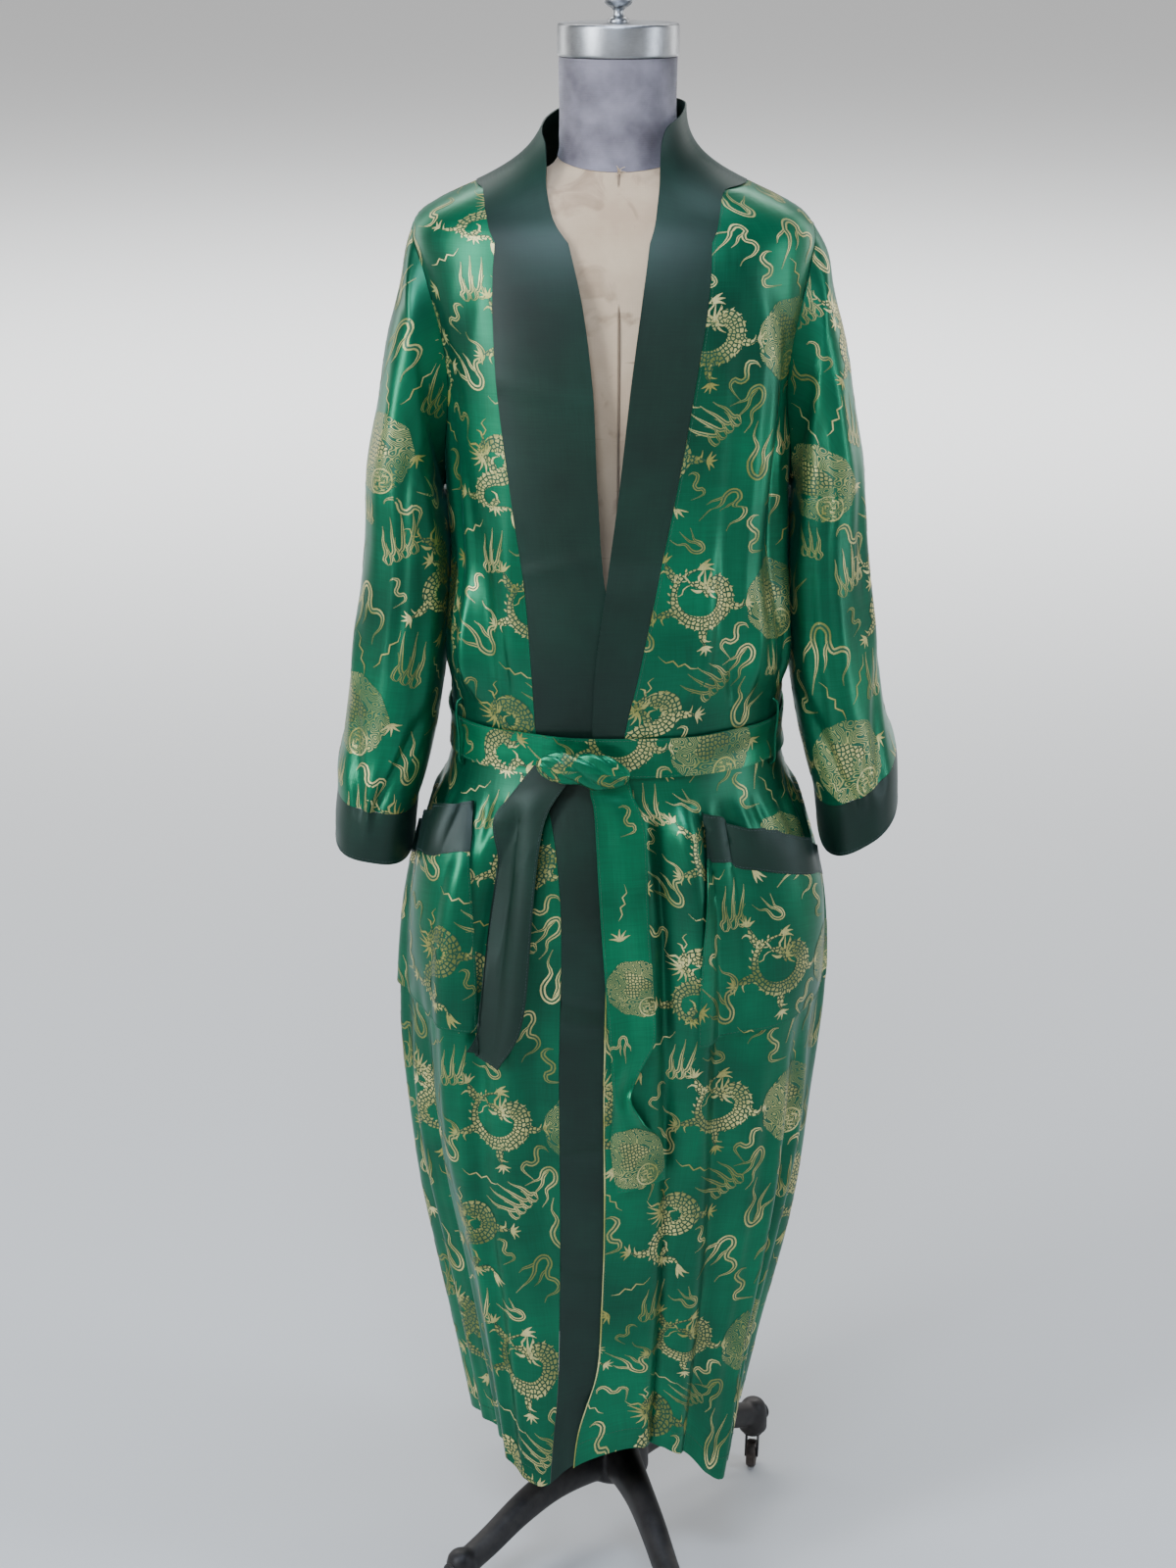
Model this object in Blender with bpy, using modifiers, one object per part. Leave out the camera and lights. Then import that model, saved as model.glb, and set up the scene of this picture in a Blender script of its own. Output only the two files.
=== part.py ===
"""Silk dragon robe on a dress form with a cast-iron stand. Metres, +Z up, front at -Y.

The robe is a wrap robe with dropped sleeves, a plain band collar that runs down both
fronts, two patch pockets and a tie belt. The wearer's left front lies over the right one.
Image left is the wearer's right, at -X.
"""

import math
from typing import NamedTuple

import bmesh
import bpy
import numpy as np
from mathutils import Matrix, Vector

# Cloth
CLOTH = 0.0016
BAND = 0.0022
SEAM = 0.0003
LAYER = 0.0012
LAP = 2 * LAYER + 2 * CLOTH
LAP_FULL_X = 0.062
LAP_END_X = 0.115
LAP_TOP = 1.15
LAP_FADE = 0.05
BAND_RISE = 0.0008
BAND_RISE_FADE = 0.06
EDGE_TURN = 0.040
MIN_PANEL_ANGLE = 0.02
TURNED_BAND = (0.0015, 0.055)

# Heights
HEM = 0.180
BELT_TOP = 0.965
BELT_BOTTOM = 0.923
BELT_SIDE_RISE = 0.010
UNDERARM = 1.19
SHOULDER_TIP = 1.448
PANEL_TOP = 1.487
V_BOTTOM = 1.10
ARMHOLE_HALF_DEPTH = 0.062
ARMHOLE_GAP = 0.0005

HEM_DIPS = (
    # x of the middle, spread, how far the hem drops
    (-0.078, 0.030, 0.030),
    (0.112, 0.028, 0.042),
    (0.020, 0.045, -0.018),
)

HEM_FADE = 0.18
HEM_FRONT_START = 0.02
HEM_FRONT_FADE = 0.05

SKIRT_ROWS = 9
WAIST_MIDDLE = 0.944
WAIST_ROWS = (0.902, BELT_BOTTOM - 0.006, WAIST_MIDDLE, BELT_TOP + 0.017, 1.03, V_BOTTOM, 1.12, 1.15)
ARMHOLE_ROWS = 8
SHOULDER_ROWS = (1.460, 1.474, 1.481, PANEL_TOP)


class BodyRing(NamedTuple):
    """One level section of the robe's body."""

    height: float
    half_width: float
    front: float
    back: float
    squareness: float
    centre_x: float


BODY_RINGS = (
    BodyRing(0.150, 0.134, 0.150, 0.138, 2.4, -0.010),
    BodyRing(0.200, 0.144, 0.150, 0.142, 2.4, -0.009),
    BodyRing(0.280, 0.160, 0.150, 0.148, 2.4, -0.008),
    BodyRing(0.370, 0.180, 0.150, 0.152, 2.4, -0.006),
    BodyRing(0.480, 0.203, 0.150, 0.155, 2.4, -0.006),
    BodyRing(0.600, 0.216, 0.150, 0.156, 2.4, -0.005),
    BodyRing(0.710, 0.216, 0.150, 0.154, 2.4, -0.002),
    BodyRing(0.790, 0.206, 0.149, 0.150, 2.4, 0.000),
    BodyRing(0.860, 0.187, 0.142, 0.142, 2.4, 0.000),
    BodyRing(0.915, 0.169, 0.131, 0.131, 2.4, 0.000),
    BodyRing(0.945, 0.165, 0.127, 0.127, 2.4, 0.000),
    BodyRing(0.975, 0.167, 0.129, 0.129, 2.5, 0.000),
    BodyRing(1.040, 0.170, 0.136, 0.134, 2.6, 0.000),
    BodyRing(1.150, 0.169, 0.135, 0.130, 2.8, 0.000),
    BodyRing(1.250, 0.172, 0.131, 0.128, 3.0, 0.000),
    BodyRing(1.350, 0.180, 0.124, 0.128, 3.0, 0.000),
    BodyRing(1.410, 0.191, 0.112, 0.124, 2.8, -0.002),
    BodyRing(1.440, 0.196, 0.102, 0.118, 2.6, -0.004),
    BodyRing(1.460, 0.186, 0.093, 0.111, 2.4, -0.006),
    BodyRing(1.474, 0.160, 0.085, 0.105, 2.2, -0.006),
    BodyRing(1.490, 0.124, 0.078, 0.096, 2.0, -0.006),
    BodyRing(1.510, 0.091, 0.071, 0.084, 2.0, -0.005),
    BodyRing(1.530, 0.074, 0.067, 0.074, 2.0, -0.004),
    BodyRing(1.550, 0.067, 0.065, 0.068, 2.0, -0.002),
    BodyRing(1.570, 0.065, 0.064, 0.066, 2.0, 0.000),
)


class Fold(NamedTuple):
    """A soft ridge (depth above 0) or trough down the cloth, angles in degrees."""

    top_angle: float
    low_angle: float
    half_angle: float
    depth: float
    top: float
    bottom: float
    fade_in: float
    fade_out: float


BODY_FOLDS = (
    Fold(-42, -34, 17, 0.020, 0.90, 0.10, 0.45, 0.0),
    Fold(-66, -64, 15, -0.010, 0.84, 0.10, 0.40, 0.0),
    Fold(40, 48, 18, 0.017, 0.90, 0.10, 0.45, 0.0),
    Fold(27, 29, 15, -0.009, 0.86, 0.10, 0.35, 0.0),
    Fold(70, 72, 14, -0.010, 0.80, 0.10, 0.40, 0.0),
    Fold(118, 116, 17, -0.012, 0.90, 0.10, 0.40, 0.0),
    Fold(148, 146, 18, 0.012, 0.90, 0.10, 0.45, 0.0),
    Fold(178, 180, 17, -0.010, 0.88, 0.10, 0.45, 0.0),
    Fold(212, 214, 18, 0.013, 0.90, 0.10, 0.45, 0.0),
    Fold(243, 244, 16, -0.011, 0.90, 0.10, 0.40, 0.0),
    Fold(-60, -56, 22, 0.012, 1.14, 0.982, 0.12, 0.05),
    Fold(58, 56, 22, 0.011, 1.15, 0.982, 0.13, 0.05),
    Fold(64, 50, 14, -0.008, 1.40, 1.05, 0.12, 0.08),
    Fold(44, 40, 12, 0.007, 1.42, 1.02, 0.12, 0.08),
    Fold(-62, -52, 14, -0.007, 1.40, 1.05, 0.12, 0.08),
    Fold(130, 140, 20, 0.009, 1.30, 0.982, 0.15, 0.05),
    Fold(225, 220, 20, 0.009, 1.30, 0.982, 0.15, 0.05),
    Fold(180, 180, 16, -0.007, 1.34, 0.99, 0.15, 0.05),
    Fold(-90, -90, 30, -0.008, 1.185, 0.985, 0.06, 0.03),
    Fold(90, 90, 30, -0.008, 1.185, 0.985, 0.06, 0.03),
    Fold(-52, -50, 22, 0.010, 0.895, 0.60, 0.06, 0.15),
    Fold(54, 54, 24, 0.012, 0.895, 0.60, 0.06, 0.15),
)


class EdgeRow(NamedTuple):
    """Where the two bands' edges lie across the front at one height."""

    height: float
    right_seam: float
    right_free: float
    left_seam: float
    left_free: float


EDGE_ROWS = (
    EdgeRow(0.150, -0.066, 0.020, 0.010, -0.046),
    EdgeRow(0.215, -0.064, 0.022, 0.010, -0.040),
    EdgeRow(0.275, -0.060, 0.026, 0.010, -0.022),
    EdgeRow(0.360, -0.058, 0.028, 0.010, -0.016),
    EdgeRow(0.600, -0.058, 0.030, 0.010, -0.014),
    EdgeRow(0.860, -0.062, 0.028, 0.010, -0.015),
    EdgeRow(0.945, -0.078, 0.012, 0.004, -0.024),
    EdgeRow(1.030, -0.084, 0.006, 0.020, -0.022),
    EdgeRow(1.110, -0.090, -0.012, 0.036, -0.012),
    EdgeRow(1.210, -0.104, -0.020, 0.056, 0.001),
    EdgeRow(1.310, -0.116, -0.025, 0.073, 0.012),
    EdgeRow(1.400, -0.119, -0.038, 0.086, 0.024),
    EdgeRow(1.440, -0.117, -0.048, 0.088, 0.0295),
)


class NeckRow(NamedTuple):
    """Where the band's two edges lie as it passes round the neck, angles in degrees."""

    seam_angle: float
    seam_height: float
    free_angle: float
    free_height: float


NECK_ROWS_RIGHT = (
    NeckRow(-37, 1.460, -20.7, 1.475),
    NeckRow(-46.5, 1.474, -39, 1.505),
    NeckRow(-61, 1.484, -58, 1.527),
    NeckRow(-90, 1.4880, -90, 1.541),
    NeckRow(-122, 1.482, -122, 1.552),
    NeckRow(-152, 1.475, -152, 1.560),
    NeckRow(-179.85, 1.4725, -179.85, 1.564),
)
NECK_ROWS_LEFT = (
    NeckRow(31, 1.460, 14.7, 1.475),
    NeckRow(38, 1.474, 28, 1.508),
    NeckRow(49, 1.484, 42, 1.541),
    NeckRow(90, 1.4880, 90, 1.560),
    NeckRow(122, 1.482, 122, 1.563),
    NeckRow(152, 1.475, 152, 1.564),
    NeckRow(179.85, 1.4725, 179.85, 1.564),
)
BAND_COLUMNS = 5
NAPE_STEPS = 9

RIGHT_COLUMNS = 13
LEFT_COLUMNS = 16
BACK_COLUMNS = 2 * NAPE_STEPS + 1


class SleeveSection(NamedTuple):
    """One section of a sleeve: tilt is from level, pitch lifts the rear edge."""

    inner_x: float
    inner_z: float
    length: float
    tilt: float
    half_depth: float
    pitch: float


SLEEVE_SECTIONS = (
    SleeveSection(0.1715, 1.1890, 0.2460, 82.1, 0.067, 0.0),
    SleeveSection(0.1722, 1.1872, 0.2110, 78.9, 0.073, 0.0),
    SleeveSection(0.1724, 1.1850, 0.1630, 70.4, 0.078, 0.0),
    SleeveSection(0.1720, 1.1820, 0.1180, 57, 0.082, 0.0),
    SleeveSection(0.1710, 1.1760, 0.0820, 27, 0.085, 0.0),
    SleeveSection(0.1665, 1.1350, 0.0810, 4, 0.087, 0.0),
    SleeveSection(0.1675, 1.0600, 0.0880, 2, 0.088, 0.1),
    SleeveSection(0.1755, 0.9900, 0.0890, 2, 0.089, 0.2),
    SleeveSection(0.1860, 0.9250, 0.0870, 2, 0.089, 0.4),
    SleeveSection(0.1950, 0.8850, 0.0850, 3, 0.089, 0.6),
    SleeveSection(0.2010, 0.8580, 0.0830, 4, 0.089, 0.8),
)
CUFF_SECTIONS = (
    SleeveSection(0.205, 0.830, 0.0820, 4, 0.088, 0.8),
    SleeveSection(0.208, 0.804, 0.0795, 4, 0.087, 0.8),
)


class SleeveSide(NamedTuple):
    """What differs between the sleeves: the slant, lift and rise of the end, cap and fullness."""

    name: str
    side: int
    pitch_share: float
    end_lift: float
    outer_lift: float
    cap_share: float
    flatten: float
    widen: float
    depth_share: float


SLEEVE_SIDES = (
    SleeveSide("right", -1, 0.10, 0.018, 0.008, 0.985, 3.0, 0.005, 1.05),
    SleeveSide("left", 1, 0.24, 0.026, 0.040, 0.955, 2.6, 0.0, 1.0),
)
WIDEN_INWARD = 0.25
ROUND_SECTIONS = 5.0
CAP_TILT = 45
END_PITCH = 0.8
SLEEVE_CREASES = (
    # section from, section to, angle round, half angle, depth
    (4, 9, 62, 34, -0.010),
    (5, 10, 118, 30, -0.007),
    (4, 10, 240, 40, -0.008),
    (6, 10, 300, 30, -0.006),
)


class PocketSize(NamedTuple):
    """A patch pocket: its two upright edges and its four corner heights."""

    name: str
    inner_x: float
    outer_angle: float
    inner_top: float
    outer_top: float
    inner_bottom: float
    outer_bottom: float
    bulge: float


POCKETS = (
    PocketSize("right", -0.140, -80, 0.888, 0.846, 0.655, 0.675, 0.014),
    PocketSize("left", 0.080, 77, 0.888, 0.816, 0.648, 0.682, 0.013),
)
POCKET_BAND = 0.046
POCKET_COLUMNS = 9
POCKET_ROWS = 7
POCKET_SEAT = 0.0020

BELT_WALL = 0.0024
BELT_SEAT = 0.0012
BELT_COLUMNS = 44
BELT_LAP_RISE = LAP + 0.0004
BELT_LAP_MIDDLE = 0.012
BELT_LAP_HALF = 0.055
BELT_LAP_FADE = 0.05
KNOT_CENTRE = (-0.032, 0.936)
KNOT_HALF = (0.046, 0.0090, 0.020)
KNOT_STAND_OFF = 0.0234
KNOT_PINCH = 0.22
KNOT_PINCH_PLACE = -0.15
KNOT_PINCH_SPREAD = 0.28
KNOT_RIPPLE = 0.12
KNOT_RIPPLES = 6.0
KNOT_SKEW = 0.10
KNOT_SLANT = 0.004


class TailRow(NamedTuple):
    """One row of a hanging belt end: left edge, right edge, height, stand-off, twist."""

    left_x: float
    right_x: float
    left_z: float
    right_z: float
    stand_off: float
    twist: float


TAIL_RIGHT = (
    TailRow(-0.078, -0.036, 0.9340, 0.9340, 0.0129, 0.0),
    TailRow(-0.098, -0.056, 0.905, 0.905, 0.0132, 0.0),
    TailRow(-0.112, -0.068, 0.882, 0.882, 0.0130, 0.0),
    TailRow(-0.119, -0.075, 0.850, 0.850, 0.0110, 0.001),
    TailRow(-0.126, -0.082, 0.790, 0.788, 0.0100, 0.002),
    TailRow(-0.134, -0.090, 0.720, 0.716, 0.0110, 0.002),
    TailRow(-0.141, -0.098, 0.665, 0.660, 0.0130, 0.001),
    TailRow(-0.148, -0.110, 0.640, 0.625, 0.0140, 0.0),
)
TAIL_LEFT = (
    TailRow(-0.028, 0.008, 0.9340, 0.9340, 0.0129, 0.0),
    TailRow(-0.026, 0.014, 0.9080, 0.9080, 0.0145, 0.0),
    TailRow(-0.022, 0.021, 0.885, 0.885, 0.0160, 0.0),
    TailRow(-0.017, 0.027, 0.800, 0.802, 0.0140, -0.001),
    TailRow(-0.011, 0.031, 0.710, 0.712, 0.0150, -0.002),
    TailRow(-0.007, 0.032, 0.650, 0.652, 0.0160, -0.003),
    TailRow(-0.005, 0.022, 0.620, 0.622, 0.0170, -0.004),
    TailRow(-0.004, 0.013, 0.596, 0.598, 0.0180, 0.0),
    TailRow(-0.005, 0.024, 0.572, 0.576, 0.0180, 0.004),
    TailRow(-0.006, 0.034, 0.540, 0.556, 0.0170, 0.003),
    TailRow(0.000, 0.039, 0.492, 0.505, 0.0160, 0.0),
)
TAIL_COLUMNS = 4

LOOP_RADIUS = 0.0013
LOOP_REACH = 0.008
LOOP_ANGLE = 60
LOOP_BELOW = 0.004
LOOP_ABOVE = 0.022
LOOP_POINTS = 9
LOOP_SQUARENESS = 0.6

# Dress form
FORM_BOTTOM = 0.800
FORM_TOP = 1.504
NECK_RADIUS = 0.0565
NECK_TOP = 1.6035
CAP_RADIUS = 0.0585
CAP_TOP = 1.635
FINIAL_TOP = 1.673


class FormRing(NamedTuple):
    """One level section of the torso below the shoulders."""

    height: float
    half_width: float
    front: float
    back: float


FORM_RINGS = (
    FormRing(FORM_BOTTOM, 0.136, 0.100, 0.105),
    FormRing(0.860, 0.145, 0.106, 0.112),
    FormRing(0.920, 0.147, 0.108, 0.112),
    FormRing(1.000, 0.138, 0.102, 0.104),
    FormRing(1.080, 0.124, 0.094, 0.092),
    FormRing(1.150, 0.122, 0.094, 0.088),
    FormRing(1.230, 0.134, 0.106, 0.092),
    FormRing(1.300, 0.147, 0.112, 0.098),
    FormRing(1.370, 0.160, 0.106, 0.106),
)
FORM_SHOULDERS = (
    # height, distance under the cloth's inner face
    (1.425, 0.0050),
    (1.444, 0.0034),
    (1.460, 0.0022),
    (1.476, 0.0018),
)
FORM_TOP_RINGS = (
    # half width, front, back, height
    (0.082, 0.066, 0.078, 1.494),
    (0.062, 0.059, 0.062, FORM_TOP),
)
FORM_COLUMNS = 28
NECK_SIDES = 24
FINIAL_SIDES = 14

# Turned profiles as (radius, height), top to bottom
NECK_PROFILE = (
    (0.0, NECK_TOP),
    (NECK_RADIUS, NECK_TOP),
    (NECK_RADIUS, NECK_TOP - 0.020),
    (NECK_RADIUS, FORM_TOP + 0.020),
    (NECK_RADIUS + 0.002, FORM_TOP + SEAM),
    (0.0, FORM_TOP + SEAM),
)
CAP_PROFILE = (
    (0.0, CAP_TOP),
    (CAP_RADIUS - 0.0050, CAP_TOP),
    (CAP_RADIUS - 0.0015, CAP_TOP - 0.001),
    (CAP_RADIUS, CAP_TOP - 0.004),
    (CAP_RADIUS, NECK_TOP + SEAM + 0.002),
    (CAP_RADIUS - 0.0010, NECK_TOP + SEAM),
    (0.0, NECK_TOP + SEAM),
)
FINIAL_LOW = CAP_TOP + SEAM
FINIAL_PROFILE = (
    (0.0, FINIAL_TOP),
    (0.0040, FINIAL_TOP - 0.0007),
    (0.0100, FINIAL_LOW + 0.034),
    (0.0145, FINIAL_LOW + 0.028),
    (0.0150, FINIAL_LOW + 0.021),
    (0.0120, FINIAL_LOW + 0.016),
    (0.0058, FINIAL_LOW + 0.012),
    (0.0062, FINIAL_LOW + 0.006),
    (0.0100, FINIAL_LOW + 0.003),
    (0.0105, FINIAL_LOW),
    (0.0, FINIAL_LOW),
)

# Stand
POST_RADIUS = 0.0150
POST_FLANGE_RADIUS = 0.045
POST_FLANGE = 0.007
HUB_TOP = 0.150
HUB_BOTTOM = 0.078
HUB_RADIUS = 0.038
LEG_ANGLES = (45, 106, 225, 286)
LEG_REACH = 0.230
BOSS_RADIUS = 0.0165
BOSS_BOTTOM = 0.041
BOSS_TOP = 0.082


class LegSection(NamedTuple):
    """One section of a cast leg along its run from the hub."""

    run: float
    height: float
    half_tall: float
    half_wide: float


LEG_SECTIONS = (
    LegSection(0.010, 0.112, 0.033, 0.022),
    LegSection(0.045, 0.111, 0.025, 0.0180),
    LegSection(0.095, 0.106, 0.0195, 0.0150),
    LegSection(0.145, 0.093, 0.0170, 0.0140),
    LegSection(0.190, 0.075, 0.0155, 0.0132),
    LegSection(LEG_REACH, 0.062, 0.0145, 0.0125),
)
LEG_SIDES = 8
POST_SIDES = 16
BOSS_SIDES = 12
POST_LOW = HUB_TOP + SEAM
POST_HIGH = FORM_BOTTOM - SEAM
POST_PROFILE = (
    (0.0, POST_HIGH),
    (POST_FLANGE_RADIUS, POST_HIGH),
    (POST_FLANGE_RADIUS, POST_HIGH - POST_FLANGE),
    (POST_RADIUS + 0.004, POST_HIGH - POST_FLANGE - 0.004),
    (POST_RADIUS, POST_HIGH - POST_FLANGE - 0.020),
    (POST_RADIUS, POST_LOW),
    (0.0, POST_LOW),
)
HUB_PROFILE = (
    (0.0, HUB_TOP),
    (0.020, HUB_TOP),
    (0.022, HUB_TOP - 0.003),
    (0.028, HUB_TOP - 0.012),
    (HUB_RADIUS, HUB_TOP - 0.030),
    (HUB_RADIUS, HUB_BOTTOM + 0.010),
    (0.024, HUB_BOTTOM),
    (0.0, HUB_BOTTOM),
)
BOSS_PROFILE = (
    (0.0, BOSS_TOP),
    (BOSS_RADIUS * 0.30, BOSS_TOP),
    (BOSS_RADIUS * 0.72, BOSS_TOP - 0.004),
    (BOSS_RADIUS, BOSS_TOP - 0.012),
    (BOSS_RADIUS + 0.0005, BOSS_BOTTOM + 0.012),
    (BOSS_RADIUS, BOSS_BOTTOM),
    (0.0, BOSS_BOTTOM),
)

WHEEL_RADIUS = 0.0160
WHEEL_SIDES = 16
WHEEL_HALF = 0.0052
WHEEL_BORE = 0.0031
AXLE_RADIUS = 0.0025
FORK_CLEARANCE = 0.0006
FORK_CHEEK = 0.0018
FORK_HALF_WIDTH = 0.0048
FORK_PLATE_RADIUS = 0.0110
FORK_PLATE = 0.0030
FORK_NECK = 0.0070
FORK_SINK = 0.0009
BORE_SIDES = 10
CASTER_TRAIL = 0.0080
CASTER_TURN = 35

# Colours as linear values, with roughness and metallic share
SATIN = ((0.003, 0.115, 0.055, 1.0), 0.42, 0.25)
DARK_SATIN = ((0.006, 0.030, 0.024, 1.0), 0.50, 0.0)
CANVAS = ((0.49, 0.38, 0.26, 1.0), 0.90, 0.0)
NECK_COVER = ((0.055, 0.045, 0.040, 1.0), 0.85, 0.0)
STEEL = ((0.50, 0.51, 0.52, 1.0), 0.32, 1.0)
IRON = ((0.022, 0.020, 0.020, 1.0), 0.60, 0.6)
WHEEL_IRON = ((0.045, 0.038, 0.034, 1.0), 0.65, 0.4)


def clear_scene():
    """Remove whatever objects the scene starts with."""
    for thing in list(bpy.data.objects):
        bpy.data.objects.remove(thing, do_unlink=True)


def make_collection(name):
    """Return a new collection linked to the scene."""
    collection = bpy.data.collections.new(name)
    bpy.context.scene.collection.children.link(collection)
    return collection


def finish(thing, look):
    """Give an object its own material from a (colour, roughness, metallic) look."""
    colour, roughness, metallic = look
    material = bpy.data.materials.new(thing.name)
    material.use_nodes = True
    shader = material.node_tree.nodes["Principled BSDF"]
    shader.inputs["Base Color"].default_value = colour
    shader.inputs["Roughness"].default_value = roughness
    shader.inputs["Metallic"].default_value = metallic
    material.diffuse_color = colour
    thing.data.materials.clear()
    thing.data.materials.append(material)


def add_mesh(name, points, faces, collection, look=None):
    """Make a mesh object from points and faces and shade it smooth."""
    mesh = bpy.data.meshes.new(name)
    mesh.from_pydata([tuple(float(value) for value in point) for point in points], [], faces)
    mesh.validate()
    mesh.shade_smooth()
    thing = bpy.data.objects.new(name, mesh)
    collection.objects.link(thing)
    if look is not None:
        finish(thing, look)
    return thing


def soft_step(share):
    """Ease from 0 to 1 as share goes from 0 to 1."""
    share = np.clip(share, 0.0, 1.0)
    return share * share * (3.0 - 2.0 * share)


def along_table(rows, column, height):
    """Read one named column of a table at any height, on a smooth curve through its rows."""
    heights = np.array([row.height for row in rows])
    values = np.array([getattr(row, column) for row in rows])
    slopes = np.gradient(values, heights)
    height = np.clip(np.asarray(height, dtype=float), heights[0], heights[-1])
    index = np.clip(np.searchsorted(heights, height, side="right") - 1, 0, len(rows) - 2)
    step = heights[index + 1] - heights[index]
    share = (height - heights[index]) / step
    ease = soft_step(share)
    from_low = values[index] + 0.0 * share
    from_high = values[index + 1] + 0.0 * share
    start_pull = share * (1.0 - share) ** 2 * step * slopes[index]
    end_pull = share ** 2 * (1.0 - share) * step * slopes[index + 1]
    return from_low * (1.0 - ease) + from_high * ease + start_pull - end_pull


def fold_height(angle, height):
    """Sum what the body's folds add, outward, at an angle in radians and a height."""
    degrees = np.degrees(angle)
    total = np.zeros(np.broadcast(degrees, height).shape)
    for fold in BODY_FOLDS:
        run = np.clip((fold.top - height) / (fold.top - fold.bottom), 0.0, 1.0)
        middle = fold.top_angle + (fold.low_angle - fold.top_angle) * run
        away = np.abs((degrees - middle + 180.0) % 360.0 - 180.0) / fold.half_angle
        swell = np.where(away < 1.0, 0.5 + 0.5 * np.cos(math.pi * np.minimum(away, 1.0)), 0.0)
        window = soft_step((fold.top - height) / fold.fade_in)
        if fold.fade_out > 0.0:
            window = window * soft_step((height - fold.bottom) / fold.fade_out)
        total = total + fold.depth * swell * window
    return total


def body_middle(angle, height):
    """Return the body's outer surface, folds included, at angles in radians and heights."""
    half_width = along_table(BODY_RINGS, "half_width", height)
    front = along_table(BODY_RINGS, "front", height)
    back = along_table(BODY_RINGS, "back", height)
    power = along_table(BODY_RINGS, "squareness", height)
    centre_x = along_table(BODY_RINGS, "centre_x", height)
    across = np.sin(angle)
    ahead = np.cos(angle)
    reach = (np.abs(across) ** power + np.abs(ahead) ** power) ** (-1.0 / power)
    depth = np.where(ahead > 0.0, front, back)
    swell = fold_height(angle, height)
    side = across * depth
    face = ahead * half_width
    length = np.hypot(side, face)
    x = centre_x + half_width * across * reach + swell * side / length
    y = -depth * ahead * reach - swell * face / length
    return np.stack(np.broadcast_arrays(x, y, height + 0.0 * x), axis=-1)


def body_normal(angle, height):
    """Return the outward unit normal of the body's surface."""
    nudge_angle = 0.01
    nudge_height = 0.004
    across = body_middle(angle + nudge_angle, height) - body_middle(angle - nudge_angle, height)
    up = body_middle(angle, height + nudge_height) - body_middle(angle, height - nudge_height)
    normal = np.cross(across, up)
    return normal / np.linalg.norm(normal, axis=-1, keepdims=True)


def body_surface(angle, height, offset):
    """Return points a given distance out from the body's surface."""
    offset = np.asarray(offset, dtype=float)
    shift = body_normal(angle, height) * (offset[..., None] if offset.ndim else offset)
    return body_middle(angle, height) + shift


def front_angle(x, height):
    """Return the angle on the front half at which the plain ring passes x."""
    half_width = along_table(BODY_RINGS, "half_width", height)
    power = along_table(BODY_RINGS, "squareness", height)
    share = np.clip((x - along_table(BODY_RINGS, "centre_x", height)) / half_width, -1.0, 1.0)
    ahead = (1.0 - np.abs(share) ** power) ** (1.0 / power)
    return np.arctan2(share, ahead)


def depth_angle(y, height):
    """Return the angle from the front at which the plain ring passes depth y (y below 0)."""
    front = along_table(BODY_RINGS, "front", height)
    power = along_table(BODY_RINGS, "squareness", height)
    share = np.clip(-y / front, 0.0, 1.0)
    side = (1.0 - share ** power) ** (1.0 / power)
    return np.arctan2(side, share)


def back_depth_angle(y, height):
    """Return the angle, from 90 to 180 degrees, at which the ring passes depth y behind."""
    back = along_table(BODY_RINGS, "back", height)
    power = along_table(BODY_RINGS, "squareness", height)
    share = np.clip(y / back, 0.0, 1.0)
    side = (1.0 - share ** power) ** (1.0 / power)
    return math.pi - np.arctan2(side, share)


def lap_lift(angle, height):
    """Return how far the left front stands out where it laps over the right one."""
    x = body_middle(angle, height)[..., 0]
    near = 1.0 - soft_step((x - LAP_FULL_X) / (LAP_END_X - LAP_FULL_X))
    below = soft_step((LAP_TOP - height) / LAP_FADE)
    return LAP * near * below


def armhole_heights():
    """Return the levels that the panels and the sleeve share round the armhole."""
    middle = 0.5 * (UNDERARM + SHOULDER_TIP)
    half = 0.5 * (SHOULDER_TIP - UNDERARM)
    turns = np.linspace(math.pi, 0.0, ARMHOLE_ROWS + 1)
    return middle + half * np.cos(turns)


def armhole_depth(height):
    """Return the armhole's half depth at a height, 0 outside it."""
    middle = 0.5 * (UNDERARM + SHOULDER_TIP)
    half = 0.5 * (SHOULDER_TIP - UNDERARM)
    share = np.clip(1.0 - ((height - middle) / half) ** 2, 0.0, 1.0)
    return ARMHOLE_HALF_DEPTH * np.sqrt(share)


def panel_heights():
    """Return the levels that all the body's pieces share."""
    skirt = np.linspace(HEM, WAIST_ROWS[0], SKIRT_ROWS + 1)[:-1]
    return np.concatenate([skirt, WAIST_ROWS, armhole_heights(), SHOULDER_ROWS])


def drop_hem(points):
    """Let the hem dip at the front corners and rise between them, fading up the skirt."""
    x = points[..., 0]
    z = points[..., 2]
    corner = sum(drop * np.exp(-((x - middle) / spread_x) ** 2) for middle, spread_x, drop in HEM_DIPS)
    front = soft_step((-points[..., 1] - HEM_FRONT_START) / HEM_FRONT_FADE)
    fade = 1.0 - soft_step((z - HEM) / HEM_FADE)
    moved = points.copy()
    moved[..., 2] = z - corner * front * fade
    return moved


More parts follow.
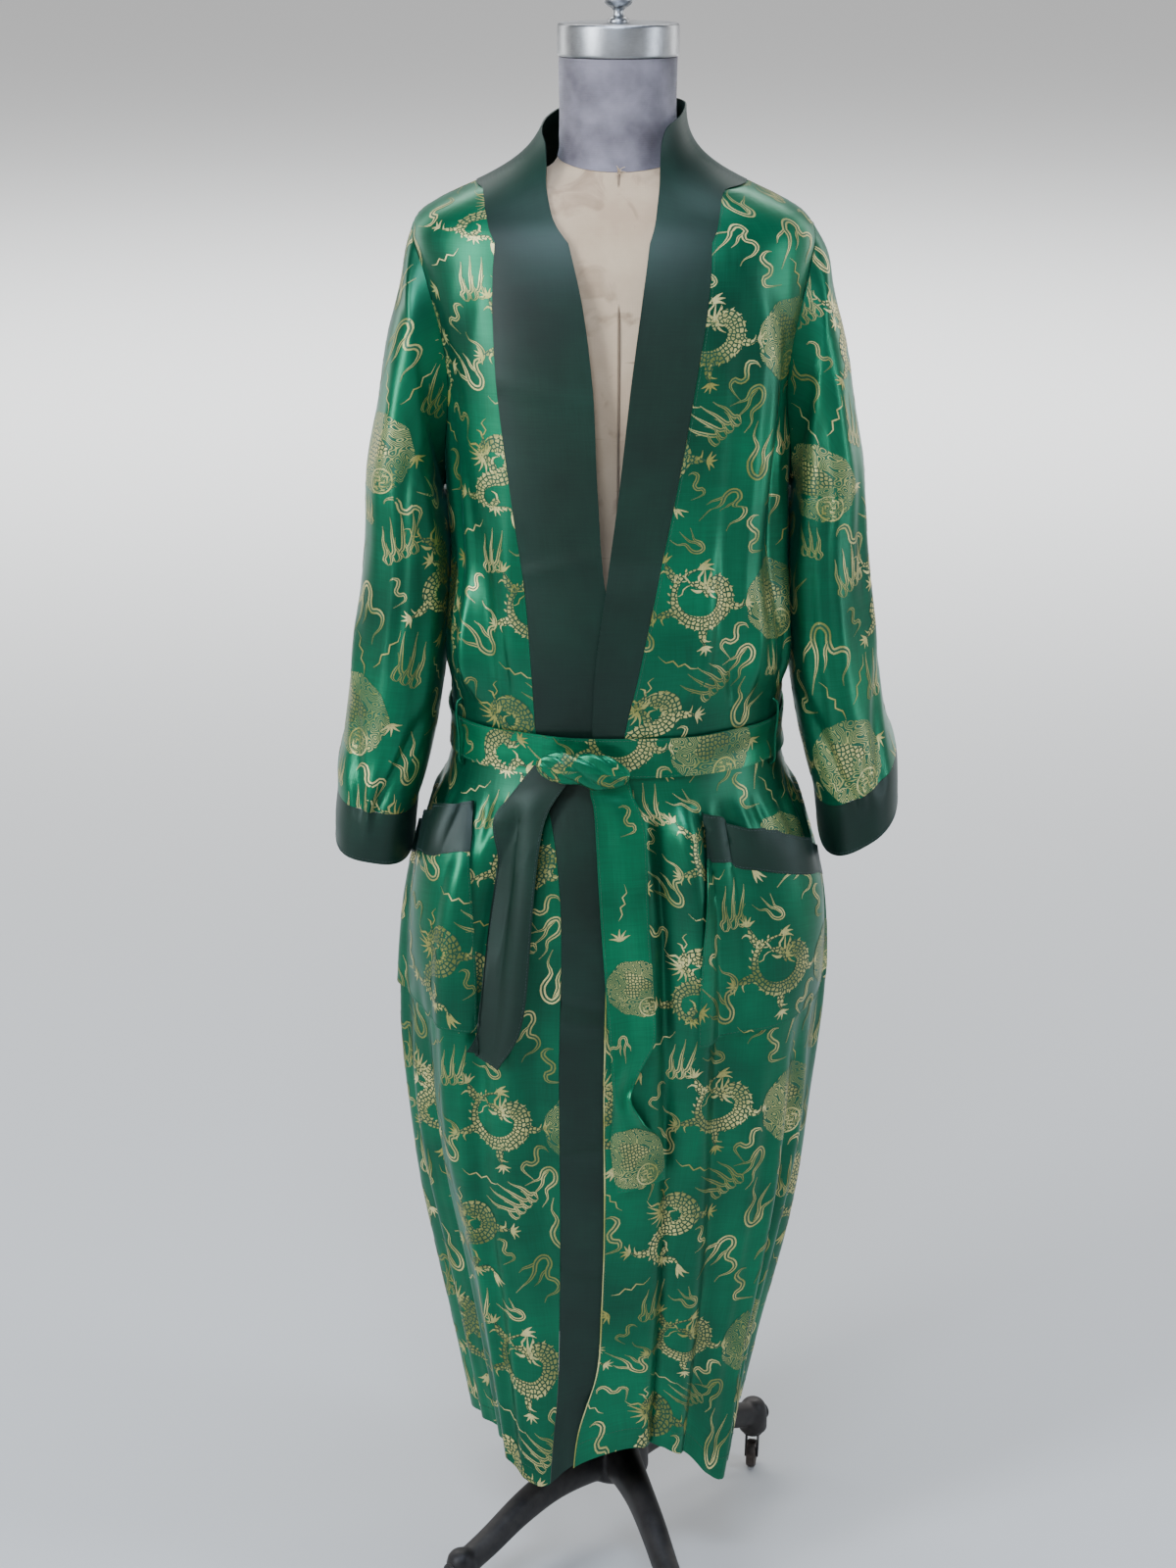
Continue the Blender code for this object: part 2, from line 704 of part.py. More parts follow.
def cloth_wall(name, outer, inner, collection, look, closed=False):
    """Loft a closed wall between two equal grids; rows go up and columns to the left arm."""
    rows, columns = outer.shape[:2]
    points = np.concatenate([outer.reshape(-1, 3), inner.reshape(-1, 3)])
    count = rows * columns
    last = columns if closed else columns - 1
    faces = []
    for row in range(rows - 1):
        for column in range(last):
            beside = (column + 1) % columns
            corner = row * columns + column
            right = row * columns + beside
            far = (row + 1) * columns + beside
            above = (row + 1) * columns + column
            faces += [(corner, right, far), (corner, far, above)]
            faces += [(corner + count, far + count, right + count)]
            faces += [(corner + count, above + count, far + count)]
    for column in range(last):
        beside = (column + 1) % columns
        top = (rows - 1) * columns
        faces.append((column, column + count, beside + count, beside))
        faces.append((top + column, top + beside, top + beside + count, top + column + count))
    if not closed:
        for row in range(rows - 1):
            low = row * columns
            high = low + columns
            end = columns - 1
            faces.append((low, high, high + count, low + count))
            faces.append((low + end, low + end + count, high + end + count, high + end))
    return add_mesh(name, points, faces, collection, look)


def stacked_body(name, rings, collection, look):
    """Loft a closed body through level rings and cap both ends."""
    columns = len(rings[0])
    points = [point for ring in rings for point in ring]
    faces = [tuple(reversed(range(columns)))]
    for row in range(len(rings) - 1):
        for column in range(columns):
            beside = (column + 1) % columns
            low = row * columns
            faces.append((low + column, low + beside, low + columns + beside, low + columns + column))
    faces.append(tuple(range((len(rings) - 1) * columns, len(rings) * columns)))
    return add_mesh(name, points, faces, collection, look)


def body_wall(name, angle, height, lift, thickness, collection, look):
    """Make a wall on the body's surface, its outer face a given lift out."""
    outer = drop_hem(body_surface(angle, height, lift))
    inner = drop_hem(body_surface(angle, height, lift - thickness))
    return cloth_wall(name, outer, inner, collection, look)


def split_panel(name, angle, level, lift, collection):
    """Make a panel as two walls, its bodice and its skirt, which meet under the belt."""
    row = int(np.argmin(np.abs(level[:, 0] - WAIST_MIDDLE)))
    upper = level[row:].copy()
    upper[0] = upper[0] + SEAM
    body_wall(name, angle[row:], upper, lift[row:], CLOTH, collection, SATIN)
    body_wall(name + "_skirt", angle[: row + 1], level[: row + 1], lift[: row + 1], CLOTH, collection, SATIN)


def edge_at(column, height):
    """Return the front angle of one edge of the bands at each height."""
    return front_angle(along_table(EDGE_ROWS, column, height), height)


def seam_angle(height):
    """Return the angle that a seam's gap takes up at each height."""
    return SEAM / along_table(BODY_RINGS, "half_width", height)


def side_angle(height):
    """Return the front panels' side edge: the side seam, the armhole or the shoulder seam."""
    inside = (height > UNDERARM) & (height < SHOULDER_TIP)
    armhole = depth_angle(-armhole_depth(height), height)
    return np.where(inside, armhole, 0.5 * math.pi - seam_angle(height))


def back_side_angle(height):
    """Return the back panel's side edge at each height."""
    inside = (height > UNDERARM) & (height < SHOULDER_TIP)
    armhole = back_depth_angle(armhole_depth(height), height)
    return np.where(inside, armhole, 0.5 * math.pi + seam_angle(height))


def spread(low, high, columns):
    """Return a grid whose rows go evenly from low to high."""
    share = np.linspace(0.0, 1.0, columns)[None, :]
    return low[:, None] * (1.0 - share) + high[:, None] * share


def neck_seam(rows, sign):
    """Return a function that gives the band seam's angle between the front and shoulder."""
    heights = [row.seam_height for row in rows[:4]]
    angles = [math.radians(abs(row.seam_angle)) for row in rows[:4]]
    column = "left_seam" if sign > 0 else "right_seam"
    start_height = EDGE_ROWS[-1].height
    start_angle = abs(float(edge_at(column, np.array([start_height]))[0]))
    return lambda height: sign * np.interp(height, [start_height] + heights, [start_angle] + angles)


def make_fronts(collection):
    """Make the two front panels, each in two lengths."""
    height = panel_heights()
    start = EDGE_ROWS[-1].height
    right_neck = neck_seam(NECK_ROWS_RIGHT, -1)(height)
    right_edge = np.where(height > start, right_neck, edge_at("right_seam", height)) - seam_angle(height)
    right_edge = np.maximum(right_edge, -side_angle(height) + MIN_PANEL_ANGLE)
    angle = spread(-side_angle(height), right_edge, RIGHT_COLUMNS)
    level = np.broadcast_to(height[:, None], angle.shape)
    split_panel("front_right", angle, level, np.zeros(angle.shape), collection)
    left_neck = neck_seam(NECK_ROWS_LEFT, 1)(height)
    upper_edge = np.where(height > start, left_neck, edge_at("left_seam", height))
    below = soft_step((WAIST_MIDDLE - height) / EDGE_TURN)
    x = along_table(EDGE_ROWS, "left_seam", height) * (1.0 - below)
    x = x + along_table(EDGE_ROWS, "left_free", height) * below
    left_edge = np.where(height > WAIST_MIDDLE, upper_edge, front_angle(x, height)) + seam_angle(height)
    left_edge = np.minimum(left_edge, side_angle(height) - MIN_PANEL_ANGLE)
    angle = spread(left_edge, side_angle(height), LEFT_COLUMNS)
    level = np.broadcast_to(height[:, None], angle.shape)
    split_panel("front_left", angle, level, lap_lift(angle, level), collection)


def make_back(collection):
    """Make the back panel in two lengths, cut away under the neck band."""
    height = panel_heights()
    side = back_side_angle(height)
    angle = spread(side, 2.0 * math.pi - side, BACK_COLUMNS)
    level = np.broadcast_to(height[:, None], angle.shape).copy()
    seam_angles = np.radians([90, 122, 152, 180])
    seam_heights = [row.seam_height for row in NECK_ROWS_LEFT[3:]]
    away = np.abs(angle - math.pi)
    limit = np.interp(math.pi - away, seam_angles, seam_heights) - SEAM
    top = level[-1:, :]
    base = SHOULDER_TIP
    squeeze = (limit - base) / (top - base)
    above = level > base
    level = np.where(above, base + (level - base) * squeeze, level)
    split_panel("back", angle, level, np.zeros(angle.shape), collection)


def nape_rows(neck_rows):
    """Return the rows round the neck, with the rear ones in steps that the back shares."""
    rear = neck_rows[3:]
    turns = np.array([abs(row.seam_angle) for row in rear])
    steps = np.linspace(turns[0], turns[-1], NAPE_STEPS + 1)
    sign = math.copysign(1.0, rear[0].seam_angle)
    levels = [
        NeckRow(
            sign * turn,
            float(np.interp(turn, turns, [row.seam_height for row in rear])),
            sign * turn,
            float(np.interp(turn, turns, [row.free_height for row in rear])),
        )
        for turn in steps
    ]
    return list(neck_rows[:3]) + levels


def band_grid(heights, sign, neck_rows):
    """Return angle and height grids of a band: up the front, then round the neck."""
    neck_rows = nape_rows(neck_rows)
    seam = edge_at("left_seam" if sign > 0 else "right_seam", heights)
    free = edge_at("left_free" if sign > 0 else "right_free", heights)
    seam_levels = list(heights) + [row.seam_height for row in neck_rows]
    free_levels = list(heights) + [row.free_height for row in neck_rows]
    seam_all = list(seam) + [math.radians(row.seam_angle) for row in neck_rows]
    free_all = list(free) + [math.radians(row.free_angle) for row in neck_rows]
    seam_all = np.array(seam_all)
    free_all = np.array(free_all)
    if sign > 0:
        angle = spread(free_all, seam_all, BAND_COLUMNS)
        level = spread(np.array(free_levels), np.array(seam_levels), BAND_COLUMNS)
    else:
        angle = spread(seam_all, free_all, BAND_COLUMNS)
        level = spread(np.array(seam_levels), np.array(free_levels), BAND_COLUMNS)
    return angle, level


def make_bands(collection):
    """Make the plain bands: right, left down to the belt, and the left one turned under."""
    height = panel_heights()
    front = height[height <= EDGE_ROWS[-1].height]
    angle, level = band_grid(front, -1, NECK_ROWS_RIGHT)
    lift = BAND_RISE * soft_step((level - V_BOTTOM - 0.02) / BAND_RISE_FADE)
    body_wall("collar_right", angle, level, lift, BAND, collection, DARK_SATIN)
    upper = front[front >= WAIST_MIDDLE]
    angle, level = band_grid(upper, 1, NECK_ROWS_LEFT)
    lift = np.maximum(lap_lift(angle, level), BAND_RISE * soft_step((level - V_BOTTOM) / BAND_RISE_FADE))
    body_wall("collar_left", angle, level, lift, BAND, collection, DARK_SATIN)
    lower = height[height < BELT_BOTTOM - 0.01]
    free = along_table(EDGE_ROWS, "left_free", lower)
    edge, inner = [front_angle(free + inset, lower) for inset in TURNED_BAND]
    angle = spread(edge, inner, BAND_COLUMNS)
    level = np.broadcast_to(lower[:, None], angle.shape)
    lift = np.full(angle.shape, LAYER + CLOTH)
    body_wall("collar_left_lower", angle, level, lift, CLOTH, collection, DARK_SATIN)


def armhole_ring(side):
    """Return the sleeve's root ring on the body's armhole, from the top, front first."""
    heights = armhole_heights()
    down = heights[::-1]
    front = depth_angle(-armhole_depth(down), down)
    back = back_depth_angle(armhole_depth(heights[1:-1]), heights[1:-1])
    levels = np.concatenate([down, heights[1:-1]])
    angles = np.concatenate([front, back]) * side
    ring = body_middle(angles, levels)
    ring[:, 0] += side * ARMHOLE_GAP
    return ring


def sleeve_ring(section, shape, columns, number):
    """Return one hanging section, from its outer edge, front first."""
    turn = np.linspace(0.0, 2.0 * math.pi, columns, endpoint=False)
    out = np.cos(turn)
    fore = np.sin(turn)
    reach = (np.abs(out) ** shape.flatten + np.abs(fore) ** shape.flatten) ** (-1.0 / shape.flatten)
    round_share = min(number / ROUND_SECTIONS, 1.0)
    reach = 1.0 + (reach - 1.0) * round_share
    hanging = section.tilt < CAP_TILT and number < len(SLEEVE_SECTIONS)
    widen = shape.widen if hanging else 0.0
    half = 0.5 * (section.length + widen)
    for first, final, middle, half_angle, depth in SLEEVE_CREASES:
        if first <= number <= final:
            away = np.abs((np.degrees(turn) - middle + 180.0) % 360.0 - 180.0) / half_angle
            swell = np.where(away < 1.0, 0.5 + 0.5 * np.cos(math.pi * np.minimum(away, 1.0)), 0.0)
            share = math.sin(math.pi * (number - first + 0.5) / (final - first + 1.0))
            reach = reach + depth * swell * share / half * np.abs(out)
    lean = math.radians(section.tilt)
    if section.tilt > CAP_TILT:
        half = half * shape.cap_share
    along = half * (1.0 + out * reach)
    y = -section.half_depth * shape.depth_share * fore * reach
    rise = shape.pitch_share * section.pitch * y
    lift = (shape.end_lift + shape.outer_lift * along / section.length) * section.pitch / END_PITCH
    x = section.inner_x - WIDEN_INWARD * widen + along * math.cos(lean)
    z = section.inner_z + along * math.sin(lean) + rise + lift
    return np.stack([shape.side * x, y, z], axis=-1)


def ring_normals(rings):
    """Return outward normals of a tube given by rings, columns closed."""
    across = np.roll(rings, -1, axis=1) - np.roll(rings, 1, axis=1)
    along = np.gradient(rings, axis=0)
    normal = np.cross(across, along)
    normal /= np.linalg.norm(normal, axis=-1, keepdims=True)
    centre = rings.mean(axis=1, keepdims=True)
    outward = np.sign(np.sum(normal * (rings - centre), axis=-1).mean())
    return normal * outward


def tube_wall(name, outer, normals, thickness, collection, look, flip):
    """Make an open tube's wall from its outer rings and their normals."""
    inner = outer - normals * thickness
    if flip:
        outer = outer[:, ::-1]
        inner = inner[:, ::-1]
    return cloth_wall(name, outer, inner, collection, look, closed=True)


def make_sleeves(collection):
    """Make both sleeves from the armholes down, and their cuffs."""
    for shape in SLEEVE_SIDES:
        root = armhole_ring(shape.side)
        sections = SLEEVE_SECTIONS + CUFF_SECTIONS
        hanging = [
            sleeve_ring(section, shape, len(root), number + 1) for number, section in enumerate(sections)
        ]
        rings = np.stack([root] + hanging)
        normals = ring_normals(rings)
        last = len(SLEEVE_SECTIONS)
        flip = shape.side < 0
        tube_wall(
            "sleeve_" + shape.name, rings[:last + 1], normals[:last + 1], CLOTH, collection, SATIN, flip
        )
        cuff = rings[last:].copy()
        down = cuff[1] - cuff[0]
        cuff[0] += down / np.linalg.norm(down, axis=-1, keepdims=True) * SEAM
        tube_wall("cuff_" + shape.name, cuff, normals[last:], BAND, collection, DARK_SATIN, flip)


def pocket_grid(pocket, low_share, high_share, rows):
    """Return a pocket's angle, height and bulge grids between two shares of its height."""
    across = np.linspace(0.0, 1.0, POCKET_COLUMNS)[None, :]
    up = np.linspace(low_share, high_share, rows)[:, None]
    top = pocket.inner_top + (pocket.outer_top - pocket.inner_top) * across
    bottom = pocket.inner_bottom + (pocket.outer_bottom - pocket.inner_bottom) * across
    level = bottom + (top - bottom) * up
    inner = front_angle(pocket.inner_x + 0.0 * level, level)
    angle = inner + (math.radians(pocket.outer_angle) - inner) * across
    swell = np.sin(math.pi * across) ** 0.8 * np.clip(up, 0.0, 1.0) ** 1.3 * pocket.bulge
    return angle, level, swell


def make_pockets(collection):
    """Make the pocket bags and the plain bands at their mouths."""
    for pocket in POCKETS:
        tall = pocket.inner_top - pocket.inner_bottom
        split = 1.0 - POCKET_BAND / tall
        gap = SEAM / tall
        flip = pocket.inner_x < 0.0
        for name, low, high, rows, thickness, look in (
            ("pocket_", 0.0, split, POCKET_ROWS, CLOTH, SATIN),
            ("pocket_band_", split + gap, 1.0, 3, BAND, DARK_SATIN),
        ):
            angle, level, swell = pocket_grid(pocket, low, high, rows)
            if flip:
                angle = angle[:, ::-1]
                level = level[:, ::-1]
                swell = swell[:, ::-1]
            under = lap_lift(angle, level) if not flip else 0.0
            lift = under + POCKET_SEAT + thickness + swell
            body_wall(name + pocket.name, angle, level, lift, thickness, collection, look)


def belt_lift(x):
    """Return the belt's inner stand-off, higher over the lapped fronts."""
    away = np.abs(x - BELT_LAP_MIDDLE) - BELT_LAP_HALF
    return BELT_SEAT + BELT_LAP_RISE * (1.0 - soft_step(away / BELT_LAP_FADE))


def make_belt(collection):
    """Make the belt's ring, its knot and its two hanging ends."""
    turn = np.linspace(-math.pi, math.pi, BELT_COLUMNS, endpoint=False)
    rise = BELT_SIDE_RISE * (1.0 - np.cos(turn)) * 0.5
    level = np.stack([BELT_BOTTOM + rise, 0.5 * (BELT_BOTTOM + BELT_TOP) + rise, BELT_TOP + rise])
    angle = np.broadcast_to(turn, level.shape)
    x = body_middle(angle, level)[..., 0]
    front = np.cos(angle) > 0.0
    stand = np.where(front, belt_lift(x), BELT_SEAT)
    outer = body_surface(angle, level, stand + BELT_WALL)
    inner = body_surface(angle, level, stand)
    cloth_wall("belt_waist", outer, inner, collection, SATIN, closed=True)
    make_knot(collection)
    for name, rows, look in (
        ("belt_tail_right", TAIL_RIGHT, DARK_SATIN),
        ("belt_tail_left", TAIL_LEFT, SATIN),
    ):
        make_tail(name, rows, collection, look)


def make_knot(collection):
    """Make the tie as one soft cushion of cloth with a waist where the belt crosses."""
    x_middle, z_middle = KNOT_CENTRE
    half_x, half_y, half_z = KNOT_HALF
    angle = front_angle(np.array([x_middle]), np.array([z_middle]))
    seat = body_surface(angle, np.array([z_middle]), KNOT_STAND_OFF)[0]
    mesh = bpy.data.meshes.new("belt_knot")
    shape = bmesh.new()
    bmesh.ops.create_uvsphere(shape, u_segments=16, v_segments=10, radius=1.0)
    for vertex in shape.verts:
        x, y, z = vertex.co
        away = (x - KNOT_PINCH_PLACE) / KNOT_PINCH_SPREAD
        pinch = 1.0 - KNOT_PINCH * math.exp(-away ** 2)
        ripple = 1.0 - KNOT_RIPPLE * math.cos(KNOT_RIPPLES * x)
        vertex.co = Vector((
            seat[0] + half_x * x,
            seat[1] + half_y * y * ripple - KNOT_SKEW * x * half_x,
            z_middle + half_z * z * pinch - KNOT_SLANT * x,
        ))
    shape.to_mesh(mesh)
    shape.free()
    mesh.shade_smooth()
    knot = bpy.data.objects.new("belt_knot", mesh)
    collection.objects.link(knot)
    finish(knot, SATIN)


def make_tail(name, rows, collection, look):
    """Make one hanging end of the belt in front of the skirt."""
    across = np.linspace(0.0, 1.0, TAIL_COLUMNS)[None, :]
    column = {key: np.array([getattr(row, key) for row in rows])[::-1, None] for key in TailRow._fields}
    x = column["left_x"] + (column["right_x"] - column["left_x"]) * across
    z = column["left_z"] + (column["right_z"] - column["left_z"]) * across
    stand = column["stand_off"] + column["twist"] * (2.0 * across - 1.0)
    angle = front_angle(x, z)
    outer = body_surface(angle, z, stand)
    inner = body_surface(angle, z, stand - BELT_WALL)
    cloth_wall(name, outer, inner, collection, look)


def make_belt_loops(collection):
    """Make the thread loops that carry the belt at the sides."""
    for name, side in (("belt_loop_right", -1), ("belt_loop_left", 1)):
        low = BELT_BOTTOM - LOOP_BELOW
        high = BELT_TOP + LOOP_ABOVE
        middle = 0.5 * (low + high)
        levels = np.linspace(low, high, LOOP_POINTS)
        angle = np.full(levels.shape, side * math.radians(LOOP_ANGLE))
        bow = np.sqrt(np.clip(1.0 - ((levels - middle) / (0.5 * (high - low))) ** 2, 0.0, 1.0))
        stand = LOOP_RADIUS + SEAM + LOOP_REACH * bow ** LOOP_SQUARENESS
        points = body_surface(angle, levels, stand)
        curve = bpy.data.curves.new(name, "CURVE")
        curve.dimensions = "3D"
        curve.bevel_depth = LOOP_RADIUS
        curve.bevel_resolution = 2
        curve.use_fill_caps = True
        spline = curve.splines.new("POLY")
        spline.points.add(len(points) - 1)
        for knot, place in zip(spline.points, points):
            knot.co = (float(place[0]), float(place[1]), float(place[2]), 1.0)
        loop = bpy.data.objects.new(name, curve)
        collection.objects.link(loop)
        finish(loop, SATIN)


def level_ring(half_width, front, back, height, columns, power=2.0):
    """Return one level ring, starting at the front and turning to the left arm."""
    turn = np.linspace(0.0, 2.0 * math.pi, columns, endpoint=False)
    across = np.sin(turn)
    ahead = np.cos(turn)
    reach = (np.abs(across) ** power + np.abs(ahead) ** power) ** (-1.0 / power)
    depth = np.where(ahead > 0.0, front, back)
    return [
        (half_width * s * r, -d * c * r, height)
        for s, c, r, d in zip(across, ahead, reach, depth)
    ]


def make_form(collection):
    """Make the limbless torso, the covered neck, the steel cap and the finial."""
    rings = [
        level_ring(row.half_width, row.front, row.back, row.height, FORM_COLUMNS, 2.3)
        for row in FORM_RINGS
    ]
    turn = np.linspace(0.0, 2.0 * math.pi, FORM_COLUMNS, endpoint=False)
    for height, gap in FORM_SHOULDERS:
        levels = np.full(turn.shape, height)
        ring = body_surface(turn, levels, np.full(turn.shape, -(CLOTH + gap)))
        rings.append([tuple(point) for point in ring])
    for half_width, front, back, height in FORM_TOP_RINGS:
        rings.append(level_ring(half_width, front, back, height, FORM_COLUMNS))
    stacked_body("form_torso", rings, collection, CANVAS)
    turned("form_neck", NECK_PROFILE, NECK_SIDES, collection, NECK_COVER)
    turned("neck_cap", CAP_PROFILE, NECK_SIDES, collection, STEEL)
    turned("finial", FINIAL_PROFILE, FINIAL_SIDES, collection, STEEL)


def turned(name, profile, sides, collection, look):
    """Turn a profile of (radius, height) pairs, top to bottom, about the Z axis."""
    points = [(radius, 0.0, height) for radius, height in profile]
    mesh = bpy.data.meshes.new(name)
    mesh.from_pydata(points, [(low, low + 1) for low in range(len(points) - 1)], [])
    thing = bpy.data.objects.new(name, mesh)
    collection.objects.link(thing)
    screw = thing.modifiers.new("turn", "SCREW")
    screw.axis = "Z"
    screw.steps = sides
    screw.render_steps = sides
    screw.use_merge_vertices = True
    screw.merge_threshold = 0.00001
    if look is not None:
        finish(thing, look)
    return thing


def union(base, extra):
    """Join another closed object to the base with a boolean that is applied at once."""
    modifier = base.modifiers.new("join", "BOOLEAN")
    modifier.operation = "UNION"
    modifier.solver = "EXACT"
    modifier.object = extra
    apply_modifiers(base)
    bpy.data.objects.remove(extra, do_unlink=True)


def apply_modifiers(thing):
    """Replace an object's mesh by its evaluated one."""
    graph = bpy.context.evaluated_depsgraph_get()
    mesh = bpy.data.meshes.new_from_object(thing.evaluated_get(graph))
    thing.modifiers.clear()
    thing.data = mesh


def cylinder(name, radius, length, sides, matrix, collection):
    """Make a capped cylinder about its own Z axis, placed by a matrix."""
    mesh = bpy.data.meshes.new(name)
    shape = bmesh.new()
    bmesh.ops.create_cone(
        shape, cap_ends=True, segments=sides, radius1=radius, radius2=radius, depth=length
    )
    bmesh.ops.transform(shape, matrix=matrix, verts=shape.verts)
    shape.to_mesh(mesh)
    shape.free()
    thing = bpy.data.objects.new(name, mesh)
    collection.objects.link(thing)
    return thing


def leg_body(angle, cutters):
    """Loft one cast leg from the hub out to its boss."""
    rings = []
    outward = np.array([math.cos(angle), math.sin(angle), 0.0])
    beside = np.array([-math.sin(angle), math.cos(angle), 0.0])
    up = np.array([0.0, 0.0, 1.0])
    turn = np.linspace(0.0, 2.0 * math.pi, LEG_SIDES, endpoint=False) + math.pi / LEG_SIDES
    for section in LEG_SECTIONS:
        middle = outward * section.run + up * section.height
        rings.append([
            middle + beside * section.half_wide * math.cos(a) + up * section.half_tall * math.sin(a)
            for a in turn
        ])
    return stacked_body("leg", rings, cutters, None)


def make_stand(collection, cutters):
    """Make the post and the cast base with its four legs."""
    turned("stand_post", POST_PROFILE, POST_SIDES, collection, IRON)
    base = turned("stand_base", HUB_PROFILE, POST_SIDES, collection, None)
    for degrees in LEG_ANGLES:
        angle = math.radians(degrees)
        union(base, leg_body(angle, cutters))
        place = Vector((LEG_REACH * math.cos(angle), LEG_REACH * math.sin(angle), 0.0))
        boss = turned("boss", BOSS_PROFILE, BOSS_SIDES, cutters, None)
        boss.location = place
        union(base, boss)
    base.data.shade_smooth()
    finish(base, IRON)


def make_casters(collection, cutters):
    """Make a small fork and wheel under each boss, trailing the same way round."""
    apothem = WHEEL_RADIUS * math.cos(math.pi / WHEEL_SIDES)
    cheek_middle = WHEEL_HALF + FORK_CLEARANCE + 0.5 * FORK_CHEEK
    plate_top = BOSS_BOTTOM - SEAM
    facet_down = Matrix.Rotation(math.pi / WHEEL_SIDES, 4, "Z")
    plate_place = Matrix.Translation((0.0, 0.0, plate_top - 0.5 * FORK_PLATE))
    upright = Matrix.Identity(4)
    for number, degrees in enumerate(LEG_ANGLES, start=1):
        angle = math.radians(degrees)
        heading = math.radians(degrees + CASTER_TURN)
        pivot = Vector((LEG_REACH * math.cos(angle), LEG_REACH * math.sin(angle), 0.0))
        axle = pivot + Matrix.Rotation(heading, 4, "Z") @ Vector((-CASTER_TRAIL, 0.0, apothem))
        swivel_turn = (0.0, 0.0, heading)
        axle_turn = (0.5 * math.pi, 0.0, heading)
        name = "caster_wheel_%d" % number
        wheel = cylinder(name, WHEEL_RADIUS, 2 * WHEEL_HALF, WHEEL_SIDES, facet_down, collection)
        stand_at(wheel, axle, axle_turn)
        bore = cylinder("bore", WHEEL_BORE, 4 * WHEEL_HALF, BORE_SIDES, upright, cutters)
        cut(wheel, stand_at(bore, axle, axle_turn))
        finish(wheel, WHEEL_IRON)
        name = "caster_fork_%d" % number
        fork = cylinder(name, FORK_PLATE_RADIUS, FORK_PLATE, BOSS_SIDES, plate_place, collection)
        stand_at(fork, pivot, swivel_turn)
        for side in (-1, 1):
            cheek = fork_cheek(side * cheek_middle, apothem, plate_top, cutters)
            union(fork, stand_at(cheek, pivot, swivel_turn))
        pin = cylinder("pin", AXLE_RADIUS, 2 * cheek_middle, BORE_SIDES, upright, cutters)
        union(fork, stand_at(pin, axle, axle_turn))
        finish(fork, IRON)


def stand_at(thing, location, rotation):
    """Place an object by its location and rotation and return it."""
    thing.location = location
    thing.rotation_euler = rotation
    return thing


def fork_cheek(middle, axle_height, plate_top, cutters):
    """Make one cheek of a fork: a slanted plate from the top plate to below the axle."""
    outline = (
        (-CASTER_TRAIL - FORK_HALF_WIDTH, axle_height - FORK_HALF_WIDTH),
        (-CASTER_TRAIL + FORK_HALF_WIDTH, axle_height - FORK_HALF_WIDTH),
        (FORK_NECK, plate_top - FORK_SINK),
        (-FORK_NECK, plate_top - FORK_SINK),
    )
    curve = bpy.data.curves.new("cheek", "CURVE")
    curve.dimensions = "2D"
    curve.fill_mode = "BOTH"
    curve.extrude = 0.5 * FORK_CHEEK
    spline = curve.splines.new("POLY")
    spline.points.add(len(outline) - 1)
    for corner, (x, y) in zip(spline.points, outline):
        corner.co = (x, y, 0.0, 1.0)
    spline.use_cyclic_u = True
    flat = bpy.data.objects.new("cheek", curve)
    cutters.objects.link(flat)
    graph = bpy.context.evaluated_depsgraph_get()
    mesh = bpy.data.meshes.new_from_object(flat.evaluated_get(graph))
    bpy.data.objects.remove(flat, do_unlink=True)
    mesh.transform(Matrix.Translation((0.0, middle, 0.0)) @ Matrix.Rotation(0.5 * math.pi, 4, "X"))
    shape = bmesh.new()
    shape.from_mesh(mesh)
    bmesh.ops.remove_doubles(shape, verts=shape.verts, dist=0.00001)
    bmesh.ops.recalc_face_normals(shape, faces=shape.faces)
    shape.to_mesh(mesh)
    shape.free()
    cheek = bpy.data.objects.new("cheek", mesh)
    cutters.objects.link(cheek)
    return cheek


def cut(base, cutter):
    """Cut another closed object out of the base."""
    modifier = base.modifiers.new("cut", "BOOLEAN")
    modifier.operation = "DIFFERENCE"
    modifier.solver = "EXACT"
    modifier.object = cutter
    apply_modifiers(base)
    bpy.data.objects.remove(cutter, do_unlink=True)


def main():
    """Build the robe, the form and the stand."""
    clear_scene()
    parts = make_collection("dragon_robe_on_form")
    cutters = make_collection("cutters")
    make_fronts(parts)
    make_back(parts)
    make_bands(parts)
    make_sleeves(parts)
    make_pockets(parts)
    make_belt(parts)
    make_belt_loops(parts)
    make_form(parts)
    make_stand(parts, cutters)
    make_casters(parts, cutters)


main()
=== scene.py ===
"""Looks of the silk dragon robe on its dress form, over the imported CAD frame."""
import logging
from dataclasses import dataclass, field
from enum import Enum
from functools import partial
from math import atan2, ceil, cos, pi, radians, sin
from typing import Callable, NamedTuple

import bmesh
import bpy
import numpy as np
from mathutils import Matrix, Vector


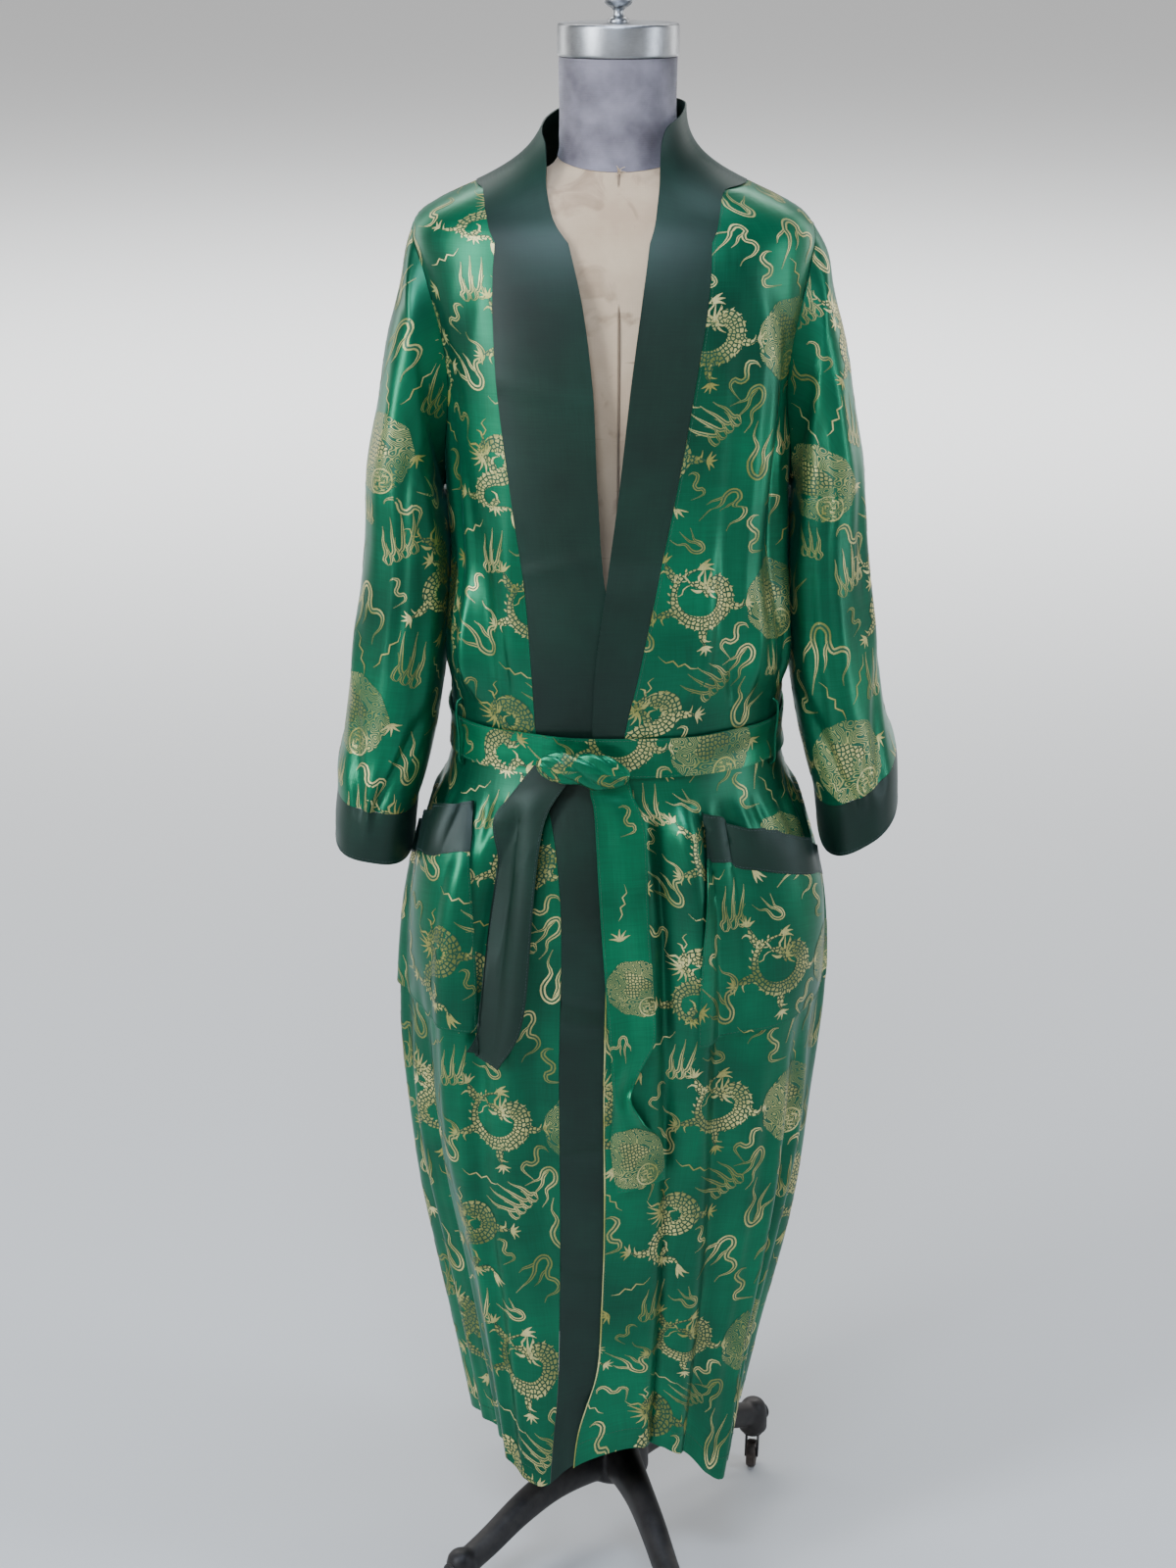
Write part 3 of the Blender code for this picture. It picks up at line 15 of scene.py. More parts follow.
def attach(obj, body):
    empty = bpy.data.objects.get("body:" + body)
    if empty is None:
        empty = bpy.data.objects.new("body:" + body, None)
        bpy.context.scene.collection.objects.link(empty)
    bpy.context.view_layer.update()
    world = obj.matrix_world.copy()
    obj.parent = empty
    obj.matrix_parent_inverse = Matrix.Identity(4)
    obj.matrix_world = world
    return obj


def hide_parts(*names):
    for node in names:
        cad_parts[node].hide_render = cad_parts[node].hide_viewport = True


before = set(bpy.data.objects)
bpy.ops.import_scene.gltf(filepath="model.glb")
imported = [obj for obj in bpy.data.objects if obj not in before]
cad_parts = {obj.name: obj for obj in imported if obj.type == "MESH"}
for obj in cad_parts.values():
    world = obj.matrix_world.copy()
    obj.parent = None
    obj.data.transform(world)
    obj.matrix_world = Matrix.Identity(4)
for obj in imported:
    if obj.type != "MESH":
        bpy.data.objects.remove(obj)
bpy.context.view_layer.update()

LOG = logging.getLogger("dragon_robe")
Array = np.ndarray
Thing = bpy.types.Object

MM = 0.001
CLOTH = 0.0016
BAND = 0.0022
SEAM = 0.0003
LAYER = 0.0012
LAP = 2 * LAYER + 2 * CLOTH
SHELL = 0.0009
BAND_SHELL = 0.0014
BROCADE_LIFT = 0.00035
# A wave texture of scale 1 repeats every 314 mm
WAVE_MM = 314.0

HEM = 0.18
BELT_TOP = 0.965
BELT_BOTTOM = 0.923
UNDERARM = 1.19
SHOULDER_TIP = 1.448
PANEL_TOP = 1.487
V_BOTTOM = 1.1
WAIST_MIDDLE = 0.944
ARM_MIDDLE = 0.5 * (UNDERARM + SHOULDER_TIP)
ARM_HALF = 0.5 * (SHOULDER_TIP - UNDERARM)


class BodyRing(NamedTuple):
    """One level section of the robe's body, in metres."""

    height: float
    half_width: float
    front: float
    back: float
    squareness: float
    centre_x: float


BODY_RINGS = tuple(BodyRing(*row) for row in (
    (0.15, 0.134, 0.15, 0.138, 2.4, -0.01),
    (0.2, 0.144, 0.15, 0.142, 2.4, -0.009),
    (0.28, 0.16, 0.15, 0.148, 2.4, -0.008),
    (0.37, 0.18, 0.15, 0.152, 2.4, -0.006),
    (0.48, 0.203, 0.15, 0.155, 2.4, -0.006),
    (0.6, 0.216, 0.15, 0.156, 2.4, -0.005),
    (0.71, 0.216, 0.15, 0.154, 2.4, -0.002),
    (0.79, 0.206, 0.149, 0.15, 2.4, 0.0),
    (0.86, 0.187, 0.142, 0.142, 2.4, 0.0),
    (0.915, 0.169, 0.131, 0.131, 2.4, 0.0),
    (0.945, 0.165, 0.127, 0.127, 2.4, 0.0),
    (0.975, 0.167, 0.129, 0.129, 2.5, 0.0),
    (1.04, 0.17, 0.136, 0.134, 2.6, 0.0),
    (1.15, 0.169, 0.135, 0.13, 2.8, 0.0),
    (1.25, 0.172, 0.131, 0.128, 3.0, 0.0),
    (1.35, 0.18, 0.124, 0.128, 3.0, 0.0),
    (1.41, 0.191, 0.112, 0.124, 2.8, -0.002),
    (1.44, 0.196, 0.102, 0.118, 2.6, -0.004),
    (1.46, 0.186, 0.093, 0.111, 2.4, -0.006),
    (1.474, 0.16, 0.085, 0.105, 2.2, -0.006),
    (1.49, 0.124, 0.078, 0.096, 2.0, -0.006),
    (1.51, 0.091, 0.071, 0.084, 2.0, -0.005),
    (1.53, 0.074, 0.067, 0.074, 2.0, -0.004),
    (1.55, 0.067, 0.065, 0.068, 2.0, -0.002),
    (1.57, 0.065, 0.064, 0.066, 2.0, 0.0),
))


class Fold(NamedTuple):
    """A soft ridge (depth above 0) or trough down the cloth, angles in degrees."""

    top_angle: float
    low_angle: float
    half_angle: float
    depth: float
    top: float
    bottom: float
    fade_in: float
    fade_out: float


MAIN_FOLDS = tuple(Fold(*row) for row in (
    (-42, -34, 17, 0.02, 0.9, 0.1, 0.45, 0.0),
    (-66, -64, 15, -0.01, 0.84, 0.1, 0.4, 0.0),
    (40, 48, 18, 0.017, 0.9, 0.1, 0.45, 0.0),
    (27, 29, 15, -0.009, 0.86, 0.1, 0.35, 0.0),
    (70, 72, 14, -0.01, 0.8, 0.1, 0.4, 0.0),
    (118, 116, 17, -0.012, 0.9, 0.1, 0.4, 0.0),
    (148, 146, 18, 0.012, 0.9, 0.1, 0.45, 0.0),
    (178, 180, 17, -0.01, 0.88, 0.1, 0.45, 0.0),
    (212, 214, 18, 0.013, 0.9, 0.1, 0.45, 0.0),
    (243, 244, 16, -0.011, 0.9, 0.1, 0.4, 0.0),
    (-60, -56, 22, 0.012, 1.14, 0.982, 0.12, 0.05),
    (58, 56, 22, 0.011, 1.15, 0.982, 0.13, 0.05),
    (64, 50, 14, -0.008, 1.4, 1.05, 0.12, 0.08),
    (44, 40, 12, 0.007, 1.42, 1.02, 0.12, 0.08),
    (-62, -52, 14, -0.007, 1.4, 1.05, 0.12, 0.08),
    (130, 140, 20, 0.009, 1.3, 0.982, 0.15, 0.05),
    (225, 220, 20, 0.009, 1.3, 0.982, 0.15, 0.05),
    (180, 180, 16, -0.007, 1.34, 0.99, 0.15, 0.05),
    (-90, -90, 30, -0.008, 1.185, 0.985, 0.06, 0.03),
    (90, 90, 30, -0.008, 1.185, 0.985, 0.06, 0.03),
    (-52, -50, 22, 0.01, 0.895, 0.6, 0.06, 0.15),
    (54, 54, 24, 0.012, 0.895, 0.6, 0.06, 0.15),
))

# Creases finer than the solids hold
CREASES = tuple(Fold(*row) for row in (
    (38, 34, 6, -0.0037, 1.4, 1.02, 0.1, 0.1),
    (50, 46, 6, 0.0057, 1.38, 0.99, 0.12, 0.06),
    (57, 58, 5, -0.0047, 1.3, 0.99, 0.1, 0.05),
    (66, 66, 5, 0.0053, 1.24, 0.985, 0.1, 0.04),
    (30, 26, 5, 0.0042, 1.2, 0.985, 0.1, 0.05),
    (36, 40, 4, -0.0046, 1.08, 0.982, 0.06, 0.03),
    (74, 70, 6, -0.0047, 1.17, 0.99, 0.08, 0.05),
    (-36, -34, 6, 0.0038, 1.22, 1.0, 0.1, 0.06),
    (-46, -42, 5, -0.0049, 1.2, 0.985, 0.1, 0.04),
    (-56, -50, 5, 0.0049, 1.26, 0.985, 0.1, 0.04),
    (-66, -62, 5, -0.0046, 1.18, 0.985, 0.08, 0.04),
    (-74, -70, 5, 0.0042, 1.12, 0.985, 0.06, 0.04),
    (-40, -58, 7, -0.0028, 1.42, 1.28, 0.05, 0.08),
    (42, 62, 8, -0.003, 1.43, 1.27, 0.05, 0.08),
    (112, 118, 6, 0.0057, 1.3, 0.985, 0.1, 0.05),
    (122, 126, 5, -0.0049, 1.26, 0.985, 0.1, 0.05),
    (146, 150, 6, -0.0049, 1.2, 0.985, 0.1, 0.05),
    (158, 160, 6, 0.0049, 1.16, 0.985, 0.1, 0.04),
    (170, 172, 5, -0.0038, 1.14, 0.985, 0.08, 0.04),
    (190, 188, 6, 0.0046, 1.18, 0.985, 0.08, 0.04),
    (204, 202, 5, -0.0049, 1.24, 0.985, 0.1, 0.04),
    (214, 210, 6, 0.0046, 1.2, 0.985, 0.1, 0.04),
    (236, 232, 6, -0.0049, 1.28, 0.985, 0.1, 0.04),
    (248, 244, 5, 0.0049, 1.22, 0.985, 0.1, 0.04),
    (100, 150, 9, -0.0037, 1.4, 1.22, 0.08, 0.1),
    (260, 212, 9, -0.0037, 1.4, 1.22, 0.08, 0.1),
    (21, 24, 5, 0.0057, 0.9, 0.52, 0.03, 0.2),
    (33, 36, 5, -0.0061, 0.9, 0.6, 0.03, 0.2),
    (60, 62, 6, -0.0049, 0.9, 0.78, 0.03, 0.08),
    (78, 80, 6, 0.0057, 0.9, 0.5, 0.03, 0.2),
    (-30, -28, 5, -0.0049, 0.9, 0.55, 0.03, 0.2),
    (-56, -56, 5, 0.0049, 0.9, 0.8, 0.03, 0.06),
    (-78, -76, 6, 0.0057, 0.9, 0.45, 0.03, 0.2),
    (-84, -86, 5, -0.0042, 0.89, 0.62, 0.03, 0.15),
    (100, 98, 7, 0.0065, 0.9, 0.42, 0.03, 0.25),
    (128, 130, 6, -0.0057, 0.9, 0.5, 0.03, 0.2),
    (138, 140, 6, 0.0057, 0.895, 0.62, 0.03, 0.2),
    (160, 162, 6, -0.0057, 0.9, 0.46, 0.03, 0.2),
    (170, 170, 6, 0.0057, 0.9, 0.6, 0.03, 0.2),
    (188, 190, 6, 0.0049, 0.9, 0.5, 0.03, 0.2),
    (198, 198, 6, -0.0061, 0.9, 0.4, 0.03, 0.2),
    (224, 226, 7, -0.0057, 0.9, 0.52, 0.03, 0.2),
    (234, 234, 6, 0.0057, 0.895, 0.6, 0.03, 0.2),
    (258, 260, 7, 0.0061, 0.9, 0.44, 0.03, 0.2),
    (36, 38, 9, -0.0076, 0.58, 0.1, 0.22, 0.0),
    (56, 58, 8, -0.0068, 0.6, 0.1, 0.22, 0.0),
    (82, 84, 10, 0.0076, 0.56, 0.1, 0.2, 0.0),
    (-50, -48, 9, -0.0068, 0.6, 0.1, 0.25, 0.0),
    (-27, -25, 7, -0.0057, 0.56, 0.1, 0.25, 0.0),
    (-80, -80, 10, 0.0076, 0.6, 0.1, 0.25, 0.0),
    (104, 102, 9, 0.0076, 0.58, 0.1, 0.25, 0.0),
    (132, 130, 9, -0.0068, 0.6, 0.1, 0.25, 0.0),
    (164, 165, 9, 0.0072, 0.58, 0.1, 0.25, 0.0),
    (196, 196, 9, 0.0065, 0.6, 0.1, 0.25, 0.0),
    (228, 230, 9, -0.0076, 0.58, 0.1, 0.25, 0.0),
    (258, 258, 9, 0.0068, 0.6, 0.1, 0.25, 0.0),
    (11, 20, 5.0, -0.011, 0.905, 0.11, 0.04, 0.06),
    (19.5, 30, 5.5, 0.009, 0.905, 0.11, 0.05, 0.06),
    (-27, -24, 6.5, 0.009, 0.84, 0.11, 0.2, 0.06),
    (-35, -36, 5.0, -0.01, 0.88, 0.12, 0.05, 0.1),
    (-44, -46, 5.0, 0.007, 0.86, 0.4, 0.05, 0.2),
    (43, 45, 5.0, -0.008, 0.66, 0.11, 0.15, 0.06),
    (62, 60, 6.0, 0.008, 0.7, 0.11, 0.2, 0.06),
    (54, 54, 5.0, -0.008, 0.72, 0.11, 0.2, 0.06),
    (-57, -58, 5.0, -0.009, 0.74, 0.11, 0.2, 0.06),
    (-66, -68, 6.0, 0.008, 0.72, 0.11, 0.2, 0.06),
    (26, 27, 3.0, -0.0034, 0.902, 0.78, 0.03, 0.07),
    (40, 41, 3.5, 0.003, 0.902, 0.83, 0.03, 0.05),
    (47, 48, 3.0, -0.003, 0.902, 0.84, 0.03, 0.04),
    (67, 68, 3.5, 0.0034, 0.902, 0.82, 0.03, 0.06),
    (73, 74, 3.0, -0.003, 0.902, 0.8, 0.03, 0.06),
    (-36, -35, 3.5, 0.0032, 0.902, 0.8, 0.03, 0.07),
    (-43, -42, 3.0, -0.0034, 0.902, 0.82, 0.03, 0.06),
    (-63, -64, 3.5, 0.003, 0.902, 0.84, 0.03, 0.05),
    (-70, -71, 3.0, -0.0032, 0.902, 0.8, 0.03, 0.06),
    (24, 25, 3.0, -0.003, 1.09, 0.984, 0.07, 0.03),
    (45, 44, 3.0, 0.0032, 1.12, 0.984, 0.09, 0.03),
    (62, 61, 3.0, -0.0034, 1.1, 0.984, 0.08, 0.03),
    (80, 78, 4.0, 0.003, 1.08, 0.984, 0.06, 0.03),
    (-38, -37, 3.0, -0.0032, 1.1, 0.984, 0.08, 0.03),
    (-52, -50, 3.0, 0.0034, 1.12, 0.984, 0.09, 0.03),
    (-60, -58, 3.0, -0.003, 1.06, 0.984, 0.05, 0.03),
    (-80, -78, 4.0, 0.003, 1.09, 0.984, 0.07, 0.03),
    (106, 108, 3.5, 0.0032, 1.09, 0.984, 0.07, 0.03),
    (134, 135, 3.5, -0.0034, 1.1, 0.984, 0.08, 0.03),
    (163, 164, 3.0, 0.003, 1.07, 0.984, 0.06, 0.03),
    (197, 196, 3.0, -0.003, 1.08, 0.984, 0.07, 0.03),
    (226, 225, 3.5, 0.0034, 1.11, 0.984, 0.08, 0.03),
    (255, 253, 3.5, -0.003, 1.08, 0.984, 0.07, 0.03),
    (108, 107, 3.5, -0.0034, 0.902, 0.8, 0.03, 0.07),
    (119, 118, 3.5, 0.0034, 0.902, 0.82, 0.03, 0.06),
    (151, 152, 3.5, 0.003, 0.902, 0.8, 0.03, 0.07),
    (180, 181, 3.5, 0.0034, 0.902, 0.79, 0.03, 0.07),
    (207, 208, 3.5, 0.0032, 0.902, 0.81, 0.03, 0.06),
    (240, 241, 3.5, -0.0034, 0.902, 0.8, 0.03, 0.07),
    (251, 252, 3.5, 0.003, 0.902, 0.82, 0.03, 0.06),
))


class EdgeRow(NamedTuple):
    """Where the two bands' edges lie across the front at one height."""

    height: float
    right_seam: float
    right_free: float
    left_seam: float
    left_free: float


EDGE_ROWS = tuple(EdgeRow(*row) for row in (
    (0.15, -0.066, 0.02, 0.01, -0.046),
    (0.215, -0.064, 0.022, 0.01, -0.04),
    (0.275, -0.06, 0.026, 0.01, -0.022),
    (0.36, -0.058, 0.028, 0.01, -0.016),
    (0.6, -0.058, 0.03, 0.01, -0.014),
    (0.86, -0.062, 0.028, 0.01, -0.015),
    (0.945, -0.078, 0.012, 0.004, -0.024),
    (1.03, -0.084, 0.006, 0.02, -0.022),
    (1.11, -0.09, -0.012, 0.036, -0.012),
    (1.21, -0.104, -0.02, 0.056, 0.001),
    (1.31, -0.116, -0.025, 0.073, 0.012),
    (1.4, -0.119, -0.038, 0.086, 0.024),
    (1.44, -0.117, -0.048, 0.088, 0.0295),
))


class NeckRow(NamedTuple):
    """Where the band's two edges lie as it passes round the neck, angles in degrees."""

    seam_angle: float
    seam_height: float
    free_angle: float
    free_height: float


NECK_ROWS_RIGHT = tuple(NeckRow(*row) for row in (
    (-37, 1.46, -20.7, 1.475),
    (-46.5, 1.474, -39, 1.505),
    (-61, 1.484, -58, 1.527),
    (-90, 1.488, -90, 1.541),
    (-122, 1.482, -122, 1.552),
    (-152, 1.475, -152, 1.56),
    (-179.85, 1.4725, -179.85, 1.564),
))
NECK_ROWS_LEFT = tuple(NeckRow(*row) for row in (
    (31, 1.46, 14.7, 1.475),
    (38, 1.474, 28, 1.508),
    (49, 1.484, 42, 1.541),
    (90, 1.488, 90, 1.56),
    (122, 1.482, 122, 1.563),
    (152, 1.475, 152, 1.564),
    (179.85, 1.4725, 179.85, 1.564),
))


def hex_linear(code: str) -> tuple[float, float, float, float]:
    """Turn an sRGB hex colour into linear values.

    Args:
        code: six hex digits, with or without a leading #.

    Returns:
        Linear red, green, blue and an alpha of 1.
    """
    digits = code.lstrip("#")
    shares = [int(digits[low:low + 2], 16) / 255.0 for low in (0, 2, 4)]
    linear = [s / 12.92 if s <= 0.04045 else ((s + 0.055) / 1.055) ** 2.4 for s in shares]
    return (linear[0], linear[1], linear[2], 1.0)


def feed(socket: bpy.types.NodeSocket, value: object) -> None:
    """Set a socket, or join it to another socket or to the first output that a node has in use.

    Args:
        socket: the socket to fill.
        value: its value, or the socket or node that feeds it.
    """
    if isinstance(value, bpy.types.Node):
        value = next(output for output in value.outputs if output.enabled)
    if isinstance(value, bpy.types.NodeSocket):
        socket.id_data.links.new(value, socket)
    else:
        socket.default_value = value


def add_node(tree: bpy.types.NodeTree, kind: str, *sockets: object, **named: object) -> bpy.types.Node:
    """Add one node with its settings and its incoming links.

    Args:
        tree: the material's node tree.
        kind: the node's type name after ShaderNode.
        sockets: what its sockets take, in order: values, or nodes and sockets to join.
        named: the same by socket name, underscores for spaces, or a property by its own name.

    Returns:
        The new node.
    """
    node = tree.nodes.new("ShaderNode" + kind)
    for key, value in named.items():
        if key.islower():
            setattr(node, key, value)
    live = [socket for socket in node.inputs if socket.enabled]
    for socket, value in zip(live, sockets):
        feed(socket, value)
    for key, value in named.items():
        if not key.islower():
            feed(node.inputs[key.replace("_", " ")], value)
    return node


def ramp(source: bpy.types.Node | bpy.types.NodeSocket, *stops: tuple[float, str]) -> bpy.types.Node:
    """Colour a 0 to 1 value with sRGB stops.

    Args:
        source: the value that drives the ramp.
        stops: (place, hex colour) pairs in order.

    Returns:
        The ramp's node.
    """
    node = add_node(source.id_data, "ValToRGB", source)
    elements = node.color_ramp.elements
    while len(elements) < len(stops):
        elements.new(0.5)
    for element, (place, code) in zip(elements, stops):
        element.position = place
        element.color = hex_linear(code)
    return node


class Paint:
    """A material in the making."""

    def __init__(self, name: str) -> None:
        """Make an empty material.

        Args:
            name: the material's name.
        """
        self.material = bpy.data.materials.new(name)
        self.material.use_nodes = True
        self.add = partial(add_node, self.material.node_tree)

    def finish(self, **values: object) -> bpy.types.Material:
        """Fill the shader's own sockets, underscores standing for spaces.

        Args:
            values: what each socket takes, a value or a node to join.

        Returns:
            The finished material.
        """
        shader = self.material.node_tree.nodes["Principled BSDF"]
        for key, value in values.items():
            feed(shader.inputs[key.replace("_", " ")], value)
        return self.material


@dataclass(frozen=True)
class SilkSatin:
    """Warp-faced silk satin: long floats give broad tinted highlights and deep shade."""

    name: str
    mid: str
    shade: str
    light: str
    roughness: float
    metallic: float
    sheen: str
    sheen_weight: float
    slub_mm: float = 1.6

    def make(self) -> bpy.types.Material:
        """Build the material."""
        paint = Paint(self.name)
        add = paint.add
        place = add("UVMap", uv_map="cloth")
        # The tone drifts over patches about 140 mm across
        broad = add("TexNoise", place, Scale=7.0, Detail=3.0)
        tone = ramp(broad, (0.3, self.shade), (0.55, self.mid), (0.8, self.light))
        # Satin threads are 0.1 mm apart: drawn as slubs at their visible pitch
        pitch = 1000.0 / self.slub_mm
        stretch = add("Mapping", place, Scale=(pitch, pitch * 0.04, 1.0))
        slub = add("TexNoise", stretch, Scale=1.0, Detail=2.0)
        weft = add("Mapping", place, Scale=(pitch * 0.05, pitch, 1.0))
        pick = add("TexNoise", weft, Scale=1.0, Detail=1.0)
        both = add("Math", slub, pick, operation="ADD")
        streak = add("MapRange", both, 0.7, 1.3, 0.9, 1.12)
        colour = add("Mix", 1.0, tone, streak, data_type="RGBA", blend_type="MULTIPLY")
        rough = add("MapRange", slub, To_Min=self.roughness - 0.05, To_Max=self.roughness + 0.07)
        bump = add("Bump", Strength=0.1, Distance=0.0004, Height=both)
        return paint.finish(
            Base_Color=colour, Roughness=rough, Normal=bump, Metallic=self.metallic, Sheen_Roughness=0.35,
            Sheen_Weight=self.sheen_weight, Sheen_Tint=hex_linear(self.sheen), Anisotropic=0.35)


class ThreadPattern(Enum):
    """How the gold thread fills a motif."""

    OUTLINE = "outline"
    SCALES = "scales"
    WINDING = "winding"
    SOLID = "solid"


@dataclass(frozen=True)
class GoldBrocade:
    """Gold supplementary weft: metallised thread that stands a little proud and catches light."""

    name: str
    pattern: ThreadPattern
    bright: str
    dull: str
    ground: str
    ground_metallic: float = 0.25
    roughness: float = 0.42
    thread_mm: float = 1.1

    def mask(self, add: Callable[..., bpy.types.Node], place: bpy.types.Node) -> bpy.types.Node:
        """Return where the gold lies, 0 to 1.

        Args:
            add: adds a node to the material.
            place: the motif's own coordinates.

        Returns:
            The node that gives it.
        """
        if self.pattern is ThreadPattern.SCALES:
            # Scales are 4.4 mm across
            cell = add("TexVoronoi", place, feature="DISTANCE_TO_EDGE", voronoi_dimensions="2D",
                       Scale=1.0 / (4.4 * MM), Randomness=0.55)
            return add("MapRange", cell, 0.13, 0.21)
        if self.pattern is ThreadPattern.WINDING:
            # The wound lines turn every 11 mm
            waves = add("TexNoise", place, noise_dimensions="2D", Scale=1.0 / (11.0 * MM), Detail=0.0)
            many = add("Math", waves, 8.5, operation="MULTIPLY")
            return add("MapRange", add("Math", many, 0.5, operation="PINGPONG"), 0.27, 0.34)
        parts = add("SeparateXYZ", place)
        across = add("Math", parts.outputs[1], operation="ABSOLUTE")
        if self.pattern is ThreadPattern.OUTLINE:
            return add("MapRange", across, 0.3, 0.42)
        return add("MapRange", across, 0.0, 0.1, 0.9)

    def make(self) -> bpy.types.Material:
        """Build the material."""
        paint = Paint(self.name)
        add = paint.add
        mask = self.mask(add, add("UVMap", uv_map="cloth"))
        body = add("TexCoord").outputs["Object"]
        # Painted reflection: the gold goes from its dull to its bright colour over patches about 65 mm
        # across, standing in for its shine changing with the light
        patch = add("TexNoise", body, Scale=15.0, Detail=2.0)
        gold = ramp(patch, (0.4, self.dull), (0.63, self.bright))
        # Gold picks lie 0.4 mm apart: drawn as coarse as they need to show
        grain = add("TexNoise", body, Scale=1000.0 / self.thread_mm, Detail=1.0)
        glint = add("MapRange", grain, 0.3, 0.7, 0.78, 1.15)
        thread = add("Mix", 1.0, gold, glint, data_type="RGBA", blend_type="MULTIPLY")
        colour = add("Mix", mask, hex_linear(self.ground), thread, data_type="RGBA")
        metallic = add("MapRange", mask, To_Min=self.ground_metallic, To_Max=0.55)
        bump = add("Bump", Strength=0.35, Distance=0.0005, Height=mask)
        return paint.finish(Base_Color=colour, Metallic=metallic, Normal=bump, Roughness=self.roughness)


@dataclass(frozen=True)
class CottonCanvas:
    """Unbleached cotton canvas, aged: matt, with a plain weave, tide marks and grey handling."""

    name: str = "aged_cotton_canvas"
    clean: str = "#D0B899"
    worn: str = "#B99F82"
    stain: str = "#80654F"
    thread_mm: float = 1.5

    def make(self) -> bpy.types.Material:
        """Build the material."""
        paint = Paint(self.name)
        add = paint.add
        place = add("TexCoord").outputs["Object"]
        # Grey handling in patches of about 110 mm, and blots of about 40 mm
        broad = add("TexNoise", place, Scale=9.0, Detail=6.0, Roughness=0.6)
        tone = ramp(broad, (0.34, self.worn), (0.6, self.clean))
        blot = add("TexNoise", place, Scale=26.0, Detail=5.0, Distortion=0.8)
        spot = add("MapRange", blot, 0.58, 0.72, To_Max=0.62)
        stained = add("Mix", spot, tone, hex_linear(self.stain), data_type="RGBA")
        slant = add("Mapping", place, Scale=(9.0, 9.0, 150.0), Rotation=(0.0, 0.42, 0.0))
        scratch = add("TexNoise", slant, Scale=1.0, Detail=1.0)
        mark = add("MapRange", scratch, 0.7, 0.76, To_Max=0.6)
        marked = add("Mix", mark, stained, hex_linear(self.stain), data_type="RGBA")
        waves = [add("TexWave", place, bands_direction=direction, Scale=WAVE_MM / self.thread_mm,
                     Distortion=0.6, Detail=1.0).outputs["Fac"] for direction in ("X", "Z")]
        weave = add("Math", *waves, operation="ADD")
        bump = add("Bump", Strength=0.25, Distance=0.0004, Height=weave)
        return paint.finish(Base_Color=marked, Normal=bump, Roughness=0.92, Sheen_Weight=0.15)


@dataclass(frozen=True)
class JerseyCover:
    """Dark cotton jersey pulled over the neck: matt, ribbed, fading where it is handled."""

    name: str = "faded_jersey"
    dark: str = "#524D54"
    light: str = "#88838C"
    rib_mm: float = 2.0

    def make(self) -> bpy.types.Material:
        """Build the material."""
        paint = Paint(self.name)
        add = paint.add
        place = add("TexCoord").outputs["Object"]
        # It fades in patches about 45 mm across
        tone = ramp(add("TexNoise", place, Scale=22.0, Detail=5.0), (0.35, self.dark), (0.68, self.light))
        rib = add("TexWave", place, bands_direction="Z", Scale=WAVE_MM / self.rib_mm, Distortion=1.2)
        bump = add("Bump", Strength=0.3, Distance=0.0005, Height=rib.outputs["Fac"])
        return paint.finish(Base_Color=tone, Normal=bump, Roughness=0.9, Sheen_Weight=0.25)


@dataclass(frozen=True)
class CastMetal:
    """A metal finish: brushed steel or painted and worn cast iron."""

    name: str
    dark: str
    light: str
    metallic: float
    roughness: float
    grain_mm: float
    bump: float
    brushed: bool = False

    def make(self) -> bpy.types.Material:
        """Build the material."""
        paint = Paint(self.name)
        add = paint.add
        place = add("TexCoord").outputs["Object"]
        stretch = add("Mapping", place, Scale=(1.0, 1.0, 26.0 if self.brushed else 1.0))
        # The grit is drawn ten times as coarse as it is, to show, over wear about 35 mm across
        grain = add("TexNoise", stretch, Scale=1000.0 / self.grain_mm / 10.0, Detail=6.0)
        wear = add("TexNoise", place, Scale=30.0, Detail=6.0, Roughness=0.65)
        both = add("Math", grain, 0.5, wear, operation="MULTIPLY_ADD")
        tone = ramp(both, (0.5, self.dark), (0.98, self.light))
        rough = add("MapRange", wear, To_Min=self.roughness - 0.1, To_Max=self.roughness + 0.12)
        bump = add("Bump", Strength=self.bump, Distance=0.0006, Height=grain)
        return paint.finish(Base_Color=tone, Roughness=rough, Normal=bump, Metallic=self.metallic)


@dataclass(frozen=True)
class SewingThread:
    """Spun sewing thread: matt, with the turns of its ply."""

    name: str
    light: str
    dark: str
    ply_mm: float = 0.7

    def make(self) -> bpy.types.Material:
        """Build the material."""
        paint = Paint(self.name)
        add = paint.add
        turns = add("TexWave", add("UVMap", uv_map="cloth"), bands_direction="DIAGONAL",
                    Scale=WAVE_MM / self.ply_mm, Distortion=0.4).outputs["Fac"]
        tone = ramp(turns, (0.2, self.dark), (0.8, self.light))
        bump = add("Bump", Strength=0.4, Distance=0.0002, Height=turns)
        return paint.finish(Base_Color=tone, Normal=bump, Roughness=0.75, Sheen_Weight=0.2)


@dataclass(frozen=True)
class FloorPaint:
    """Pale matt studio floor, lit up far from the stage like a sweep."""

    name: str = "pale_studio_floor"
    near: float = 1.2
    far: float = 8.0
    glow: float = 0.5
    colour: str = "#C2C4C5"

    def make(self) -> bpy.types.Material:
        """Build the material."""
        paint = Paint(self.name)
        add = paint.add
        away = add("VectorMath", add("TexCoord").outputs["Object"], operation="LENGTH")
        glow = add("MapRange", away, self.near, self.far, 0.03, self.glow, interpolation_type="SMOOTHSTEP")
        return paint.finish(Emission_Strength=glow, Base_Color=hex_linear(self.colour), Roughness=0.85,
                            Emission_Color=hex_linear("#FFFFFF"))


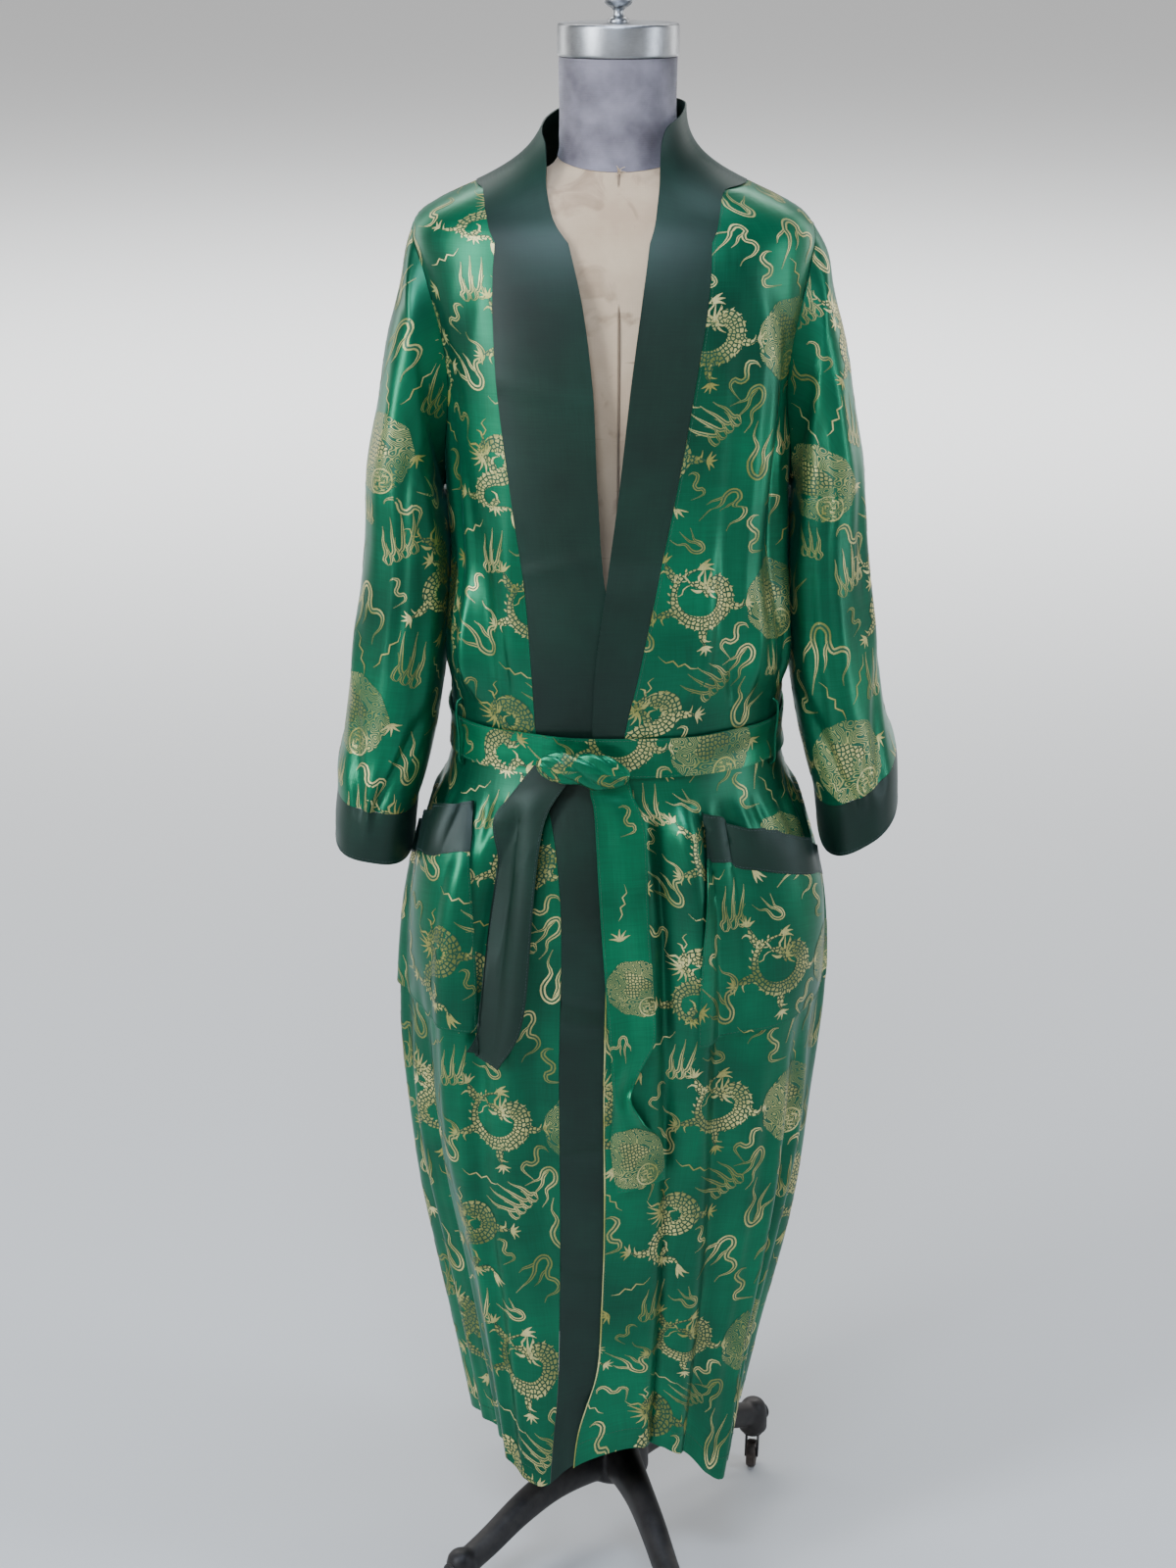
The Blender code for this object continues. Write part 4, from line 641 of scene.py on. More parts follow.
class Slot(Enum):
    """The material slots."""

    BROCADE = "green_gold_brocade"
    DARK = "dark_green_satin"
    CANVAS = "canvas"
    COVER = "neck_cover"
    STEEL = "steel"
    IRON = "iron"
    CASTER = "caster_iron"


@dataclass
class Wardrobe:
    """All finishes, made once."""

    made: dict[str, bpy.types.Material] = field(default_factory=dict)

    def get(self, finish: object) -> bpy.types.Material:
        """Return a finish's material, made on its first use.

        Args:
            finish: the finish.

        Returns:
            Its material.
        """
        if finish.name not in self.made:
            self.made[finish.name] = finish.make()
        return self.made[finish.name]


GREEN_SATIN = SilkSatin("green_silk_satin", "#006544", "#004A34", "#017A53", 0.34, 0.62, "#6FD8D0", 0.06)
DARK_SATIN = SilkSatin("dark_green_silk_satin", "#0A2B20", "#071E16", "#11372A", 0.44, 0.3, "#8FB2AE", 0.08)
# Painted sheen: a lighter copy of the green satin for the belt, its knot and its brocade end, standing in for
# the brighter sheen of cloth cut across the grain
PAINTED_SHEEN_BELT_SATIN = SilkSatin("green_silk_satin_cross_cut_painted_sheen", "#01744D", "#00563A", "#068C5E", 0.3, 0.62,
                       "#8CE5D2", 0.08)
# Each gold finish's bright and dull colours are a painted reflection: the thread is drawn brighter or duller
# in patches in place of its changing shine
GOLD_OUTLINE = GoldBrocade("gold_weft_outline", ThreadPattern.OUTLINE, "#DCD18C", "#7C8444", "#085036")
GOLD_SCALES = GoldBrocade("gold_weft_scales", ThreadPattern.SCALES, "#D6CA80", "#6E773C", "#03462F")
GOLD_WINDING = GoldBrocade("gold_weft_winding", ThreadPattern.WINDING, "#BCB871", "#6F7F42", "#03543A")
GOLD_SOLID = GoldBrocade("gold_weft_solid", ThreadPattern.SOLID, "#DED594", "#9A9850", "#2E6B45")
THREAD_GREEN = SewingThread("green_spun_thread", "#0C6141", "#05392A")
THREAD_DARK = SewingThread("dark_spun_thread", "#1E3C36", "#0A1D1A")
BROCADE_FINISHES = (GOLD_OUTLINE, GOLD_SCALES, GOLD_WINDING, GOLD_SOLID)
CANVAS = CottonCanvas()
# Painted shade: a darker copy of the canvas for the centre-front seam, standing in for the shade along it
SEAM_CANVAS = CottonCanvas("shaded_canvas_seam", "#9A866E", "#84705A", "#6A5746")
COVER = JerseyCover()
STEEL = CastMetal("brushed_steel", "#8C8E90", "#B4B6B8", 1.0, 0.34, 0.6, 0.1, True)
IRON = CastMetal("worn_painted_cast_iron", "#1E1D1E", "#3B3836", 0.45, 0.52, 1.2, 0.35)
CASTER_IRON = CastMetal("bare_worn_iron", "#2C2826", "#6B6058", 0.65, 0.5, 0.9, 0.3)
WARDROBE = Wardrobe()


def soft_step(share: Array) -> Array:
    """Ease from 0 to 1 as share goes from 0 to 1."""
    share = np.clip(share, 0.0, 1.0)
    return share * share * (3.0 - 2.0 * share)


def along_table(rows: tuple, column: str, height: Array) -> Array:
    """Read one named column of a table at any height, on a smooth curve through its rows.

    Args:
        rows: the table, with a height in each row.
        column: the column's name.
        height: the heights to read at.

    Returns:
        The column's values.
    """
    heights = np.array([row.height for row in rows])
    values = np.array([getattr(row, column) for row in rows])
    slopes = np.gradient(values, heights)
    height = np.clip(np.asarray(height, dtype=float), heights[0], heights[-1])
    index = np.clip(np.searchsorted(heights, height, side="right") - 1, 0, len(rows) - 2)
    step = heights[index + 1] - heights[index]
    share = (height - heights[index]) / step
    ease = soft_step(share)
    start_pull = share * (1.0 - share) ** 2 * step * slopes[index]
    end_pull = share ** 2 * (1.0 - share) * step * slopes[index + 1]
    return values[index] * (1.0 - ease) + values[index + 1] * ease + start_pull - end_pull


def round_turn(count: int) -> Array:
    """Return evenly spaced angles round a full turn."""
    return np.linspace(0.0, 2.0 * pi, count, endpoint=False)


def run_along(points: Array) -> Array:
    """Return each point's distance along its line."""
    return np.concatenate([[0.0], np.cumsum(np.linalg.norm(np.diff(points, axis=0), axis=-1))])


def quads(number: Array, closed: bool = False, flip: bool = False) -> Array:
    """Return the faces of a grid of point numbers.

    Args:
        number: point numbers, rows by columns.
        closed: whether the last column joins the first.
        flip: whether the faces look the other way.

    Returns:
        Four point numbers for each face.
    """
    beside = np.roll(number, -1, axis=1)
    faces = np.stack([number[:-1], beside[:-1], beside[1:], number[1:]], axis=-1)
    faces = (faces if closed else faces[:, :-1]).reshape(-1, 4)
    return faces[:, [0, 3, 2, 1]] if flip else faces


def squared(across: Array, ahead: Array, power: Array | float) -> Array:
    """Return how far a rounded square reaches in a direction, 1 along its axes."""
    return (np.abs(across) ** power + np.abs(ahead) ** power) ** (-1.0 / power)


def ridge(degrees: Array, middle: Array | float, half: float) -> Array:
    """Return a round ridge, 1 at its middle angle and 0 beyond its half angle, in degrees."""
    away = np.abs((degrees - middle + 180.0) % 360.0 - 180.0) / half
    return np.where(away < 1.0, 0.5 + 0.5 * np.cos(pi * np.minimum(away, 1.0)), 0.0)


def unit(vectors: Array) -> Array:
    """Return vectors at length 1."""
    return vectors / np.maximum(np.linalg.norm(vectors, axis=-1, keepdims=True), 1e-12)


def curve_through(points: Array, count: int) -> Array:
    """Sample a smooth curve that passes through its control points.

    Args:
        points: control points or rows, first axis along the curve.
        count: how many samples to return.

    Returns:
        The samples.
    """
    points = np.asarray(points, dtype=float)
    place = np.linspace(0.0, len(points) - 1.0, count)
    index = np.clip(place.astype(int), 0, len(points) - 2)
    share = (place - index).reshape((-1,) + (1,) * (points.ndim - 1))
    before = points[np.maximum(index - 1, 0)]
    start = points[index]
    end = points[index + 1]
    after = points[np.minimum(index + 2, len(points) - 1)]
    start_pull = 0.5 * (end - before)
    end_pull = 0.5 * (after - start)
    square = share * share
    cube = square * share
    return ((2 * cube - 3 * square + 1) * start + (cube - 2 * square + share) * start_pull
            + (3 * square - 2 * cube) * end + (cube - square) * end_pull)


def build_object(name: str, points: Array, faces: list | Array, places: Array,
                 finishes: list, which: Array | None = None, sharp_degrees: float = 55.0) -> Thing:
    """Make a mesh object with smooth faces and a coordinate map called cloth.

    Args:
        name: the object's name.
        points: vertex places.
        faces: vertex numbers of each face.
        places: map coordinates of each vertex.
        finishes: the object's finishes.
        which: each face's material number.
        sharp_degrees: edges that turn more than this stay sharp.

    Returns:
        The new object.
    """
    mesh = bpy.data.meshes.new(name)
    faces = faces.tolist() if isinstance(faces, np.ndarray) else faces
    mesh.from_pydata(np.asarray(points, dtype=float).tolist(), [], faces)
    layer = mesh.uv_layers.new(name="cloth")
    corners = np.empty(len(mesh.loops), dtype=np.int32)
    mesh.loops.foreach_get("vertex_index", corners)
    layer.data.foreach_set("uv", np.asarray(places, dtype=np.float32)[corners].ravel())
    for finish in finishes:
        mesh.materials.append(WARDROBE.get(finish))
    if which is not None:
        mesh.polygons.foreach_set("material_index", np.asarray(which, dtype=np.int32))
    mesh.shade_smooth()
    mesh.set_sharp_from_angle(angle=radians(sharp_degrees))
    thing = bpy.data.objects.new(name, mesh)
    bpy.context.scene.collection.objects.link(thing)
    return thing


def weld(thing: Thing, outward: bool = False) -> Thing:
    """Join the points of a mesh that lie in one place.

    Args:
        thing: the object.
        outward: whether its faces are also turned outward.

    Returns:
        The same object.
    """
    shape = bmesh.new()
    shape.from_mesh(thing.data)
    bmesh.ops.remove_doubles(shape, verts=shape.verts, dist=0.000001)
    if outward:
        bmesh.ops.recalc_face_normals(shape, faces=shape.faces)
    shape.to_mesh(thing.data)
    shape.free()
    return thing


def register(thing: Thing, slot: Slot, body: str, *nodes: str) -> Thing:
    """Ride a piece on its body and let it stand for its solids.

    Args:
        thing: the new piece.
        slot: the material slot, which is not used.
        body: the body it rides on.
        nodes: the CAD nodes it replaces.

    Returns:
        The same piece.
    """
    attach(thing, body)
    if nodes:
        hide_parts(*nodes)
    LOG.info("%s: %d faces", thing.name, len(thing.data.polygons))
    return thing


@dataclass
class ClothGrid:
    """A cloth piece as a grid of outer points: rows up, columns to the wearer's left."""

    points: Array
    normals: Array
    across: Array
    along: Array
    closed: bool = False

    @classmethod
    def from_points(cls, points: Array, closed: bool = False, normals: Array | None = None,
                    grain: Array | None = None) -> "ClothGrid":
        """Measure a grid's cloth coordinates.

        Args:
            points: outer points, rows by columns.
            closed: whether the columns close into a tube.
            normals: outward normals, worked out where they are left out.
            grain: the fractional column of the grain line in each row.

        Returns:
            The measured grid.
        """
        if closed:
            points = np.concatenate([points, points[:, :1]], axis=1)
            if normals is not None:
                normals = np.concatenate([normals, normals[:, :1]], axis=1)
        if normals is None:
            across_step = np.gradient(points, axis=1)
            if closed:
                wrap = 0.5 * (points[:, 1] - points[:, -2])
                across_step[:, 0] = wrap
                across_step[:, -1] = wrap
            normals = unit(np.cross(across_step, np.gradient(points, axis=0)))
        steps = np.linalg.norm(np.diff(points, axis=1), axis=-1)
        across = np.concatenate([np.zeros((len(points), 1)), np.cumsum(steps, axis=1)], axis=1)
        columns = np.arange(points.shape[1])
        if grain is None:
            grain = np.full(len(points), 0.5 * (points.shape[1] - 1))
        zero = np.array([np.interp(g, columns, row) for g, row in zip(grain, across)])
        across = across - zero[:, None]
        middle = points.shape[1] // 2
        along = run_along(points[:, middle])
        return cls(points, normals, across, along, closed)

    def map_coordinates(self) -> Array:
        """Return each point's cloth coordinates in metres."""
        level = np.broadcast_to(self.along[:, None], self.across.shape)
        return np.stack([self.across, level], axis=-1)

    def place(self, flat: Array, lift: float) -> tuple[Array, Array]:
        """Lay flat cloth coordinates on the piece.

        Args:
            flat: points as (across, along) in metres.
            lift: how far they stand out.

        Returns:
            The points in space, and which of them lie inside the piece.
        """
        rows, columns = self.across.shape
        row = np.interp(flat[:, 1], self.along, np.arange(rows))
        inside = (flat[:, 1] >= self.along[0]) & (flat[:, 1] <= self.along[-1])
        low = np.clip(row.astype(int), 0, rows - 2)
        share = (row - low)[:, None]
        line = self.across[low] * (1.0 - share) + self.across[low + 1] * share
        inside &= (flat[:, 0] >= line[:, 0]) & (flat[:, 0] <= line[:, -1])
        target = np.clip(flat[:, 0], line[:, 0], line[:, -1])[:, None]
        left = np.clip((line < target).sum(axis=1) - 1, 0, columns - 2)
        index = np.arange(len(flat))
        start = line[index, left]
        width = np.maximum(line[index, left + 1] - start, 1e-9)
        part = np.clip((target[:, 0] - start) / width, 0.0, 1.0)[:, None]

        def blend(values: Array) -> Array:
            """Read a grid of vectors at the found cells."""
            low_row = values[low, left] * (1.0 - part) + values[low, left + 1] * part
            high_row = values[low + 1, left] * (1.0 - part) + values[low + 1, left + 1] * part
            return low_row * (1.0 - share) + high_row * share

        return blend(self.points) + unit(blend(self.normals)) * lift, inside

    def shell(self, name: str, thickness: float, finish: object) -> Thing:
        """Make the piece's thin shell with closed edges.

        Args:
            name: the object's name.
            thickness: the cloth's thickness.
            finish: the cloth's finish.

        Returns:
            The shell.
        """
        outer = self.points
        inner = outer - self.normals * thickness
        rows, columns = outer.shape[:2]
        count = rows * columns
        number = np.arange(count).reshape(rows, columns)
        faces = [quads(number), quads(number, flip=True) + count]
        bottom = number[0]
        top = number[-1]
        faces.append(np.stack([bottom[:-1], bottom[:-1] + count, bottom[1:] + count, bottom[1:]], axis=1))
        faces.append(np.stack([top[:-1], top[1:], top[1:] + count, top[:-1] + count], axis=1))
        if not self.closed:
            first = number[:, 0]
            last = number[:, -1]
            faces.append(np.stack([first[:-1], first[1:], first[1:] + count, first[:-1] + count], axis=1))
            faces.append(np.stack([last[:-1], last[:-1] + count, last[1:] + count, last[1:]], axis=1))
        places = self.map_coordinates().reshape(-1, 2)
        points = np.concatenate([outer.reshape(-1, 3), inner.reshape(-1, 3)])
        thing = build_object(name, points, np.concatenate(faces), np.concatenate([places, places]), [finish])
        return weld(thing) if self.closed else thing


@dataclass
class RobeSurface:
    """The smooth surface that every piece of the robe's body lies on."""

    folds: tuple[Fold, ...] = MAIN_FOLDS + CREASES
    armhole_half_depth: float = 0.062
    shoulder_round: float = 0.01
    shoulder_from: float = 1.38
    lap_full_x: float = 0.062
    lap_end_x: float = 0.115
    lap_top: float = 1.15
    lap_fade: float = 0.05
    hem_fade: float = 0.18
    hem_dips: tuple[tuple[float, float, float], ...] = (
        (-0.078, 0.03, 0.03), (0.112, 0.028, 0.042), (0.02, 0.045, -0.018))

    def fold_height(self, angle: Array, height: Array) -> Array:
        """Sum what the folds add, outward, at angles in radians and heights.

        Args:
            angle: angles in radians, 0 in front.
            height: heights of the same shape.

        Returns:
            The outward lift.
        """
        degrees = np.degrees(angle)
        total = np.zeros(np.broadcast(degrees, height).shape)
        for fold in self.folds:
            run = np.clip((fold.top - height) / (fold.top - fold.bottom), 0.0, 1.0)
            middle = fold.top_angle + (fold.low_angle - fold.top_angle) * run
            window = soft_step((fold.top - height) / fold.fade_in)
            if fold.fade_out > 0.0:
                window = window * soft_step((height - fold.bottom) / fold.fade_out)
            total = total + fold.depth * ridge(degrees, middle, fold.half_angle) * window
        return total

    def ring_value(self, column: str, height: Array) -> Array:
        """Read the body's rings, rounded off over the shoulders.

        Args:
            column: the column of BODY_RINGS.
            height: the heights to read at.

        Returns:
            Its values.
        """
        reach = self.shoulder_round * soft_step((height - self.shoulder_from) / 0.03)
        low, middle, high = [along_table(BODY_RINGS, column, height + step) for step in (-reach, 0.0, reach)]
        return 0.5 * middle + 0.25 * (low + high)

    def middle(self, angle: Array, height: Array) -> Array:
        """Return the body's outer surface at angles in radians and heights.

        Args:
            angle: angles in radians, 0 in front.
            height: heights of the same shape.

        Returns:
            Points in space.
        """
        half_width = self.ring_value("half_width", height)
        front = self.ring_value("front", height)
        back = self.ring_value("back", height)
        power = self.ring_value("squareness", height)
        centre_x = self.ring_value("centre_x", height)
        across = np.sin(angle)
        ahead = np.cos(angle)
        reach = squared(across, ahead, power)
        depth = np.where(ahead > 0.0, front, back)
        swell = self.fold_height(angle, height)
        side = across * depth
        face = ahead * half_width
        length = np.hypot(side, face)
        x = centre_x + half_width * across * reach + swell * side / length
        y = -depth * ahead * reach - swell * face / length
        return np.stack(np.broadcast_arrays(x, y, height + 0.0 * x), axis=-1)

    def normal(self, angle: Array, height: Array) -> Array:
        """Return the outward unit normal.

        Args:
            angle: angles in radians, 0 in front.
            height: heights of the same shape.

        Returns:
            A normal for each point.
        """
        across = self.middle(angle + 0.01, height) - self.middle(angle - 0.01, height)
        up = self.middle(angle, height + 0.004) - self.middle(angle, height - 0.004)
        return unit(np.cross(across, up))

    def point(self, angle: Array, height: Array, offset: Array | float) -> Array:
        """Return points a given distance out from the surface.

        Args:
            angle: angles in radians, 0 in front.
            height: heights of the same shape.
            offset: how far out.

        Returns:
            Points in space.
        """
        offset = np.asarray(offset, dtype=float)
        shift = self.normal(angle, height) * (offset[..., None] if offset.ndim else offset)
        return self.middle(angle, height) + shift

    def front_angle(self, x: Array, height: Array) -> Array:
        """Return the angle on the front half at which the plain ring passes x.

        Args:
            x: the place across.
            height: the heights.

        Returns:
            Angles in radians.
        """
        half_width = along_table(BODY_RINGS, "half_width", height)
        power = along_table(BODY_RINGS, "squareness", height)
        share = np.clip((x - along_table(BODY_RINGS, "centre_x", height)) / half_width, -1.0, 1.0)
        return np.arctan2(share, (1.0 - np.abs(share) ** power) ** (1.0 / power))

    def depth_angle(self, y: Array, height: Array, table: str) -> Array:
        """Return the angle off the front or back middle at which the ring passes a depth.

        Args:
            y: the depth from the side.
            height: the heights.
            table: front or back.

        Returns:
            Angles in radians.
        """
        depth = along_table(BODY_RINGS, table, height)
        power = along_table(BODY_RINGS, "squareness", height)
        share = np.clip(y / depth, 0.0, 1.0)
        return np.arctan2((1.0 - share ** power) ** (1.0 / power), share)

    def lap_lift(self, angle: Array, height: Array) -> Array:
        """Return how far the left front stands out where it laps over the right one.

        Args:
            angle: angles in radians, 0 in front.
            height: heights of the same shape.

        Returns:
            The lift.
        """
        x = self.middle(angle, height)[..., 0]
        near = 1.0 - soft_step((x - self.lap_full_x) / (self.lap_end_x - self.lap_full_x))
        return LAP * near * soft_step((self.lap_top - height) / self.lap_fade)

    def armhole_depth(self, height: Array) -> Array:
        """Return the armhole's half depth at a height, 0 outside it."""
        share = np.clip(1.0 - ((height - ARM_MIDDLE) / ARM_HALF) ** 2, 0.0, 1.0)
        return self.armhole_half_depth * np.sqrt(share)

    def armhole_heights(self, rows: int) -> Array:
        """Return levels round the armhole, closer together at its ends."""
        return ARM_MIDDLE + ARM_HALF * np.cos(np.linspace(pi, 0.0, rows + 1))

    def panel_heights(self) -> Array:
        """Return the levels that the body's pieces share, about 5.5 mm apart.

        Returns:
            Heights from the hem up.
        """
        skirt = np.linspace(HEM, UNDERARM, 184)[:-1]
        shoulder = np.linspace(SHOULDER_TIP, PANEL_TOP, 11)[1:]
        return np.concatenate([skirt, self.armhole_heights(48), shoulder])

    def seam_angle(self, height: Array) -> Array:
        """Return the angle that a seam's gap takes up."""
        return SEAM / along_table(BODY_RINGS, "half_width", height)

    def side_angle(self, height: Array, face: str = "front") -> Array:
        """Return a panel's side edge: the side seam, the armhole or the shoulder seam.

        Args:
            height: the heights.
            face: front or back.

        Returns:
            Angles in radians.
        """
        inside = (height > UNDERARM) & (height < SHOULDER_TIP)
        armhole = self.depth_angle(self.armhole_depth(height), height, face)
        if face == "back":
            return np.where(inside, pi - armhole, 0.5 * pi + self.seam_angle(height))
        return np.where(inside, armhole, 0.5 * pi - self.seam_angle(height))

    def edge(self, column: str, height: Array) -> Array:
        """Return the front angle of one edge of the bands."""
        return self.front_angle(along_table(EDGE_ROWS, column, height), height)

    def drop_hem(self, points: Array) -> Array:
        """Let the hem dip at the front corners, fading up the skirt.

        Args:
            points: the cloth's points.

        Returns:
            The moved points.
        """
        x = points[..., 0]
        z = points[..., 2]
        corner = sum(drop * np.exp(-((x - mid) / wide) ** 2) for mid, wide, drop in self.hem_dips)
        front = soft_step((-points[..., 1] - 0.02) / 0.05)
        moved = points.copy()
        moved[..., 2] = z - corner * front * (1.0 - soft_step((z - HEM) / self.hem_fade))
        return moved

    def grid(self, angle: Array, height: Array, lift: Array | float, grain: float | None = None) -> ClothGrid:
        """Make a cloth grid on the surface.

        Args:
            angle: angles, rows by columns, in radians.
            height: heights of the same shape.
            lift: how far the outer face stands out.
            grain: the angle in degrees that the grain line follows.

        Returns:
            The grid.
        """
        points = self.drop_hem(self.point(angle, height, lift))
        line = None
        if grain is not None:
            columns = np.arange(angle.shape[1])
            line = np.array([np.interp(radians(grain), row, columns) for row in angle])
        return ClothGrid.from_points(points, normals=self.normal(angle, height), grain=line)


def spread(low: Array, high: Array, columns: int) -> Array:
    """Return a grid whose rows go evenly from low to high."""
    share = np.linspace(0.0, 1.0, columns)[None, :]
    return low[:, None] * (1.0 - share) + high[:, None] * share


def smooth_rows(rings: Array, spacing: float) -> tuple[Array, Array]:
    """Fill in rows between rings on a smooth curve down every column.

    Args:
        rings: coarse rings, rings by columns by 3.
        spacing: the widest step between the new rows.

    Returns:
        The dense rows, and each one's fractional ring number.
    """
    steps = np.maximum(np.linalg.norm(np.diff(rings, axis=0), axis=-1, keepdims=True), 1e-6)
    secants = np.diff(rings, axis=0) / steps
    slopes = np.concatenate([secants[:1], secants[-1:]])
    if len(rings) > 2:
        weight = steps[:-1] / (steps[:-1] + steps[1:])
        inner = secants[:-1] * (1.0 - weight) + secants[1:] * weight
        slopes = np.concatenate([secants[:1], inner, secants[-1:]])
    rows = [rings[:1]]
    places = [0.0]
    for index in range(len(rings) - 1):
        count = max(1, int(ceil(float(steps[index].max()) / spacing)))
        share = (np.arange(1, count + 1) / count)[:, None, None]
        ease = share * share * (3.0 - 2.0 * share)
        start_pull = share * (1.0 - share) ** 2 * steps[index] * slopes[index]
        end_pull = share ** 2 * (1.0 - share) * steps[index] * slopes[index + 1]
        rows.append(rings[index] * (1.0 - ease) + rings[index + 1] * ease + start_pull - end_pull)
        places += (index + share.ravel()).tolist()
    return np.concatenate(rows), np.array(places)


@dataclass
class FlatPattern:
    """Motif pieces in flat cloth coordinates, in metres."""

    points: list[Array] = field(default_factory=list)
    places: list[Array] = field(default_factory=list)
    faces: list[Array] = field(default_factory=list)
    which: list[Array] = field(default_factory=list)
    raised: list[Array] = field(default_factory=list)
    count: int = 0

    def add(self, points: Array, places: Array, faces: Array, finish: int | Array,
            raised: float | Array = 0.0) -> None:
        """Add a piece.

        Args:
            points: flat points.
            places: the thread pattern's own coordinates.
            faces: quads by point number.
            finish: number of the finish in BROCADE_FINISHES.
            raised: how far it lies above the motifs' common level.
        """
        self.points.append(points)
        self.places.append(places)
        self.faces.append(faces + self.count)
        self.which.append(np.full(len(faces), finish))
        self.raised.append(np.full(len(points), raised))
        self.count += len(points)

    def ribbon(self, knots: list | Array, width: float, finish: int, start: float = 0.15,
               end: float = 0.45, cells: int = 2, smooth: bool = True, raised: float = 0.0) -> Array:
        """Add a tapered ribbon along a line.

        Args:
            knots: control points in millimetres.
            width: full width in millimetres.
            finish: number of the finish.
            start: share of the length that widens at the start.
            end: share of the length that narrows at the end.
            cells: quads across.
            smooth: whether the line is rounded between its knots.
            raised: lift above the other motifs.

        Returns:
            The ribbon's middle line in metres.
        """
        knots = np.asarray(knots, dtype=float) * MM
        length = float(np.linalg.norm(np.diff(knots, axis=0), axis=-1).sum())
        count = max(5, int(length / 0.0032))
        if smooth:
            line = curve_through(knots, count)
        else:
            run = run_along(knots)
            place = np.unique(np.concatenate([np.linspace(0.0, run[-1], count), run]))
            line = np.stack([np.interp(place, run, knots[:, axis]) for axis in (0, 1)], axis=-1)
            count = len(line)
        tangent = unit(np.gradient(line, axis=0))
        side = np.stack([-tangent[:, 1], tangent[:, 0]], axis=-1)
        share = np.linspace(0.0, 1.0, count)
        swell = np.minimum(soft_step(share / max(start, 1e-6)), soft_step((1.0 - share) / max(end, 1e-6)))
        half = 0.5 * width * MM * (0.12 + 0.88 * swell)
        across = np.linspace(-1.0, 1.0, cells + 1)
        points = line[:, None] + side[:, None] * (half[:, None] * across)[..., None]
        run = run_along(line)
        if BROCADE_FINISHES[finish].pattern in (ThreadPattern.OUTLINE, ThreadPattern.SOLID):
            places = np.stack(np.broadcast_arrays(run[:, None], across[None, :]), axis=-1)
        else:
            places = np.stack(np.broadcast_arrays(run[:, None], half[:, None] * across), axis=-1)
        number = np.arange(count * (cells + 1)).reshape(count, cells + 1)
        self.add(points.reshape(-1, 2), places.reshape(-1, 2), quads(number), finish, raised)
        return line

    def disc(self, radii: Array, finish: int, rings: int = 10, raised: float = 0.0) -> None:
        """Add a patch with its edge at the given radii in millimetres, evenly round.

        Args:
            radii: the edge's radius at even turns.
            finish: number of the finish.
            rings: quads from the middle to the edge.
            raised: lift above the other motifs.
        """
        turns = round_turn(len(radii))
        share = np.linspace(0.02, 1.0, rings + 1)[:, None]
        reach = np.asarray(radii)[None, :] * MM * share
        points = np.stack([reach * np.cos(turns), reach * np.sin(turns)], axis=-1)
        number = np.arange(points.shape[0] * points.shape[1]).reshape(points.shape[:2])
        flat = points.reshape(-1, 2)
        self.add(flat, flat, quads(number, closed=True, flip=True), finish, raised)

    def place(self, motif: "FlatPattern", x: float, y: float, degrees: float = 0.0, scale: float = 1.0,
              mirrored: bool = False) -> None:
        """Add a copy of another pattern, turned about its middle.

        Args:
            motif: the pattern to copy.
            x: place across, in millimetres.
            y: place along, in millimetres.
            degrees: turn.
            scale: size.
            mirrored: whether it is flipped left to right first.
        """
        level = cos(radians(degrees)) * scale
        slant = sin(radians(degrees)) * scale
        for points, places, faces, which, raised in zip(motif.points, motif.places, motif.faces,
                                                        motif.which, motif.raised):
            across = -points[:, 0] if mirrored else points[:, 0]
            along = points[:, 1]
            moved = np.stack([across * level - along * slant, across * slant + along * level], axis=-1)
            own = faces - faces.min()
            self.add(moved + np.array([x * MM, y * MM]), places, own[:, ::-1] if mirrored else own, which,
                     raised)

    def joined(self) -> tuple[Array, Array, Array, Array, Array]:
        """Return points, thread coordinates, faces, finishes and lifts as whole arrays."""
        lists = (self.points, self.places, self.faces, self.which, self.raised)
        return tuple(np.concatenate(values) for values in lists)


OUTLINE, SCALES, WINDING, SOLID = range(4)


